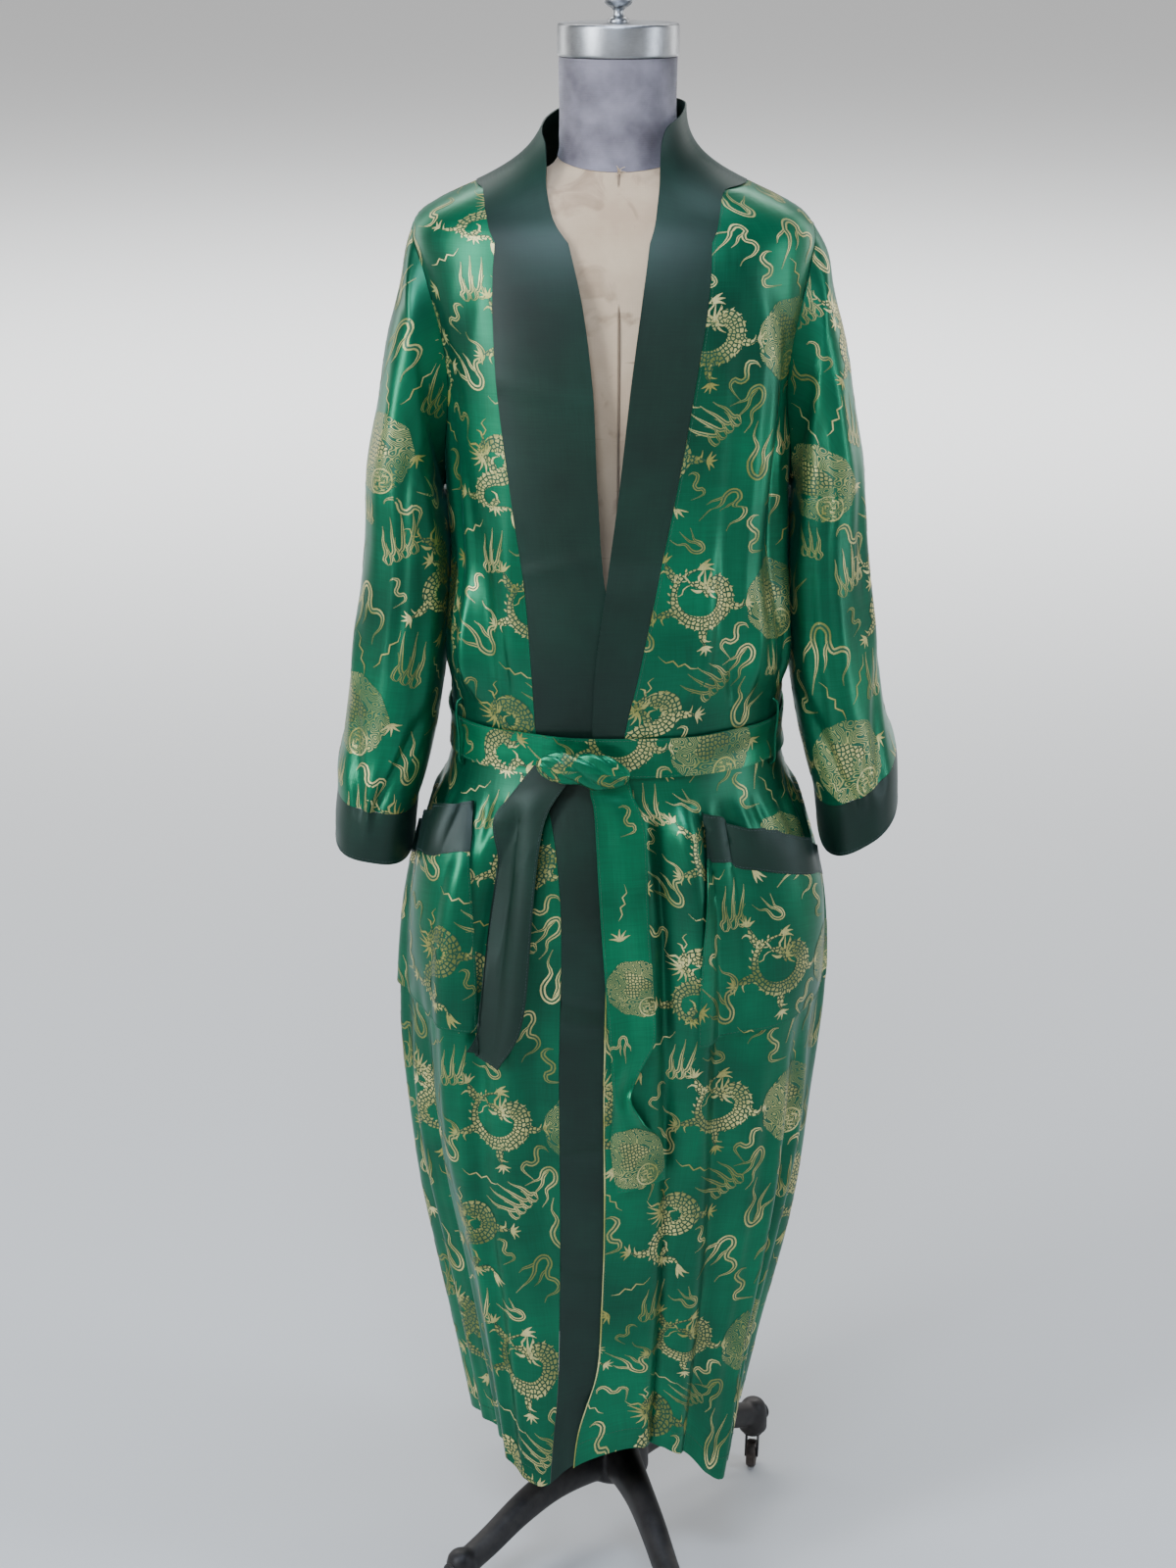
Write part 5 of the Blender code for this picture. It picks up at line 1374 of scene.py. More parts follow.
@dataclass
class MotifBook:
    """The woven figures: flames, tongues, claws, dragons and medallions."""

    def claw(self, toes: int = 5, reach: float = 12.0) -> FlatPattern:
        """Return an open claw pointing up.

        Args:
            toes: how many toes.
            reach: their length in millimetres.

        Returns:
            The figure.
        """
        claw = FlatPattern()
        for toe in range(toes):
            lean = radians(-58 + 116 * toe / (toes - 1))
            long = reach * (0.85 + 0.15 * cos(lean))
            bend = 0.35 * (1 if lean >= 0 else -1)
            claw.ribbon([(0, 0), (0.5 * long * sin(lean), 0.5 * long * cos(lean)),
                         (long * sin(lean + bend * 0.4), long * cos(lean + bend * 0.4))],
                        2.4, SOLID, 0.2, 0.6)
        return claw

    def drawn(self, *strokes: tuple) -> FlatPattern:
        """Return a figure of ribbons, each given as FlatPattern.ribbon takes it.

        Args:
            strokes: its ribbons.

        Returns:
            The figure.
        """
        figure = FlatPattern()
        for stroke in strokes:
            figure.ribbon(*stroke)
        return figure

    def laid(self, *copies: tuple) -> FlatPattern:
        """Return a pattern of figures, each given as FlatPattern.place takes it.

        Args:
            copies: its figures.

        Returns:
            The pattern.
        """
        pattern = FlatPattern()
        for copy in copies:
            pattern.place(*copy)
        return pattern

    def flame(self) -> FlatPattern:
        """Return a looped arch with three wavy tails."""
        return self.drawn(
            ([(-25, -30), (-19, -19), (-13, -10), (-9, 1), (-9, 12), (-4, 20), (3, 21), (7, 14), (5, 5),
              (7, -3), (15, -4), (20, -10), (17, -19), (9, -26), (7, -34)], 5.4, OUTLINE, 0.3, 0.3),
            ([(-9, 12), (-15, 7), (-21, 3), (-25, -4)], 3.6, OUTLINE, 0.2, 0.6),
            ([(5, 7), (0, 0), (-2, -9), (-7, -16)], 3.2, OUTLINE, 0.2, 0.6))

    def curl(self) -> FlatPattern:
        """Return a single S-shaped flame."""
        return self.drawn(([(-9, 17), (-3, 19), (3, 15), (1, 8), (-3, 2), (0, -4), (7, -5), (8, -12),
                            (0, -16), (-10, -19)], 5.0, OUTLINE, 0.25, 0.4))

    def tongues(self, count: int = 4) -> FlatPattern:
        """Return a row of pointed, wavy tongues rising from a shared curl.

        Args:
            count: how many tongues.

        Returns:
            The figure.
        """
        tongues = FlatPattern()
        for number in range(count):
            x = 9.0 * (number - 0.5 * (count - 1))
            tall = 30.0 - 5.0 * abs(number - 0.4 * count)
            lean = 2.0 + 2.5 * number
            tongues.ribbon([(x - 2, -14), (x - 4, -7), (x, -0.15 * tall), (x - 1 + lean, 0.35 * tall),
                            (x + 3 + lean, 0.72 * tall), (x + 5 + lean, tall)], 3.8, OUTLINE, 0.2, 0.6)
            tongues.ribbon([(x - 2, -14), (x + 3, -13), (x + 4, -6), (x + 3, 0), (x + 2 + lean, 0.3 * tall)],
                           3.2, OUTLINE, 0.3, 0.6)
        return tongues

    def pair(self) -> FlatPattern:
        """Return two long flames that share a foot."""
        return self.drawn(
            ([(-6, 28), (-9, 16), (-5, 6), (-11, -6), (-9, -16), (-2, -20), (4, -14), (5, -4), (12, 2),
              (19, 8)], 5.0, OUTLINE, 0.35, 0.4),
            ([(-2, -17), (2, -8), (1, 2), (5, 12), (9, 20)], 3.4, OUTLINE, 0.2, 0.6))

    def whisker(self) -> FlatPattern:
        """Return a thin zigzag whisker."""
        return self.drawn(([(-11, -16), (-5, -11), (-4, -4), (2, -2), (2, 5), (8, 8), (9, 17)],
                           1.2, SOLID, 0.2, 0.3))

    def fret(self) -> FlatPattern:
        """Return a small disc of square key lines.

        Returns:
            The figure.
        """
        fret = FlatPattern()
        turn = np.linspace(0.0, 2.0 * pi, 33)
        fret.disc(np.full(24, 12.6), WINDING, 4)
        fret.ribbon(np.stack([13.4 * np.cos(turn), 13.4 * np.sin(turn)], axis=-1), 1.6, SOLID, 0.0, 0.0,
                    raised=0.0001)
        for line in (((-8, 5), (0, 5), (0, 1), (-5, 1), (-5, -3)),
                     ((8, -5), (0, -5), (0, -1), (5, -1), (5, 3)),
                     ((-8, 1), (-8, -6), (-3, -6), (-3, -9)), ((8, -1), (8, 6), (3, 6), (3, 9)),
                     ((-6, 9), (-2, 9)), ((6, -9), (2, -9))):
            fret.ribbon(line, 1.5, SOLID, 0.0, 0.0, smooth=False, raised=0.0001)
        return fret

    def medallion(self) -> FlatPattern:
        """Return a round of close winding lines with a brighter heart and a fret disc.

        Returns:
            The figure.
        """
        medallion = FlatPattern()
        turn = round_turn(48)
        medallion.disc(43 + 2.5 * np.cos(2 * turn + 0.6) + 1.0 * np.cos(9 * turn), WINDING, 16)
        heart = FlatPattern()
        heart.disc(17 + 4.5 * np.cos(3 * turn) + 2.5 * np.cos(5 * turn + 1.0), SCALES, 7, 0.0001)
        medallion.place(heart, -3, 6)
        medallion.place(self.fret(), 14, -27)
        medallion.place(self.curl(), -22, -22, 30, 0.6)
        return medallion

    def head(self) -> FlatPattern:
        """Return a dragon's head in profile, looking up and left, with horns, mane and jaws.

        Returns:
            The figure.
        """
        head = FlatPattern()
        head.ribbon([(5, -9), (3, -1), (-3, 4), (-10, 5), (-15, 9)], 8.0, SCALES, 0.2, 0.5, 3)
        head.ribbon([(0, -2), (-6, -3), (-12, 0)], 3.2, SOLID, 0.2, 0.5)
        head.ribbon([(-13, 8), (-17, 12), (-16, 17)], 2.0, SOLID, 0.2, 0.6)
        for tip in ((4, 21), (10, 18), (15, 12), (18, 5), (19, -3), (16, -11)):
            head.ribbon([(3, 0), (0.55 * tip[0] + 1, 0.55 * tip[1] - 2), tip], 2.6, SOLID, 0.15, 0.7)
        head.ribbon([(-2, 4), (-3, 12), (2, 18), (-1, 26)], 2.2, SOLID, 0.2, 0.6)
        head.ribbon([(-14, 9), (-22, 8), (-25, 15), (-32, 13)], 1.1, SOLID, 0.1, 0.4)
        head.ribbon([(-12, 4), (-19, 1), (-22, -6), (-28, -7)], 1.1, SOLID, 0.1, 0.4)
        return head

    def dragon(self, spine: list[tuple[float, float]], legs: tuple[tuple[float, float, float], ...],
               head_turn: float, head_size: float = 1.0) -> FlatPattern:
        """Return a scaled dragon along a spine that starts at its head.

        Args:
            spine: control points in millimetres.
            legs: (share along the spine, side, turn of the claw in degrees).
            head_turn: turn of the head in degrees.
            head_size: size of the head.

        Returns:
            The motif.
        """
        dragon = FlatPattern()
        line = dragon.ribbon(spine, 19.0, SCALES, 0.12, 0.75, 4) / MM
        tangent = unit(np.gradient(line, axis=0))
        side = np.stack([-tangent[:, 1], tangent[:, 0]], axis=-1)
        for index in range(4, len(line) - 4, 2):
            share = index / len(line)
            thick = 8.4 * (1.0 - 0.75 * share)
            root = line[index] + side[index] * thick
            tip = root + side[index] * (4.6 - 2.6 * share) + tangent[index] * 1.6
            dragon.ribbon([root - tangent[index] * 1.2, 0.5 * (root + tip), tip], 1.9, SOLID, 0.1, 0.7, 1)
        for share, hand, turn in legs:
            index = int(share * (len(line) - 1))
            out = side[index] * hand
            root = line[index]
            knee = root + out * 13 + tangent[index] * 3
            lean = radians(turn)
            foot = knee + np.array([cos(lean), sin(lean)]) * 11
            dragon.ribbon([root, knee, foot], 8.0, SCALES, 0.1, 0.5, 3)
            dragon.place(self.claw(5, 11.0), float(foot[0]), float(foot[1]), turn - 90)
            dragon.ribbon([knee, knee + out * 6 - tangent[index] * 3, knee + out * 7 - tangent[index] * 9],
                          2.2, SOLID, 0.2, 0.7)
        for spread_turn in (-0.5, 0.0, 0.5):
            lean = atan2(tangent[-1, 1], tangent[-1, 0]) + spread_turn
            tip = line[-1] + 13 * np.array([cos(lean), sin(lean)])
            dragon.ribbon([line[-3], 0.5 * (line[-1] + tip) + 1.5 * side[-1], tip], 3.0, SOLID, 0.2, 0.6)
        dragon.place(self.head(), float(line[0, 0]), float(line[0, 1]), head_turn, head_size)
        return dragon

    def dragons(self) -> tuple[FlatPattern, FlatPattern, FlatPattern]:
        """Return a climbing, a looking-back and a coiled dragon.

        Returns:
            The three figures.
        """
        climbing = self.dragon(
            [(-6, 40), (8, 34), (14, 22), (6, 10), (-8, 2), (-13, -10), (-5, -22), (9, -28), (14, -40),
             (4, -52)],
            ((0.18, -1, 150), (0.34, 1, 20), (0.6, -1, 200), (0.78, 1, -30)), -15)
        looking_back = self.dragon(
            [(10, 26), (-2, 36), (-17, 32), (-22, 18), (-12, 6), (4, 2), (16, -8), (15, -24), (2, -32),
             (-12, -30), (-20, -40)],
            ((0.3, -1, 185), (0.46, 1, 60), (0.66, 1, 10), (0.8, -1, -80)), -60)
        coiled = self.dragon(
            [(0, 12), (14, 22), (28, 14), (30, -4), (18, -20), (-2, -25), (-20, -16), (-27, 2), (-20, 20),
             (-6, 32)],
            ((0.28, 1, 30), (0.48, 1, -60), (0.66, 1, 215), (0.84, 1, 130)), 20)
        return climbing, looking_back, coiled

    def narrow(self) -> FlatPattern:
        """Return the figures that fall on the belt's narrow end."""
        return self.laid(
            (self.medallion(), 152, 34, 0, 0.8),
            (self.flame(), 140, 158, -20, 0.5, True),
            (self.medallion(), 161, 218, 0, 0.72),
            (self.claw(5, 13), 146, 268, 10),
            (self.whisker(), 150, 308, 20),
            (self.curl(), 160, 390, 0, 0.8),
        )

    def repeat(self) -> FlatPattern:
        """Return one repeat of the cloth, 300 mm by 270 mm."""
        climbing, looking_back, coiled = self.dragons()
        flame, curl, pair = self.flame(), self.curl(), self.pair()
        four, three, whisker = self.tongues(4), self.tongues(3), self.whisker()
        return self.laid(
            (self.medallion(), 51, 62),
            (climbing, 132, 196, 8),
            (looking_back, 214, 70, 0, 1.0, True),
            (coiled, 254, 208, -20, 0.95),
            (flame, 50, 170, 10, 1.1),
            (four, 84, 236, 25, 1.05),
            (pair, 16, 226, 0, 1.15),
            (flame, 196, 178, 200, 0.95, True),
            (three, 112, 116, -20, 1.15, True),
            (curl, 152, 70, 0, 1.15),
            (pair, 126, 22, 15, 1.1, True),
            (curl, 14, 132, 20, 1.05, True),
            (four, 272, 122, 40, 1.0, True),
            (flame, 286, 36, -15, 0.95),
            (three, 205, 256, 10),
            (curl, 172, 128, 60, 0.95),
            (whisker, 84, 132, 0, 1.2),
            (whisker, 232, 144, 40, 1.1, True),
            (whisker, 180, 12, -30, 1.1),
            (self.claw(5, 13), 162, 250, 120),
            (self.claw(5, 13), 98, 62, 200),
            (pair, 0, 4, 160, 0.95),
            (curl, 92, 2, 50, 1.15),
            (three, 46, 266, -10, 0.8, True),
            (curl, 292, 164, -30, 1.0, True),
            (curl, 88, 190, 15, 0.75),
            (pair, 248, 264, 70, 0.7),
            (whisker, 50, 124, 60, 1.2),
            (curl, 182, 224, -20, 0.75, True),
            (curl, 252, 62, 10, 0.75),
            (whisker, 146, 112, 10, 0.9, True),
        )


REPEAT_WIDE = 0.3
REPEAT_TALL = 0.27
# The belt's end is shorter than this, so its figures come once
BELT_TALL = 0.6


@dataclass
class BrocadeLayer:
    """The gold weft of one piece of cloth, laid from the repeat."""

    repeat: tuple[Array, Array, Array, Array, Array]
    tall: float = REPEAT_TALL

    def lay(self, name: str, grid: ClothGrid, shift: tuple[float, float],
            lift: float = BROCADE_LIFT) -> Thing:
        """Lay the repeat over a piece.

        Args:
            name: the object's name.
            grid: the cloth.
            shift: where the repeat starts, across and along, in metres.
            lift: how far the weft stands proud.

        Returns:
            The brocade.
        """
        flat, places, faces, which, raised = self.repeat
        low = np.array([grid.across.min(), grid.along[0]])
        high = np.array([grid.across.max(), grid.along[-1]])
        size = np.array([REPEAT_WIDE, self.tall])
        start = np.floor((low - shift) / size).astype(int) - 1
        end = np.ceil((high - shift) / size).astype(int) + 1
        all_points, all_places, all_faces, all_which = [], [], [], []
        count = 0
        for column in range(start[0], end[0]):
            for row in range(start[1], end[1]):
                drop = 0.5 * self.tall * (column % 2)
                moved = flat + np.array([column * REPEAT_WIDE, row * self.tall + drop]) + shift
                placed, inside = grid.place(moved, lift)
                keep = inside[faces].any(axis=1)
                if not keep.any():
                    continue
                placed = placed + self.rise(grid, moved, raised)
                used = np.unique(faces[keep])
                number = np.full(len(flat), -1)
                number[used] = np.arange(len(used)) + count
                all_points.append(placed[used])
                all_places.append(places[used])
                all_faces.append(number[faces[keep]])
                all_which.append(which[keep])
                count += len(used)
        return build_object(name, np.concatenate(all_points), np.concatenate(all_faces),
                            np.concatenate(all_places), BROCADE_FINISHES,
                            np.concatenate(all_which))

    def rise(self, grid: ClothGrid, moved: Array, raised: Array) -> Array:
        """Return the extra shift of the motifs that lie over others.

        Args:
            grid: the cloth.
            moved: the motifs' flat points.
            raised: how far each is raised.

        Returns:
            The shift in space.
        """
        if not raised.any():
            return np.zeros((len(moved), 3))
        high, _ = grid.place(moved, 1.0)
        low, _ = grid.place(moved, 0.0)
        return (high - low) * raised[:, None]


class Piece(NamedTuple):
    """How a cloth piece was cut, its finish, where it rests and where its woven repeat starts."""

    width: float
    length: float
    slot: Slot
    thickness: float
    rests_on: tuple[str, ...]
    area: float | None = None
    shift: tuple[float, float] | None = None
    held: str = "hung"
    skirt: tuple[str, ...] = ()


POCKET_BAND = 0.046
FORM = ("form_torso_canvas",)
KNOT = ("belt_knot_cloth",)
GOLD, PLAIN = Slot.BROCADE, Slot.DARK
PIECES = {
    "front_right": Piece(0.28, 1.42, GOLD, SHELL, FORM, 0.267, (0.105, 0.05), "hung",
                         ("front_right_skirt",)),
    "front_left": Piece(0.365, 1.44, GOLD, SHELL, FORM, 0.368, (-0.02, 0.075), "hung",
                        ("front_left_skirt",)),
    "back": Piece(0.63, 1.32, GOLD, SHELL, FORM, 0.695, (0.08, 0.02), "hung", ("back_skirt",)),
    "collar_right": Piece(0.11, 1.54, PLAIN, BAND_SHELL, FORM, 0.137),
    "collar_left": Piece(0.115, 0.78, PLAIN, BAND_SHELL, FORM, 0.056),
    "collar_left_lower": Piece(0.06, 0.73, PLAIN, SHELL, ("collar_left_cloth",), 0.042),
    "sleeve_right": Piece(0.42, 0.63, GOLD, SHELL, FORM, 0.195, (0.02, 0.03)),
    "sleeve_left": Piece(0.42, 0.63, GOLD, SHELL, FORM, 0.195, (0.13, 0.11)),
    "cuff_right": Piece(0.475, 0.055, PLAIN, BAND_SHELL, ("sleeve_right_cloth",)),
    "cuff_left": Piece(0.475, 0.055, PLAIN, BAND_SHELL, ("sleeve_left_cloth",)),
    "pocket_right": Piece(0.16, 0.17, GOLD, SHELL, ("front_right_cloth",), None, (0.13, 0.12)),
    "pocket_left": Piece(0.21, 0.155, GOLD, SHELL, ("front_left_cloth",), None, (0.02, -0.01)),
    "pocket_band_right": Piece(0.16, POCKET_BAND, PLAIN, BAND_SHELL, ("pocket_right_cloth",)),
    "pocket_band_left": Piece(0.21, POCKET_BAND, PLAIN, BAND_SHELL, ("pocket_left_cloth",)),
    "belt_waist": Piece(1.0, 0.042, GOLD, BAND_SHELL, ("front_left_cloth", "back_cloth"), None,
                        (0.045, -0.035), "stretched"),
    "belt_knot": Piece(0.094, 0.095, GOLD, SHELL, ("belt_waist_cloth",), 0.0069, (0.03, 0.01), "folded"),
    "belt_tail_right": Piece(0.055, 0.325, PLAIN, CLOTH, KNOT),
    "belt_tail_left": Piece(0.055, 0.45, GOLD, CLOTH, KNOT, 0.02, (-0.15, 0.0)),
}


class Edge(Enum):
    """The edges of a cloth piece."""

    LEFT = "left"
    RIGHT = "right"
    BOTTOM = "bottom"
    TOP = "top"


POCKET_LINES = ((Edge.LEFT, 0.002), (Edge.RIGHT, 0.002), (Edge.BOTTOM, 0.002))
BAND_LINES = ((Edge.TOP, 0.0022), (Edge.BOTTOM, 0.0016))
SEWN_LINES = {
    # piece: edges and how far in from them the stitches run
    "front_right": ((Edge.BOTTOM, 0.018),),
    "front_left": ((Edge.BOTTOM, 0.018), (Edge.LEFT, 0.0025)),
    "back": ((Edge.BOTTOM, 0.018),),
    "pocket_right": POCKET_LINES,
    "pocket_left": POCKET_LINES,
    "pocket_band_right": BAND_LINES,
    "pocket_band_left": BAND_LINES,
    "belt_waist": BAND_LINES,
    "belt_tail_right": POCKET_LINES,
    "belt_tail_left": POCKET_LINES,
    "cuff_right": ((Edge.BOTTOM, 0.003),),
    "cuff_left": ((Edge.BOTTOM, 0.003),),
    "collar_left_lower": ((Edge.LEFT, 0.003),),
}


@dataclass(frozen=True)
class Sewing:
    """Lays stitches and selvages along the edges of a cloth piece."""

    pitch: float = 0.0034
    length: float = 0.0024
    width: float = 0.00045
    proud: float = 0.0004

    def run(self, grid: ClothGrid, edge: Edge, inset: float) -> Array:
        """Return flat points along an edge.

        Args:
            grid: the cloth.
            edge: which edge.
            inset: how far in from it.

        Returns:
            Points as (across, along) in metres.
        """
        if edge in (Edge.BOTTOM, Edge.TOP):
            at_end = edge is Edge.TOP
            level = grid.along[-1] - inset if at_end else grid.along[0] + inset
            row = grid.across[-1 if at_end else 0]
            across = np.linspace(row[0] + 0.001, row[-1] - 0.001, 400)
            return np.stack([across, np.full(400, level)], axis=-1)
        column = grid.across[:, 0] + inset if edge is Edge.LEFT else grid.across[:, -1] - inset
        return np.stack([column, grid.along], axis=-1)

    def stitch(self, name: str, grid: ClothGrid, lines: tuple, finish: SewingThread) -> Thing:
        """Make a piece's stitches.

        Args:
            name: the object's name.
            grid: the cloth.
            lines: edges and insets.
            finish: the thread.

        Returns:
            The stitches.
        """
        corners = []
        for edge, inset in lines:
            path = self.run(grid, edge, inset)
            run = run_along(path)
            place = np.arange(0.5 * self.pitch, run[-1] - self.length, self.pitch)
            ends = [np.stack([np.interp(place + step, run, path[:, k]) for k in (0, 1)], axis=-1)
                    for step in (0.0, self.length)]
            ahead = unit(ends[1] - ends[0])
            side = np.stack([-ahead[:, 1], ahead[:, 0]], axis=-1) * 0.5 * self.width
            corners.append(np.stack([ends[0] - side, ends[1] - side, ends[1] + side, ends[0] + side], axis=1))
        flat = np.concatenate(corners).reshape(-1, 2)
        low, inside = grid.place(flat, -0.0001)
        middle = 0.25 * flat.reshape(-1, 4, 2).sum(axis=1, keepdims=True)
        high, _ = grid.place((middle + (flat.reshape(-1, 4, 2) - middle) * 0.7).reshape(-1, 2), self.proud)
        kept = inside.reshape(-1, 4).all(axis=1)
        number = np.arange(len(flat)).reshape(-1, 4)[kept]
        count = len(flat)
        faces = [number + count]
        for first, second in ((0, 1), (1, 2), (2, 3), (3, 0)):
            faces.append(np.stack([number[:, first], number[:, second], number[:, second] + count,
                                   number[:, first] + count], axis=1))
        return build_object(name, np.concatenate([low, high]), np.concatenate(faces),
                            np.concatenate([flat, flat]), [finish])

    def selvage(self, name: str, grid: ClothGrid, edge: Edge, top: float) -> Thing:
        """Make a thin gold selvage along an upright edge.

        Args:
            name: the object's name.
            grid: the cloth.
            edge: its left or right edge.
            top: the cloth level where it ends.

        Returns:
            The selvage.
        """
        path = self.run(grid, edge, 0.0003)
        path = path[path[:, 1] < top]
        wander = 0.0005 + 0.0004 * np.sin(path[:, 1] * 61.0) * np.sin(path[:, 1] * 23.0)
        inward = (1.0 if edge is Edge.LEFT else -1.0) * (0.0008 + wander)
        flat = np.stack([path, path + np.stack([inward, 0.0 * inward], axis=-1)], axis=1)
        points, _ = grid.place(flat.reshape(-1, 2), self.proud)
        number = np.arange(len(points)).reshape(-1, 2)
        order = (0, 1) if edge is Edge.LEFT else (1, 0)
        faces = np.stack([number[:-1, order[0]], number[:-1, order[1]], number[1:, order[1]],
                          number[1:, order[0]]], axis=1)
        places = np.stack([flat.reshape(-1, 2)[:, 1], np.full(len(points), 0.5)], axis=-1)
        return build_object(name, points, faces, places, [GOLD_SOLID])


@dataclass
class RobeBuilder:
    """Builds and dresses every cloth piece of the robe."""

    surface: RobeSurface = field(default_factory=RobeSurface)
    brocade: BrocadeLayer = field(default_factory=lambda: BrocadeLayer(MotifBook().repeat().joined()))
    narrow: BrocadeLayer = field(
        default_factory=lambda: BrocadeLayer(MotifBook().narrow().joined(), BELT_TALL))
    sewing: Sewing = Sewing()
    band_creases: tuple[tuple[float, float, float], ...] = (
        (0.772, 0.006, 0.0016), (0.684, -0.008, -0.0018), (0.668, -0.005, 0.0016), (0.532, 0.007, 0.0018),
        (0.395, -0.006, -0.0015), (0.262, 0.008, 0.0016), (1.135, 0.01, 0.001), (1.3, -0.012, 0.0009))

    def dress(self, node: str, grid: ClothGrid, pattern: ClothGrid | None = None) -> None:
        """Make one cloth piece with its weft and its stitches, and state its cut.

        Args:
            node: the CAD node that it replaces.
            grid: its outer points.
            pattern: the same cloth's grid along its grain, where that differs.
        """
        piece = PIECES[node]
        finish = DARK_SATIN
        if piece.slot is Slot.BROCADE:
            # Belt pieces take the lighter satin copy, whose lighter colour is a painted sheen
            finish = PAINTED_SHEEN_BELT_SATIN if node.startswith("belt") else GREEN_SATIN
        cloth = register(grid.shell(node + "_cloth", piece.thickness, finish), piece.slot, "root", node,
                         *piece.skirt)
        if piece.shift is not None:
            layer = self.narrow if node == "belt_tail_left" else self.brocade
            gold = layer.lay(node + "_gold_weft", pattern or grid, piece.shift)
            register(gold, piece.slot, "root")
        if node in SEWN_LINES:
            thread = THREAD_GREEN if piece.slot is Slot.BROCADE else THREAD_DARK
            stitches = self.sewing.stitch(node + "_stitches", grid, SEWN_LINES[node], thread)
            register(stitches, piece.slot, "root")
        widths = grid.across[:, -1] - grid.across[:, 0]
        LOG.info("%s: widest %.3f m, %.3f m long, %.4f m2", node, widths.max(), grid.along[-1],
                 float(np.trapz(widths, grid.along)))

    def neck_seam(self, rows: tuple[NeckRow, ...], sign: int, height: Array) -> Array:
        """Return the band seam's angle between the front and the shoulder.

        Args:
            rows: the neck's table.
            sign: -1 for the right side, 1 for the left.
            height: the heights.

        Returns:
            Angles in radians.
        """
        start = EDGE_ROWS[-1].height
        column = "left_seam" if sign > 0 else "right_seam"
        heights = [start] + [row.seam_height for row in rows[:4]]
        first = abs(float(self.surface.edge(column, np.array([start]))[0]))
        angles = [first] + [radians(abs(row.seam_angle)) for row in rows[:4]]
        return sign * np.interp(height, heights, angles)

    def front_right(self) -> None:
        """Make the wearer's right front."""
        surface = self.surface
        height = surface.panel_heights()
        neck = self.neck_seam(NECK_ROWS_RIGHT, -1, height)
        edge = np.where(height > EDGE_ROWS[-1].height, neck, surface.edge("right_seam", height))
        edge = np.maximum(edge - surface.seam_angle(height), -surface.side_angle(height) + 0.02)
        angle = spread(-surface.side_angle(height), edge, 70)
        level = np.broadcast_to(height[:, None], angle.shape)
        self.dress("front_right", surface.grid(angle, level, np.zeros(angle.shape), -45.0))

    def front_left(self) -> None:
        """Make the wearer's left front, which laps over the right one."""
        surface = self.surface
        height = surface.panel_heights()
        neck = self.neck_seam(NECK_ROWS_LEFT, 1, height)
        upper = np.where(height > EDGE_ROWS[-1].height, neck, surface.edge("left_seam", height))
        below = soft_step((WAIST_MIDDLE - height) / 0.04)
        x = along_table(EDGE_ROWS, "left_seam", height) * (1.0 - below)
        x = x + along_table(EDGE_ROWS, "left_free", height) * below
        edge = np.where(height > WAIST_MIDDLE, upper, surface.front_angle(x, height))
        edge = np.minimum(edge + surface.seam_angle(height), surface.side_angle(height) - 0.02)
        angle = spread(edge, surface.side_angle(height), 84)
        level = np.broadcast_to(height[:, None], angle.shape)
        grid = surface.grid(angle, level, surface.lap_lift(angle, level), 45.0)
        self.dress("front_left", grid)
        register(self.sewing.selvage("front_left_selvage", grid, Edge.LEFT, 0.74), Slot.BROCADE, "root")

    def back(self) -> None:
        """Make the back, cut away under the neck band."""
        surface = self.surface
        height = surface.panel_heights()
        side = surface.side_angle(height, "back")
        angle = spread(side, 2.0 * pi - side, 150)
        level = np.broadcast_to(height[:, None], angle.shape).copy()
        seam_angles = np.radians([90, 122, 152, 180])
        seam_heights = [row.seam_height for row in NECK_ROWS_LEFT[3:]]
        limit = np.interp(pi - np.abs(angle - pi), seam_angles, seam_heights) - SEAM
        squeeze = (limit - SHOULDER_TIP) / (PANEL_TOP - SHOULDER_TIP)
        level = np.where(level > SHOULDER_TIP, SHOULDER_TIP + (level - SHOULDER_TIP) * squeeze, level)
        self.dress("back", surface.grid(angle, level, np.zeros(angle.shape), 180.0))

    def band_lines(self, heights: Array, sign: int, neck_rows: tuple[NeckRow, ...]) -> Array:
        """Return the band's edges as rows of seam angle, seam height, free angle, free height.

        Args:
            heights: the levels down the front.
            sign: -1 for the right side, 1 for the left.
            neck_rows: its table round the neck.

        Returns:
            The rows, from the hem to the nape.
        """
        surface = self.surface
        side = "left" if sign > 0 else "right"
        front = np.stack([surface.edge(side + "_seam", heights), heights,
                          surface.edge(side + "_free", heights), heights], axis=-1)
        neck = np.array(neck_rows)
        neck[:, ::2] = np.radians(neck[:, ::2])
        knots = np.concatenate([front[-1:], neck])
        rows = [front]
        for low, high in zip(knots[:-1], knots[1:]):
            reach = max(abs(high[0] - low[0]) * 0.13, abs(high[3] - low[3]), abs(high[1] - low[1]))
            count = max(2, int(ceil(reach / 0.0055)))
            share = (np.arange(1, count + 1) / count)[:, None]
            rows.append(low * (1.0 - share) + high * share)
        lines = np.concatenate(rows)
        for _ in range(6):
            ends = 0.25 * lines[len(front) - 1:-2] + 0.5 * lines[len(front):-1]
            lines[len(front):-1] = ends + 0.25 * lines[len(front) + 1:]
        return lines

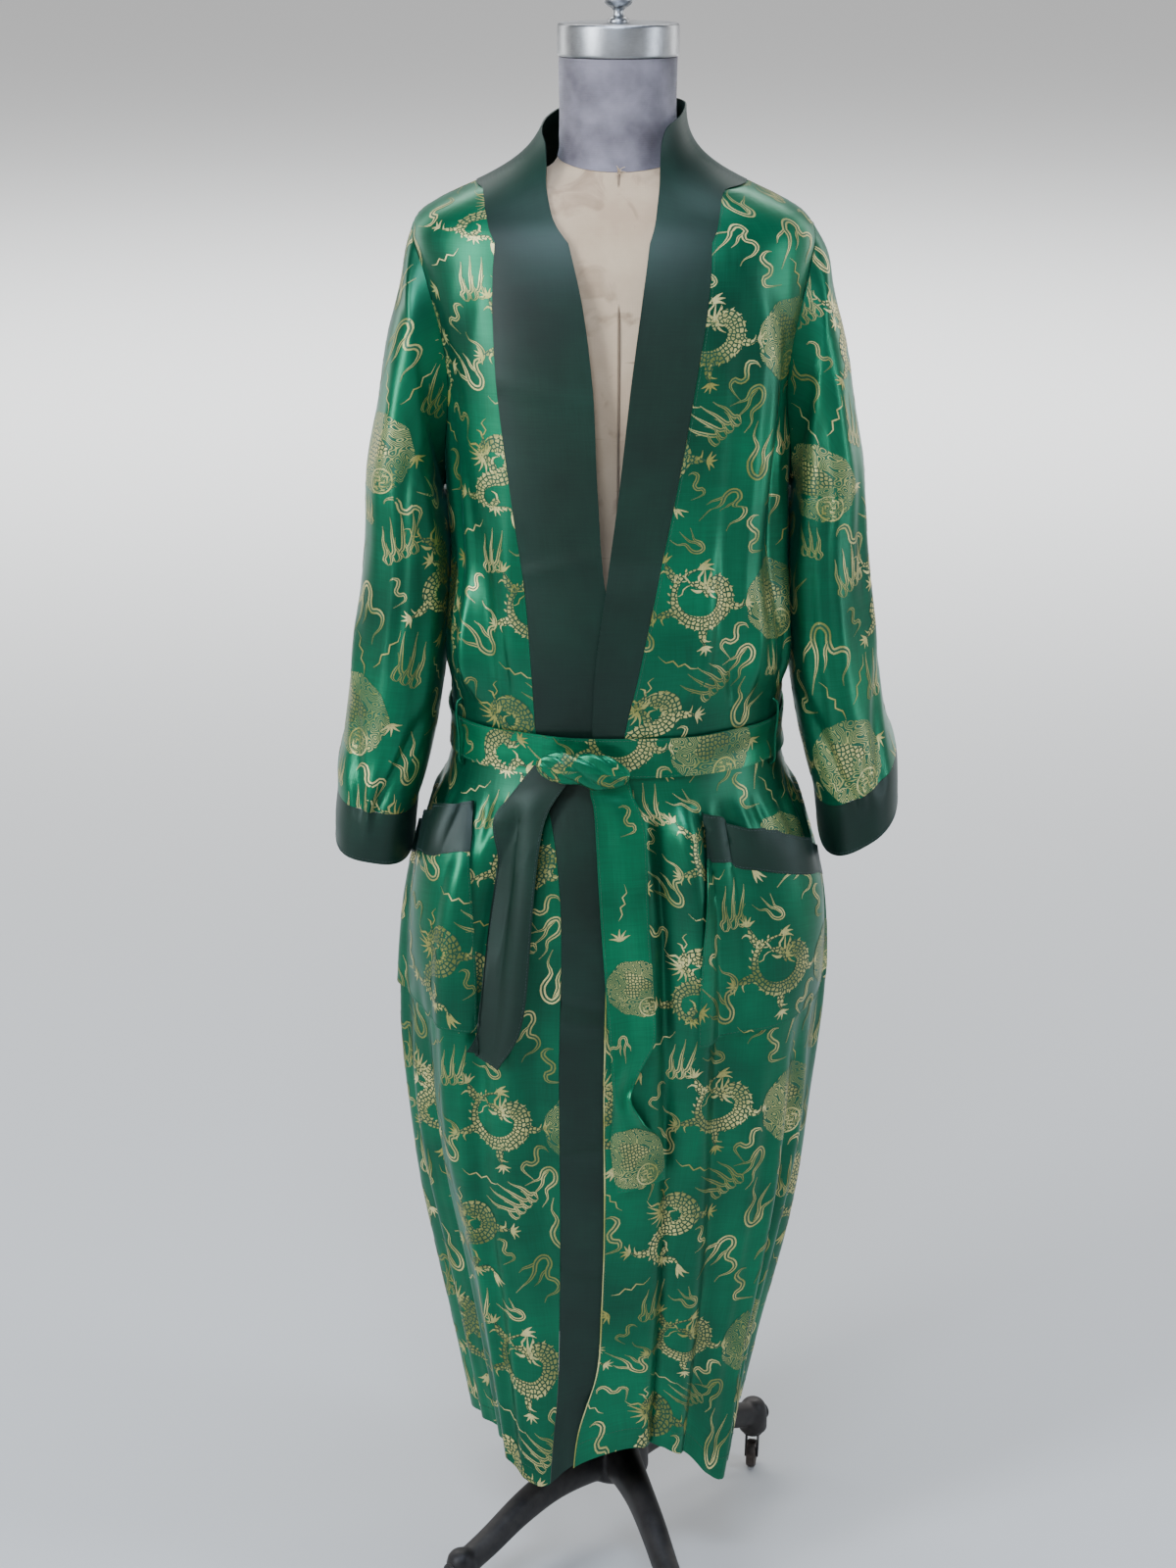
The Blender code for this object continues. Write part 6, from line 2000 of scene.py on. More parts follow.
    def band(self, node: str, heights: Array, sign: int, neck_rows: tuple[NeckRow, ...]) -> None:
        """Make one front and neck band.

        Args:
            node: the CAD node that it replaces.
            heights: the levels down the front.
            sign: -1 for the right side, 1 for the left.
            neck_rows: its table round the neck.
        """
        lines = self.band_lines(heights, sign, neck_rows)
        first, second = (2, 0) if sign > 0 else (0, 2)
        angle = spread(lines[:, first], lines[:, second], 18)
        level = spread(lines[:, first + 1], lines[:, second + 1], 18)
        if sign > 0:
            rise = 0.0008 * soft_step((level - V_BOTTOM) / 0.06)
            lift = np.maximum(self.surface.lap_lift(angle, level), rise)
        else:
            lift = 0.0008 * soft_step((level - V_BOTTOM - 0.02) / 0.06)
            for height, slant, deep in self.band_creases:
                away = (level - height - slant * np.linspace(-1.0, 1.0, 18)[None, :]) / 0.007
                lift = lift + deep * np.exp(-away ** 2)
        self.dress(node, self.surface.grid(angle, level, lift))

    def bands(self) -> None:
        """Make the plain bands down both fronts and round the neck."""
        height = self.surface.panel_heights()
        front = height[height <= EDGE_ROWS[-1].height]
        self.band("collar_right", front, -1, NECK_ROWS_RIGHT)
        self.band("collar_left", front[front >= WAIST_MIDDLE], 1, NECK_ROWS_LEFT)
        lower = height[height < BELT_BOTTOM - 0.01]
        free = along_table(EDGE_ROWS, "left_free", lower)
        edge, inner = [self.surface.front_angle(free + inset, lower) for inset in (0.0015, 0.055)]
        angle = spread(edge, inner, 11)
        level = np.broadcast_to(lower[:, None], angle.shape)
        self.dress("collar_left_lower", self.surface.grid(angle, level, np.full(angle.shape, LAYER + CLOTH)))


class SleeveSection(NamedTuple):
    """One section of a sleeve: tilt is from level, pitch lifts the rear edge."""

    inner_x: float
    inner_z: float
    length: float
    tilt: float
    half_depth: float
    pitch: float


SLEEVE_SECTIONS = tuple(SleeveSection(*row) for row in (
    (0.1715, 1.189, 0.246, 82.1, 0.067, 0.0),
    (0.1722, 1.1872, 0.211, 78.9, 0.073, 0.0),
    (0.1724, 1.185, 0.163, 70.4, 0.078, 0.0),
    (0.172, 1.182, 0.118, 57, 0.082, 0.0),
    (0.171, 1.176, 0.082, 27, 0.085, 0.0),
    (0.1665, 1.135, 0.081, 4, 0.087, 0.0),
    (0.1675, 1.06, 0.088, 2, 0.088, 0.1),
    (0.1755, 0.99, 0.089, 2, 0.089, 0.2),
    (0.186, 0.925, 0.087, 2, 0.089, 0.4),
    (0.195, 0.885, 0.085, 3, 0.089, 0.6),
    (0.201, 0.858, 0.083, 4, 0.089, 0.8),
    (0.205, 0.83, 0.082, 4, 0.088, 0.8),
    (0.208, 0.804, 0.0795, 4, 0.087, 0.8),
))
CUFF_RING = 11
SLEEVE_CREASES = (
    # section from, section to, angle round, half angle, depth
    (4, 9, 62, 34, -0.01),
    (5, 10, 118, 30, -0.007),
    (4, 10, 240, 40, -0.008),
    (6, 10, 300, 30, -0.006),
)


@dataclass(frozen=True)
class SleeveShape:
    """What differs between the sleeves, and the fine creases on each."""

    name: str
    side: int
    pitch_share: float
    end_lift: float
    outer_lift: float
    cap_share: float
    flatten: float
    widen: float
    depth_share: float
    creases: tuple[Fold, ...]


SLEEVE_SHAPES = (
    SleeveShape("right", -1, 0.1, 0.018, 0.008, 0.985, 3.0, 0.005, 1.05, tuple(Fold(*row) for row in (
        (60, 52, 20, 0.0045, 1.36, 1.04, 0.14, 0.1),
        (96, 84, 16, -0.0045, 1.3, 0.98, 0.12, 0.1),
        (124, 130, 16, 0.004, 1.26, 0.92, 0.12, 0.08),
        (30, 76, 13, -0.005, 1.02, 0.86, 0.06, 0.03),
        (140, 86, 13, -0.005, 1.0, 0.86, 0.06, 0.03),
        (84, 82, 10, 0.0045, 0.94, 0.84, 0.05, 0.03),
        (20, 50, 11, 0.0035, 1.1, 0.92, 0.06, 0.05),
        (250, 262, 16, 0.0045, 1.34, 1.0, 0.12, 0.1),
        (284, 276, 16, -0.0045, 1.24, 0.92, 0.12, 0.1),
        (222, 268, 13, -0.0045, 1.02, 0.87, 0.06, 0.03),
        (320, 272, 13, -0.004, 1.0, 0.87, 0.06, 0.03),
        (340, 330, 16, 0.0035, 1.28, 0.96, 0.12, 0.08),
    ))),
    SleeveShape("left", 1, 0.24, 0.026, 0.04, 0.955, 2.6, 0.0, 1.0, tuple(Fold(*row) for row in (
        (64, 56, 20, 0.0045, 1.36, 1.04, 0.14, 0.1),
        (98, 92, 16, -0.0045, 1.32, 0.98, 0.12, 0.1),
        (126, 128, 16, 0.004, 1.28, 0.92, 0.12, 0.08),
        (24, 68, 13, -0.0045, 1.04, 0.88, 0.06, 0.03),
        (146, 96, 13, -0.005, 1.02, 0.87, 0.06, 0.03),
        (84, 90, 10, 0.004, 0.96, 0.86, 0.05, 0.03),
        (36, 26, 12, 0.0035, 1.22, 1.0, 0.08, 0.06),
        (254, 262, 16, 0.0045, 1.32, 1.02, 0.12, 0.1),
        (286, 280, 16, -0.004, 1.24, 0.92, 0.12, 0.1),
        (226, 270, 13, -0.0045, 1.04, 0.88, 0.06, 0.03),
        (316, 276, 13, -0.004, 1.02, 0.87, 0.06, 0.03),
        (338, 334, 16, 0.0035, 1.28, 0.96, 0.12, 0.08),
    ))),
)


@dataclass
class SleeveBuilder:
    """Builds the dropped sleeves and their cuffs."""

    robe: RobeBuilder
    columns: int = 96
    widen_inward: float = 0.25
    round_sections: float = 5.0
    cap_tilt: float = 45.0
    end_pitch: float = 0.8
    end_reach: float = 0.25
    armhole_gap: float = 0.0005

    def root(self, side: int) -> Array:
        """Return the sleeve's root ring on the armhole, from the top, front first.

        Args:
            side: -1 for the right sleeve, 1 for the left.

        Returns:
            The ring's points.
        """
        surface = self.robe.surface
        turn = round_turn(self.columns)
        height = ARM_MIDDLE + ARM_HALF * np.cos(turn)
        depth = surface.armhole_depth(height)
        front = surface.depth_angle(depth, height, "front")
        back = pi - surface.depth_angle(depth, height, "back")
        ring = surface.middle(np.where(turn <= pi, front, back) * side, height)
        ring[:, 0] += side * self.armhole_gap
        return ring

    def ring(self, section: SleeveSection, shape: SleeveShape, number: int) -> Array:
        """Return one hanging section, from its outer edge, front first.

        Args:
            section: its sizes.
            shape: the sleeve's own values.
            number: its place down the sleeve.

        Returns:
            The section's points.
        """
        turn = round_turn(self.columns)
        out = np.cos(turn)
        fore = np.sin(turn)
        reach = 1.0 + (squared(out, fore, shape.flatten) - 1.0) * min(number / self.round_sections, 1.0)
        hanging = section.tilt < self.cap_tilt and number < CUFF_RING
        widen = shape.widen if hanging else 0.0
        half = 0.5 * (section.length + widen)
        for first, final, middle, half_angle, depth in SLEEVE_CREASES:
            if first <= number <= final:
                swell = ridge(np.degrees(turn), middle, half_angle)
                share = sin(pi * (number - first + 0.5) / (final - first + 1.0))
                reach = reach + depth * swell * share / half * np.abs(out)
        lean = radians(section.tilt)
        if section.tilt > self.cap_tilt:
            half = half * shape.cap_share
        along = half * (1.0 + out * reach)
        y = -section.half_depth * shape.depth_share * fore * reach
        rise = shape.pitch_share * section.pitch * y
        lift = (shape.end_lift + shape.outer_lift * along / section.length) * section.pitch / self.end_pitch
        x = section.inner_x - self.widen_inward * widen + along * cos(lean)
        z = section.inner_z + along * sin(lean) + rise + lift
        return np.stack([shape.side * x, y, z], axis=-1)

    def tube(self, shape: SleeveShape) -> tuple[Array, Array]:
        """Return a sleeve's dense rings with their creases, and their coarse ring numbers.

        Args:
            shape: the sleeve's own values.

        Returns:
            The rings from the armhole down, and their numbers.
        """
        rings = [self.root(shape.side)]
        rings += [self.ring(section, shape, number + 1) for number, section in enumerate(SLEEVE_SECTIONS)]
        dense, places = smooth_rows(np.stack(rings), 0.007)
        across = np.roll(dense, -1, axis=1) - np.roll(dense, 1, axis=1)
        normals = unit(np.cross(across, np.gradient(dense, axis=0))) * -shape.side
        outward = np.sign(np.sum(normals * (dense - dense.mean(axis=1, keepdims=True)), axis=-1).mean())
        turn = round_turn(self.columns)
        creases = RobeSurface(folds=shape.creases)
        swell = creases.fold_height(np.broadcast_to(turn, dense.shape[:2]), dense[..., 2])
        near_root = soft_step(places / 5.0)[:, None]
        return dense + normals * outward * (swell * near_root)[..., None], places

    def level_grid(self, dense: Array, side: int) -> ClothGrid:
        """Return a sleeve's cloth as level rows from the cuff up, for its weft.

        Args:
            dense: the sleeve's rings from the armhole down.
            side: -1 for the right sleeve, 1 for the left.

        Returns:
            The grid, open at the armhole and along the inner seam.
        """
        height = dense[..., 2]
        base = height[-1].mean()
        tilt = (height[-1] - base) * (1.0 - soft_step((height - base) / self.end_reach))
        level_of = height - tilt
        levels = np.linspace(base, level_of[0].max() - 0.002, 110)
        columns = dense.shape[1]
        curves = np.array([[np.interp(-levels, -level_of[:, c], dense[:, c, k]) for k in range(3)]
                           for c in range(columns)])
        half = columns // 2
        count = np.arange(half + 1)[::-1]
        root = level_of[0]
        front = np.interp(levels, root[:half + 1][::-1], count)[:, None]
        back = np.interp(levels, np.append(root[half:], root[0]), count)[:, None]
        share = np.linspace(-1.0, 1.0, 97)[None, :]
        place = np.where(share > 0.0, share * front, share * back) % columns
        low = place.astype(int) % columns
        part = (place - np.floor(place))[..., None]
        row = np.broadcast_to(np.arange(len(levels))[:, None], low.shape)
        points = curves[low, :, row] * (1.0 - part) + curves[(low + 1) % columns, :, row] * part
        grid = ClothGrid.from_points(points[:, ::-1] if side > 0 else points)
        rises = np.linalg.norm(np.diff(grid.points, axis=0), axis=-1).mean(axis=1)
        grid.along = np.concatenate([[0.0], np.cumsum(rises)])
        return grid

    def build(self) -> None:
        """Make both sleeves and both cuffs."""
        for shape in SLEEVE_SHAPES:
            dense, places = self.tube(shape)
            level = self.level_grid(dense[places <= CUFF_RING], shape.side)
            if shape.side > 0:
                dense = dense[:, ::-1]
            sleeve = ClothGrid.from_points(dense[places <= CUFF_RING][::-1], closed=True)
            self.robe.dress("sleeve_" + shape.name, sleeve, level)
            end = dense[places >= CUFF_RING].copy()
            end[0] += unit(end[1] - end[0]) * SEAM
            self.robe.dress("cuff_" + shape.name, ClothGrid.from_points(end[::-1], closed=True))


class PocketSize(NamedTuple):
    """A patch pocket: its two upright edges and its four corner heights."""

    name: str
    inner_x: float
    outer_angle: float
    inner_top: float
    outer_top: float
    inner_bottom: float
    outer_bottom: float
    bulge: float


POCKETS = (
    PocketSize("right", -0.14, -80, 0.888, 0.846, 0.655, 0.675, 0.014),
    PocketSize("left", 0.08, 77, 0.888, 0.816, 0.648, 0.682, 0.013),
)


@dataclass
class PocketBuilder:
    """Builds the patch pockets and the plain bands at their mouths."""

    robe: RobeBuilder
    seat: float = 0.002
    columns: int = 36

    def grid(self, pocket: PocketSize, low: float, high: float, rows: int, thickness: float) -> ClothGrid:
        """Return a pocket piece between two shares of its height.

        Args:
            pocket: its sizes.
            low: the lower share.
            high: the upper share.
            rows: rows of points.
            thickness: the solid's thickness.

        Returns:
            The grid.
        """
        surface = self.robe.surface
        across = np.linspace(0.0, 1.0, self.columns)[None, :]
        up = np.linspace(low, high, rows)[:, None]
        top = pocket.inner_top + (pocket.outer_top - pocket.inner_top) * across
        bottom = pocket.inner_bottom + (pocket.outer_bottom - pocket.inner_bottom) * across
        level = bottom + (top - bottom) * up
        inner = surface.front_angle(pocket.inner_x + 0.0 * level, level)
        angle = inner + (radians(pocket.outer_angle) - inner) * across
        swell = np.sin(pi * across) ** 0.8 * np.clip(up, 0.0, 1.0) ** 1.3 * pocket.bulge
        lift = self.seat + thickness + swell
        if pocket.inner_x < 0.0:
            angle, level, lift = angle[:, ::-1], level[:, ::-1], lift[:, ::-1]
        else:
            lift = lift + surface.lap_lift(angle, level)
        return surface.grid(angle, level, lift)

    def build(self) -> None:
        """Make both pockets."""
        for pocket in POCKETS:
            tall = pocket.inner_top - pocket.inner_bottom
            split = 1.0 - POCKET_BAND / tall
            self.robe.dress("pocket_" + pocket.name, self.grid(pocket, 0.0, split, 36, CLOTH))
            band = self.grid(pocket, split + SEAM / tall, 1.0, 10, BAND)
            self.robe.dress("pocket_band_" + pocket.name, band)


class TailRow(NamedTuple):
    """One row of a hanging belt end: left edge, right edge, height, stand-off, twist."""

    left_x: float
    right_x: float
    left_z: float
    right_z: float
    stand_off: float
    twist: float


TAIL_RIGHT = tuple(TailRow(*row) for row in (
    (-0.078, -0.036, 0.934, 0.934, 0.0129, 0.0),
    (-0.098, -0.056, 0.905, 0.905, 0.0132, 0.0),
    (-0.112, -0.068, 0.882, 0.882, 0.013, 0.0),
    (-0.119, -0.075, 0.85, 0.85, 0.011, 0.001),
    (-0.126, -0.082, 0.79, 0.788, 0.01, 0.002),
    (-0.134, -0.09, 0.72, 0.716, 0.011, 0.002),
    (-0.141, -0.098, 0.665, 0.66, 0.013, 0.001),
    (-0.148, -0.11, 0.64, 0.625, 0.014, 0.0),
))
TAIL_LEFT = tuple(TailRow(*row) for row in (
    (-0.028, 0.008, 0.934, 0.934, 0.0129, 0.0),
    (-0.026, 0.014, 0.908, 0.908, 0.0145, 0.0),
    (-0.022, 0.021, 0.885, 0.885, 0.016, 0.0),
    (-0.017, 0.027, 0.8, 0.802, 0.014, -0.001),
    (-0.011, 0.031, 0.71, 0.712, 0.015, -0.002),
    (-0.007, 0.032, 0.65, 0.652, 0.016, -0.003),
    (-0.005, 0.022, 0.62, 0.622, 0.017, -0.007),
    (-0.004, 0.013, 0.596, 0.598, 0.018, 0.0),
    (-0.005, 0.024, 0.572, 0.576, 0.0185, 0.008),
    (-0.006, 0.034, 0.54, 0.556, 0.017, 0.003),
    (0.0, 0.039, 0.492, 0.505, 0.016, 0.0),
))


@dataclass
class BeltBuilder:
    """Builds the belt, its tie, its hanging ends and its thread loops."""

    robe: RobeBuilder
    wall: float = 0.0024
    seat: float = 0.0012
    side_rise: float = 0.01
    lap_middle: float = 0.012
    lap_half: float = 0.055
    lap_fade: float = 0.05
    knot_centre: tuple[float, float] = (-0.032, 0.936)
    knot_half: tuple[float, float, float] = (0.046, 0.009, 0.02)
    knot_stand_off: float = 0.0234
    tail_ripple: float = 0.0017
    loop_radius: float = 0.0013
    loop_angle: float = 60.0

    def waist(self) -> None:
        """Make the belt round the waist, with soft lengthwise creases."""
        surface = self.robe.surface
        turn = np.linspace(-pi, pi, 240, endpoint=False)
        rise = self.side_rise * (1.0 - np.cos(turn)) * 0.5
        share = np.linspace(0.0, 1.0, 12)[:, None]
        level = BELT_BOTTOM + rise + (BELT_TOP - BELT_BOTTOM) * share
        angle = np.broadcast_to(turn, level.shape)
        x = surface.middle(angle, level)[..., 0]
        away = np.abs(x - self.lap_middle) - self.lap_half
        stand = self.seat + (LAP + 0.0004) * (1.0 - soft_step(away / self.lap_fade))
        stand = np.where(np.cos(angle) > 0.0, stand, self.seat)
        crease = 0.0005 * np.sin(9.0 * share + 2.0 * np.sin(2.0 * turn) + 1.3 * np.sin(5.0 * turn))
        points = surface.point(angle, level, stand + self.wall + crease)
        self.robe.dress("belt_waist", ClothGrid.from_points(points, closed=True))

    def knot(self) -> None:
        """Make the tie as a twisted wrap of cloth."""
        surface = self.robe.surface
        x_middle, z_middle = self.knot_centre
        angle = surface.front_angle(np.array([x_middle]), np.array([z_middle]))
        seat = surface.point(angle, np.array([z_middle]), self.knot_stand_off)[0]
        along = np.sin(np.linspace(-1.4, 1.4, 56))[:, None]
        turn = round_turn(72)[None, :]
        girth = np.sqrt(1.0 - along ** 2)
        pinch = 1.0 - 0.22 * np.exp(-(((along + 0.15) / 0.28) ** 2))
        wraps = np.abs(np.sin(2.5 * turn + 5.6 * along + 0.4)) ** 0.6
        fold = 1.0 - 0.3 * (1.0 - wraps)
        half_x, half_y, half_z = self.knot_half
        y = seat[1] - half_y * girth * np.cos(turn) * fold - 0.1 * along * half_x
        z = z_middle + half_z * girth * np.sin(turn) * pinch * fold - 0.004 * along
        x = seat[0] + half_x * along + 0.0 * turn
        points = np.stack([x, y, z], axis=-1)
        self.robe.dress("belt_knot", ClothGrid.from_points(points[::-1], closed=True))

    def tail(self, node: str, rows: tuple[TailRow, ...]) -> None:
        """Make one hanging end of the belt.

        Args:
            node: the CAD node that it replaces.
            rows: its table.
        """
        surface = self.robe.surface
        table = curve_through(np.array(rows)[::-1], 96)
        across = np.linspace(0.0, 1.0, 12)[None, :]
        left_x, right_x, left_z, right_z, stand_off, twist = np.split(table, 6, axis=1)
        x = left_x + (right_x - left_x) * across
        z = left_z + (right_z - left_z) * across
        stand = stand_off + twist * (2.0 * across - 1.0)
        ripple = self.tail_ripple * np.sin(2.2 * pi * across + 14.0 * (z - 0.6))
        ripple = ripple * soft_step((0.92 - z) / 0.05)
        points = surface.point(surface.front_angle(x, z), z, stand + ripple)
        self.robe.dress(node, ClothGrid.from_points(points))

    def loops(self) -> None:
        """Make the thread loops at the sides."""
        surface = self.robe.surface
        for name, side in (("belt_loop_right", -1), ("belt_loop_left", 1)):
            low, high = BELT_BOTTOM - 0.004, BELT_TOP + 0.022
            levels = np.linspace(low, high, 41)
            angle = np.full(levels.shape, side * radians(self.loop_angle))
            share = (levels - 0.5 * (low + high)) / (0.5 * (high - low))
            bow = np.sqrt(np.clip(1.0 - share ** 2, 0.0, 1.0))
            points = surface.point(angle, levels, self.loop_radius + SEAM + 0.008 * bow ** 0.6)
            loop = tube_along(name + "_cord", points, self.loop_radius, GREEN_SATIN)
            register(loop, Slot.BROCADE, "root", name)

    def build(self) -> None:
        """Make the whole belt."""
        self.waist()
        self.knot()
        self.tail("belt_tail_right", TAIL_RIGHT)
        self.tail("belt_tail_left", TAIL_LEFT)
        self.loops()


def tube_along(name: str, points: Array, radius: float, finish: object, sides: int = 12) -> Thing:
    """Make a round cord along points, capped at both ends.

    Args:
        name: the object's name.
        points: the cord's middle line.
        radius: its radius.
        finish: its finish.
        sides: points round it.

    Returns:
        The cord.
    """
    tangent = unit(np.gradient(points, axis=0))
    frame_x = unit(np.cross(tangent, np.array([0.0, 1.0, 0.3])))
    frame_y = np.cross(tangent, frame_x)
    turn = round_turn(sides)
    ring = frame_x[:, None] * np.cos(turn)[None, :, None] + frame_y[:, None] * np.sin(turn)[None, :, None]
    return loft(name, points[:, None] + radius * ring, finish)


def loft(name: str, rings: Array, finish: object, sharp_degrees: float = 55.0) -> Thing:
    """Join closed rings into one body with capped ends, facing outward.

    Args:
        name: the object's name.
        rings: rings by columns by 3.
        finish: its finish.
        sharp_degrees: edges that turn more than this stay sharp.

    Returns:
        The body.
    """
    rows, columns = rings.shape[:2]
    number = np.arange(rows * columns).reshape(rows, columns)
    faces = quads(number, closed=True).tolist()
    faces.append(number[0][::-1].tolist())
    faces.append(number[-1].tolist())
    turn = np.broadcast_to(np.linspace(0.0, 1.0, columns), (rows, columns))
    rise = np.broadcast_to(np.linspace(0.0, 1.0, rows)[:, None], (rows, columns))
    thing = build_object(name, rings.reshape(-1, 3), faces, np.stack([turn, rise], axis=-1).reshape(-1, 2),
                         [finish], sharp_degrees=sharp_degrees)
    return weld(thing, outward=True)


def turned_rings(profile: Array, sides: int = 96) -> Array:
    """Turn (radius, height) pairs about the Z axis into rings.

    Args:
        profile: the pairs in order.
        sides: points round it.

    Returns:
        The rings.
    """
    profile = np.asarray(profile, dtype=float)
    turn = round_turn(sides)
    radius = np.maximum(profile[:, 0:1], 0.00005)
    x = radius * np.cos(turn)
    y = radius * np.sin(turn)
    return np.stack([x, y, np.broadcast_to(profile[:, 1:2], x.shape)], axis=-1)


def rounded_profile(corners: tuple[tuple[float, float], ...], radius: float, steps: int = 5) -> Array:
    """Round the corners of a profile with short arcs.

    Args:
        corners: (radius, height) corners in order.
        radius: the size of the rounding.
        steps: points in each arc.

    Returns:
        The rounded profile.
    """
    corners = np.asarray(corners, dtype=float)
    points = [corners[0]]
    for before, corner, after in zip(corners[:-2], corners[1:-1], corners[2:]):
        into = before - corner
        out = after - corner
        reach = min(radius, 0.45 * float(np.linalg.norm(into)), 0.45 * float(np.linalg.norm(out)))
        start = corner + unit(into) * reach
        end = corner + unit(out) * reach
        for share in np.linspace(0.0, 1.0, steps):
            points.append((1 - share) ** 2 * start + 2 * share * (1 - share) * corner + share ** 2 * end)
    points.append(corners[-1])
    return np.array(points)


def turned(name: str, corners: tuple[tuple[float, float], ...], rounding: float, sides: int,
           finish: object, sharp_degrees: float = 55.0) -> Thing:
    """Turn a body from the corners of its profile.

    Args:
        name: the object's name.
        corners: (radius, height) corners in order.
        rounding: the size of their rounding.
        sides: points round it.
        finish: its finish.
        sharp_degrees: edges that turn more than this stay sharp.

    Returns:
        The body.
    """
    return loft(name, turned_rings(rounded_profile(corners, rounding), sides), finish, sharp_degrees)


class FormRing(NamedTuple):
    """One level section of the dress form."""

    height: float
    half_width: float
    front: float
    back: float


FORM_RINGS = tuple(FormRing(*row) for row in (
    (0.8, 0.136, 0.1, 0.105),
    (0.86, 0.145, 0.106, 0.112),
    (0.92, 0.147, 0.108, 0.112),
    (1.0, 0.138, 0.102, 0.104),
    (1.08, 0.124, 0.094, 0.092),
    (1.15, 0.122, 0.094, 0.088),
    (1.23, 0.134, 0.106, 0.092),
    (1.3, 0.147, 0.112, 0.098),
    (1.37, 0.16, 0.106, 0.106),
))
FORM_SHOULDERS = ((1.425, 0.005), (1.444, 0.0034), (1.46, 0.0022), (1.476, 0.0018))
NECK_RINGS = tuple(FormRing(*row) for row in (
    (1.494, 0.082, 0.066, 0.078),
    (1.504, 0.062, 0.059, 0.062),
    (1.513, 0.0575, 0.0572, 0.0575),
    (1.532, 0.056, 0.056, 0.056),
    (1.603, 0.056, 0.056, 0.056),
))
NECK_TOP = 1.6035
CAP_TOP = 1.635
CAP_RADIUS = 0.0585
FINIAL_LOW = CAP_TOP + SEAM
FINIAL_TOP = 1.673


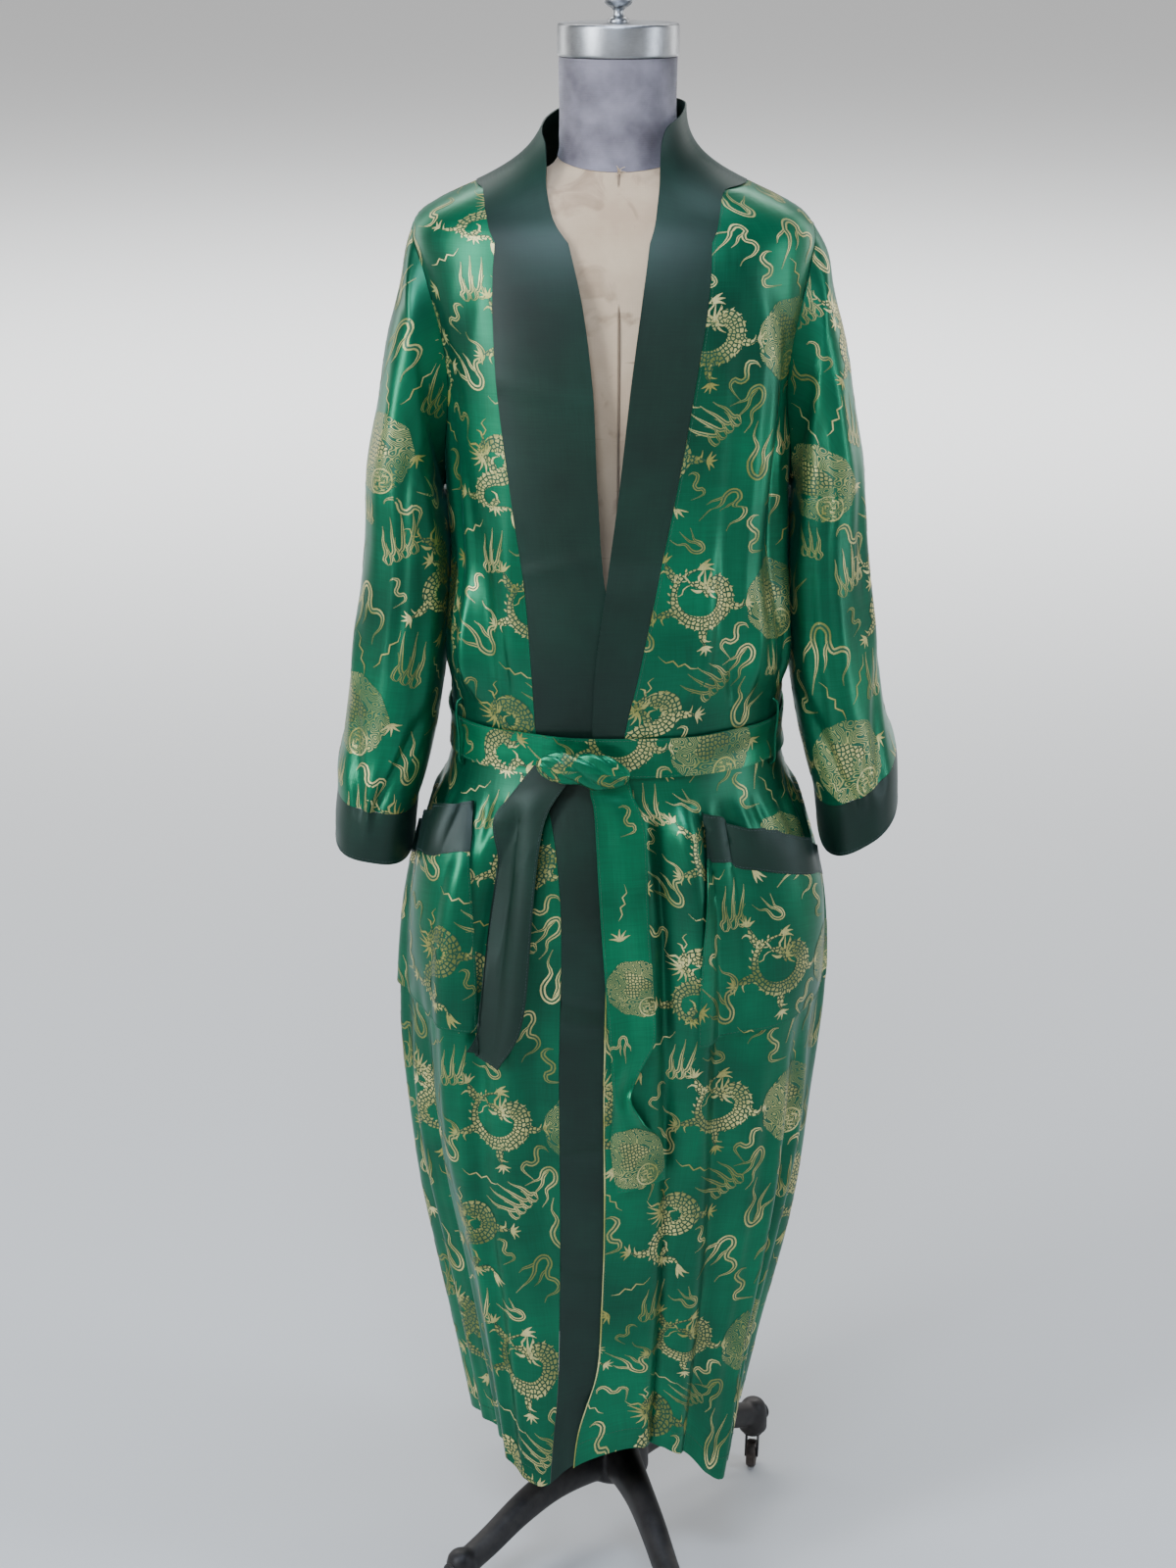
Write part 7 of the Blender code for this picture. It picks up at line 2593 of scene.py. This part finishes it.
@dataclass
class FormBuilder:
    """Builds the canvas torso, the neck cover, the steel cap and the finial."""

    surface: RobeSurface
    columns: int = 112
    cover_front: float = 1.5005
    cover_side_rise: float = 0.024
    torso_power: float = 2.3
    neck_power: float = 2.0

    def level_ring(self, row: FormRing, power: float) -> Array:
        """Return one level ring, from the front round by the left arm.

        Args:
            row: its sizes.
            power: how square it is, 2 for round.

        Returns:
            The ring's points.
        """
        turn = round_turn(self.columns)
        across = np.sin(turn)
        ahead = np.cos(turn)
        reach = squared(across, ahead, power)
        depth = np.where(ahead > 0.0, row.front, row.back)
        x = row.half_width * across * reach
        return np.stack([x, -depth * ahead * reach, np.full(x.shape, row.height)], axis=-1)

    def rings(self, torso: tuple, neck: tuple) -> tuple[list[Array], list[Array]]:
        """Return the torso's squarer rings and the neck's round ones."""
        squarer = [self.level_ring(row, self.torso_power) for row in torso]
        return squarer, [self.level_ring(row, self.neck_power) for row in neck]

    def torso(self) -> None:
        """Make the canvas torso up to under the neck cover."""
        rings, neck = self.rings(FORM_RINGS, NECK_RINGS[:4])
        turn = round_turn(self.columns)
        plain = RobeSurface(folds=MAIN_FOLDS)
        for height, gap in FORM_SHOULDERS:
            rings.append(plain.point(turn, np.full(turn.shape, height), np.full(turn.shape, -(CLOTH + gap))))
        dense, _ = smooth_rows(np.stack(rings + neck), 0.009)
        register(loft("form_torso_canvas", dense, CANVAS), Slot.CANVAS, "root", "form_torso")

    def cover(self) -> None:
        """Make the jersey cover on the neck, its lower edge higher at the sides than in front."""
        turn = round_turn(self.columns)
        shape = 1.6 - 0.6 * np.abs(np.sin(turn))
        low = self.cover_front + self.cover_side_rise * (1.0 - np.cos(turn)) * 0.5 * shape
        rows = []
        for share in np.linspace(0.0, 1.0, 26):
            height = low + (NECK_TOP - low) * share
            half_width, front, back = [along_table(NECK_RINGS, column, height)
                                       for column in ("half_width", "front", "back")]
            swell = 0.001 + 0.0004 * np.sin(3.0 * turn + 40.0 * height)
            depth = np.where(np.cos(turn) > 0.0, front, back) + swell
            x = (half_width + swell) * np.sin(turn)
            rows.append(np.stack([x, -depth * np.cos(turn), height], axis=-1))
        grid = ClothGrid.from_points(np.stack(rows), closed=True)
        cover = register(grid.shell("form_neck_cover", 0.0008, COVER), Slot.COVER, "root", "form_neck")
        radius, top = 0.0558, NECK_TOP - 0.0005
        core = turned_rings(np.array([(radius, NECK_TOP - 0.004), (radius, top), (0.0, top)]))
        register(loft("form_neck_core", core, COVER), Slot.COVER, "root")

    def seams(self) -> None:
        """Add the torso's centre-front seam and the tuft of thread where the cover ends."""
        torso, neck = self.rings(FORM_RINGS[4:], NECK_RINGS[:2])
        dense, _ = smooth_rows(np.stack(torso + neck)[:, :1], 0.004)
        ribs = ((-0.0013, 0.0002), (-0.0005, 0.0011), (0.0, 0.0004), (0.0005, 0.0011), (0.0013, 0.0002))
        lines = [dense[:, 0] + np.array([offset, -rise - 0.0002, 0.0]) for offset, rise in ribs]
        grid = ClothGrid.from_points(np.stack(lines, axis=1))
        # The seam's darker canvas is a painted shade along it
        register(grid.shell("form_front_seam", 0.0006, SEAM_CANVAS), Slot.CANVAS, "root")
        strands = []
        root = np.array([0.001, -0.0625, 1.5005])
        tips = ((-0.004, 0.004, 0.002), (-0.001, 0.006, -0.002), (0.003, 0.005, 0.002),
                (0.001, -0.005, 0.002), (-0.003, -0.003, -0.001), (0.004, 0.0, 0.002))
        for number, (dx, dz, curl) in enumerate(tips):
            middle = root + [0.5 * dx, -0.0015, 0.5 * dz + curl * 0.4]
            knots = np.array([root, middle, root + [dx + curl, -0.002, dz]])
            strands.append(tube_along("strand_%d" % number, curve_through(knots, 9), 0.00035, CANVAS, 6))
        register(join("thread_tuft", strands), Slot.CANVAS, "root")

    def metal(self) -> None:
        """Make the steel cap and the mushroom finial."""
        low = NECK_TOP + SEAM
        cap = turned("neck_cap_steel", ((0.0, CAP_TOP), (CAP_RADIUS, CAP_TOP), (CAP_RADIUS, low), (0.0, low)),
                     0.0035, 128, STEEL, 40.0)
        register(cap, Slot.STEEL, "root", "neck_cap")
        knob = curve_through(np.array((
            (0.0, FINIAL_TOP), (0.0055, FINIAL_TOP - 0.001), (0.011, FINIAL_LOW + 0.0335),
            (0.0147, FINIAL_LOW + 0.0275), (0.015, FINIAL_LOW + 0.0205), (0.0118, FINIAL_LOW + 0.0158),
            (0.006, FINIAL_LOW + 0.012), (0.0062, FINIAL_LOW + 0.006), (0.0098, FINIAL_LOW + 0.003),
            (0.0105, FINIAL_LOW + 0.0004), (0.01, FINIAL_LOW), (0.0, FINIAL_LOW))), 70)
        knob[:, 0] = np.maximum(knob[:, 0], 0.0)
        register(loft("finial_steel", turned_rings(knob, 64), STEEL), Slot.STEEL, "root", "finial")

    def build(self) -> None:
        """Make the whole form."""
        self.torso()
        self.cover()
        self.seams()
        self.metal()


def join(name: str, things: list[Thing]) -> Thing:
    """Join several mesh objects into one.

    Args:
        name: the new object's name.
        things: the objects, which are removed.

    Returns:
        The joined object.
    """
    shape = bmesh.new()
    for thing in things:
        shape.from_mesh(thing.data)
    mesh = bpy.data.meshes.new(name)
    shape.to_mesh(mesh)
    shape.free()
    for material in things[0].data.materials:
        mesh.materials.append(material)
    for thing in things:
        bpy.data.objects.remove(thing, do_unlink=True)
    mesh.shade_smooth()
    joined = bpy.data.objects.new(name, mesh)
    bpy.context.scene.collection.objects.link(joined)
    return joined


class LegSection(NamedTuple):
    """One section of a cast leg along its run from the hub."""

    run: float
    height: float
    half_tall: float
    half_wide: float


LEG_SECTIONS = tuple(LegSection(*row) for row in (
    (0.01, 0.112, 0.033, 0.022),
    (0.045, 0.111, 0.025, 0.018),
    (0.095, 0.106, 0.0195, 0.015),
    (0.145, 0.093, 0.017, 0.014),
    (0.19, 0.075, 0.0155, 0.0132),
    (0.23, 0.062, 0.0145, 0.0125),
))
LEG_ANGLES = (45, 106, 225, 286)
LEG_REACH = 0.23
HUB_TOP = 0.15
HUB_BOTTOM = 0.078
BOSS_RADIUS = 0.0165
BOSS_BOTTOM = 0.041
BOSS_TOP = 0.082
WHEEL_RADIUS = 0.016
WHEEL_HALF = 0.0052
WHEEL_BORE = 0.0031


@dataclass
class StandBuilder:
    """Builds the post, the cast base and the four casters."""

    voxel: float = 0.0022
    post_radius: float = 0.015
    leg_power: float = 2.5
    rivet_sink: float = 0.0004
    rivet_height: float = 0.061
    trail: float = 0.008
    caster_turn: float = 35.0
    axle_radius: float = 0.0025
    cheek: float = 0.0018
    cheek_clear: float = 0.0006

    def leg(self, number: int, angle: float) -> Thing:
        """Return one leg as a closed loft.

        Args:
            number: which leg.
            angle: its heading in radians.

        Returns:
            The leg.
        """
        table = curve_through(np.array(LEG_SECTIONS), 40)
        outward = np.array([cos(angle), sin(angle), 0.0])
        beside = np.array([-sin(angle), cos(angle), 0.0])
        turn = round_turn(28)
        reach = squared(np.cos(turn), np.sin(turn), self.leg_power)
        rings = []
        for run, height, half_tall, half_wide in table:
            middle = outward * run + np.array([0.0, 0.0, height])
            ring = middle + beside * (half_wide * np.cos(turn) * reach)[:, None]
            rings.append(ring + np.array([0.0, 0.0, 1.0]) * (half_tall * np.sin(turn) * reach)[:, None])
        return loft("leg_%d" % number, np.stack(rings), IRON)

    def base(self) -> None:
        """Cast the hub, the legs and the bosses as one, with soft fillets."""
        hub = ((0.0, HUB_TOP), (0.021, HUB_TOP), (0.024, HUB_TOP - 0.008), (0.037, HUB_TOP - 0.03),
               (0.038, HUB_BOTTOM + 0.01), (0.024, HUB_BOTTOM), (0.0, HUB_BOTTOM))
        parts = [turned("hub", hub, 0.005, 64, IRON)]
        boss = ((0.0, BOSS_TOP), (0.008, BOSS_TOP), (0.014, BOSS_TOP - 0.006),
                (BOSS_RADIUS, BOSS_TOP - 0.016), (BOSS_RADIUS, BOSS_BOTTOM), (0.0, BOSS_BOTTOM))
        for number, degrees in enumerate(LEG_ANGLES, start=1):
            angle = radians(degrees)
            parts.append(self.leg(number, angle))
            knob = turned_rings(rounded_profile(boss, 0.005), 40)
            knob = knob + LEG_REACH * np.array([cos(angle), sin(angle), 0.0])
            parts.append(loft("boss_%d" % number, knob, IRON))
        base = join("stand_base_casting", parts)
        skin = base.modifiers.new("skin", "REMESH")
        skin.mode = "VOXEL"
        skin.voxel_size = self.voxel
        skin.use_smooth_shade = True
        soften = base.modifiers.new("soften", "SMOOTH")
        soften.factor = 0.5
        soften.iterations = 7
        mesh = bpy.data.meshes.new_from_object(base.evaluated_get(bpy.context.evaluated_depsgraph_get()))
        mesh.shade_smooth()
        base.modifiers.clear()
        base.data = mesh
        register(base, Slot.IRON, "root", "stand_base")
        self.rivets()

    def rivets(self) -> None:
        """Add the pivot face and rivet at the outer end of each leg."""
        face = ((0.0, 0.003), (0.0025, 0.003), (0.0032, 0.0016), (0.0085, 0.0016), (0.0092, 0.0002),
                (0.0105, 0.0002), (0.0105, -0.003), (0.0, -0.003))
        away = LEG_REACH + BOSS_RADIUS - self.rivet_sink
        parts = []
        for number, degrees in enumerate(LEG_ANGLES, start=1):
            angle = radians(degrees)
            place = Matrix.Translation((away * cos(angle), away * sin(angle), self.rivet_height))
            rivet = turned("rivet_%d" % number, face, 0.0006, 40, IRON)
            outward = Matrix.Rotation(angle, 4, "Z") @ Matrix.Rotation(0.5 * pi, 4, "Y")
            rivet.data.transform(place @ outward)
            parts.append(rivet)
        register(join("stand_rivets", parts), Slot.IRON, "root")

    def post(self) -> None:
        """Turn the post that carries the torso."""
        high = FORM_RINGS[0].height - SEAM
        low = HUB_TOP + SEAM
        profile = ((0.0, high), (0.045, high), (0.045, high - 0.007), (0.019, high - 0.011),
                   (self.post_radius, high - 0.024), (self.post_radius, low), (0.0, low))
        register(turned("stand_post_rod", profile, 0.002, 64, STEEL), Slot.IRON, "root", "stand_post")

    def fork(self, axle_height: float, plate_top: float) -> Thing:
        """Return one caster fork about its swivel.

        Args:
            axle_height: the axle's height.
            plate_top: the top of its plate.

        Returns:
            The fork.
        """
        under = plate_top - 0.003
        plate = ((0.0, plate_top), (0.011, plate_top), (0.011, under), (0.0, under))
        parts = [turned("plate", plate, 0.0008, 40, IRON)]
        middle = WHEEL_HALF + self.cheek_clear + 0.5 * self.cheek
        turn = np.linspace(-pi, 0.0, 12)
        foot = np.stack([-self.trail + 0.0048 * np.cos(turn), axle_height + 0.0048 * np.sin(turn)], axis=-1)
        outline = np.concatenate([foot, [(0.007, plate_top - 0.0012), (-0.007, plate_top - 0.0012)]])
        for side in (-1, 1):
            walls = [side * middle + half for half in (-0.5 * self.cheek, 0.5 * self.cheek)]
            rings = [np.stack([outline[:, 0], np.full(len(outline), wall), outline[:, 1]], axis=-1)
                     for wall in walls]
            parts.append(loft("cheek", np.stack(rings), IRON, 30.0))
        half_pin = middle + 0.5 * self.cheek - 0.0002
        pin = ((0.0, half_pin), (self.axle_radius, half_pin), (self.axle_radius, -half_pin), (0.0, -half_pin))
        rod = turned("pin", pin, 0.0005, 24, IRON)
        axle = Matrix.Translation((-self.trail, 0.0, axle_height))
        rod.data.transform(axle @ Matrix.Rotation(0.5 * pi, 4, "X"))
        parts.append(rod)
        return join("fork", parts)

    def wheel(self) -> Thing:
        """Return one wheel about its own axis, with a worn crown and a recessed web.

        Returns:
            The wheel.
        """
        corners = [(WHEEL_BORE, WHEEL_HALF), (0.0062, WHEEL_HALF), (0.0072, 0.0036), (0.0118, 0.0034),
                   (0.0128, WHEEL_HALF - 0.0006), (0.015, WHEEL_HALF - 0.0002),
                   (WHEEL_RADIUS - 0.0002, 0.0028)]
        corners = corners + [(radius, -height) for radius, height in corners[::-1]]
        profile = rounded_profile(tuple(corners), 0.0006)
        rings = turned_rings(profile, 64)
        rings = np.concatenate([rings, rings[:1]])
        rows, columns = rings.shape[:2]
        number = np.arange(rows * columns).reshape(rows, columns)
        wheel = build_object("wheel", rings.reshape(-1, 3), quads(number, closed=True, flip=True),
                             np.zeros((rows * columns, 2)), [CASTER_IRON])
        return weld(wheel, outward=True)

    def casters(self) -> None:
        """Make a fork and a wheel under each boss."""
        apothem = WHEEL_RADIUS * cos(pi / 16)
        plate_top = BOSS_BOTTOM - SEAM
        for number, degrees in enumerate(LEG_ANGLES, start=1):
            angle = radians(degrees)
            heading = Matrix.Rotation(radians(degrees + self.caster_turn), 4, "Z")
            pivot = Matrix.Translation((LEG_REACH * cos(angle), LEG_REACH * sin(angle), 0.0))
            fork = self.fork(apothem, plate_top)
            fork.name = "caster_fork_%d_iron" % number
            fork.data.transform(pivot @ heading)
            register(fork, Slot.IRON, "caster_%d" % number, "caster_fork_%d" % number)
            wheel = self.wheel()
            wheel.name = "caster_wheel_%d_iron" % number
            wheel.data.transform(pivot @ heading @ Matrix.Translation((-self.trail, 0.0, apothem))
                                 @ Matrix.Rotation(0.5 * pi, 4, "X"))
            register(wheel, Slot.CASTER, "wheel_%d" % number, "caster_wheel_%d" % number)

    def build(self) -> None:
        """Make the whole stand."""
        self.base()
        self.post()
        self.casters()


@dataclass(frozen=True)
class SoftBox:
    """A large soft light that looks at a point."""

    name: str
    place: tuple[float, float, float]
    target: tuple[float, float, float]
    wide: float
    tall: float
    power: float
    colour: str

    def build(self) -> None:
        """Make the light."""
        data = bpy.data.lights.new(self.name, "AREA")
        data.shape = "RECTANGLE"
        data.size = self.wide
        data.size_y = self.tall
        data.energy = self.power
        data.color = hex_linear(self.colour)[:3]
        light = bpy.data.objects.new(self.name, data)
        light.location = self.place
        aim = Vector(self.target) - Vector(self.place)
        light.rotation_euler = aim.to_track_quat("-Z", "Y").to_euler()
        bpy.context.scene.collection.objects.link(light)


@dataclass
class Studio:
    """Pale floor, soft lights, a bright surround and the camera at the photo's angle."""

    surround: str = "#FFFFFF"
    front_strength: float = 0.02
    rear_strength: float = 0.3
    horizon_strength: float = 0.62
    camera_place: tuple[float, float, float] = (-0.029, -2.89, 1.76)
    camera_tilt: float = 73.0
    lens: float = 67.5
    lights: tuple[SoftBox, ...] = (
        SoftBox("key_left", (-2.3, -1.9, 2.2), (0.0, 0.0, 1.2), 0.8, 2.4, 105.0, "#EFF6FF"),
        SoftBox("fill_right", (2.6, -0.9, 1.6), (0.0, 0.0, 1.0), 0.5, 2.4, 34.0, "#E6F0FF"),
        SoftBox("front_high", (-0.3, -2.4, 3.3), (0.0, 0.0, 1.4), 1.1, 0.6, 66.0, "#D8E7FF"),
        SoftBox("top", (0.1, -0.3, 3.3), (0.0, -0.05, 1.3), 1.2, 0.6, 30.0, "#DEEAFF"),
        SoftBox("rim_left", (-1.9, 1.4, 1.9), (0.0, 0.0, 1.1), 0.6, 1.8, 14.0, "#FFFFFF"),
        SoftBox("rim_right", (1.9, 1.4, 1.9), (0.0, 0.0, 1.1), 0.6, 1.8, 14.0, "#FFFFFF"),
        SoftBox("behind", (0.0, 7.0, 7.0), (0.0, 11.0, 0.0), 9.0, 5.0, 2200.0, "#FFFFFF"),
    )

    def floor(self) -> None:
        """Lay the floor."""
        size = 60.0
        points = np.array([(-size, -size, 0.0), (size, -size, 0.0), (size, size, 0.0), (-size, size, 0.0)])
        floor = build_object("studio_floor", points, [[0, 1, 2, 3]], points[:, :2], [FloorPaint()])

    def build(self) -> None:
        """Set up the floor, the surround, the lights and the camera."""
        self.floor()
        world = bpy.data.worlds.new("studio")
        world.use_nodes = True
        tree = world.node_tree
        background = tree.nodes["Background"]
        background.inputs["Color"].default_value = hex_linear(self.surround)
        add = partial(add_node, tree)
        parts = add("SeparateXYZ", add("TexCoord").outputs["Generated"])
        sweep = add("MapRange", parts.outputs["Y"], 0.1, 0.8, self.front_strength, self.rear_strength,
                    interpolation_type="SMOOTHSTEP")
        haze = add("MapRange", parts.outputs["Z"], 0.02, 0.36, self.horizon_strength, 0.0,
                   interpolation_type="SMOOTHSTEP")
        feed(background.inputs["Strength"], add("Math", sweep, haze, operation="MAXIMUM"))
        bpy.context.scene.world = world
        for light in self.lights:
            light.build()
        data = bpy.data.cameras.new("photo_camera")
        data.lens = self.lens
        data.sensor_width = 36.0
        camera = bpy.data.objects.new("photo_camera", data)
        camera.location = self.camera_place
        camera.rotation_euler = (radians(self.camera_tilt), 0.0, 0.0)
        bpy.context.scene.collection.objects.link(camera)
        bpy.context.scene.camera = camera


def main() -> None:
    """Build the object and its studio."""
    logging.basicConfig(level=logging.INFO, format="%(name)s %(message)s")
    robe = RobeBuilder()
    form = FormBuilder(robe.surface)
    form.build()
    robe.front_right()
    robe.front_left()
    robe.back()
    robe.bands()
    SleeveBuilder(robe).build()
    PocketBuilder(robe).build()
    BeltBuilder(robe).build()
    StandBuilder().build()
    Studio().build()


if __name__ == "__main__":
    main()
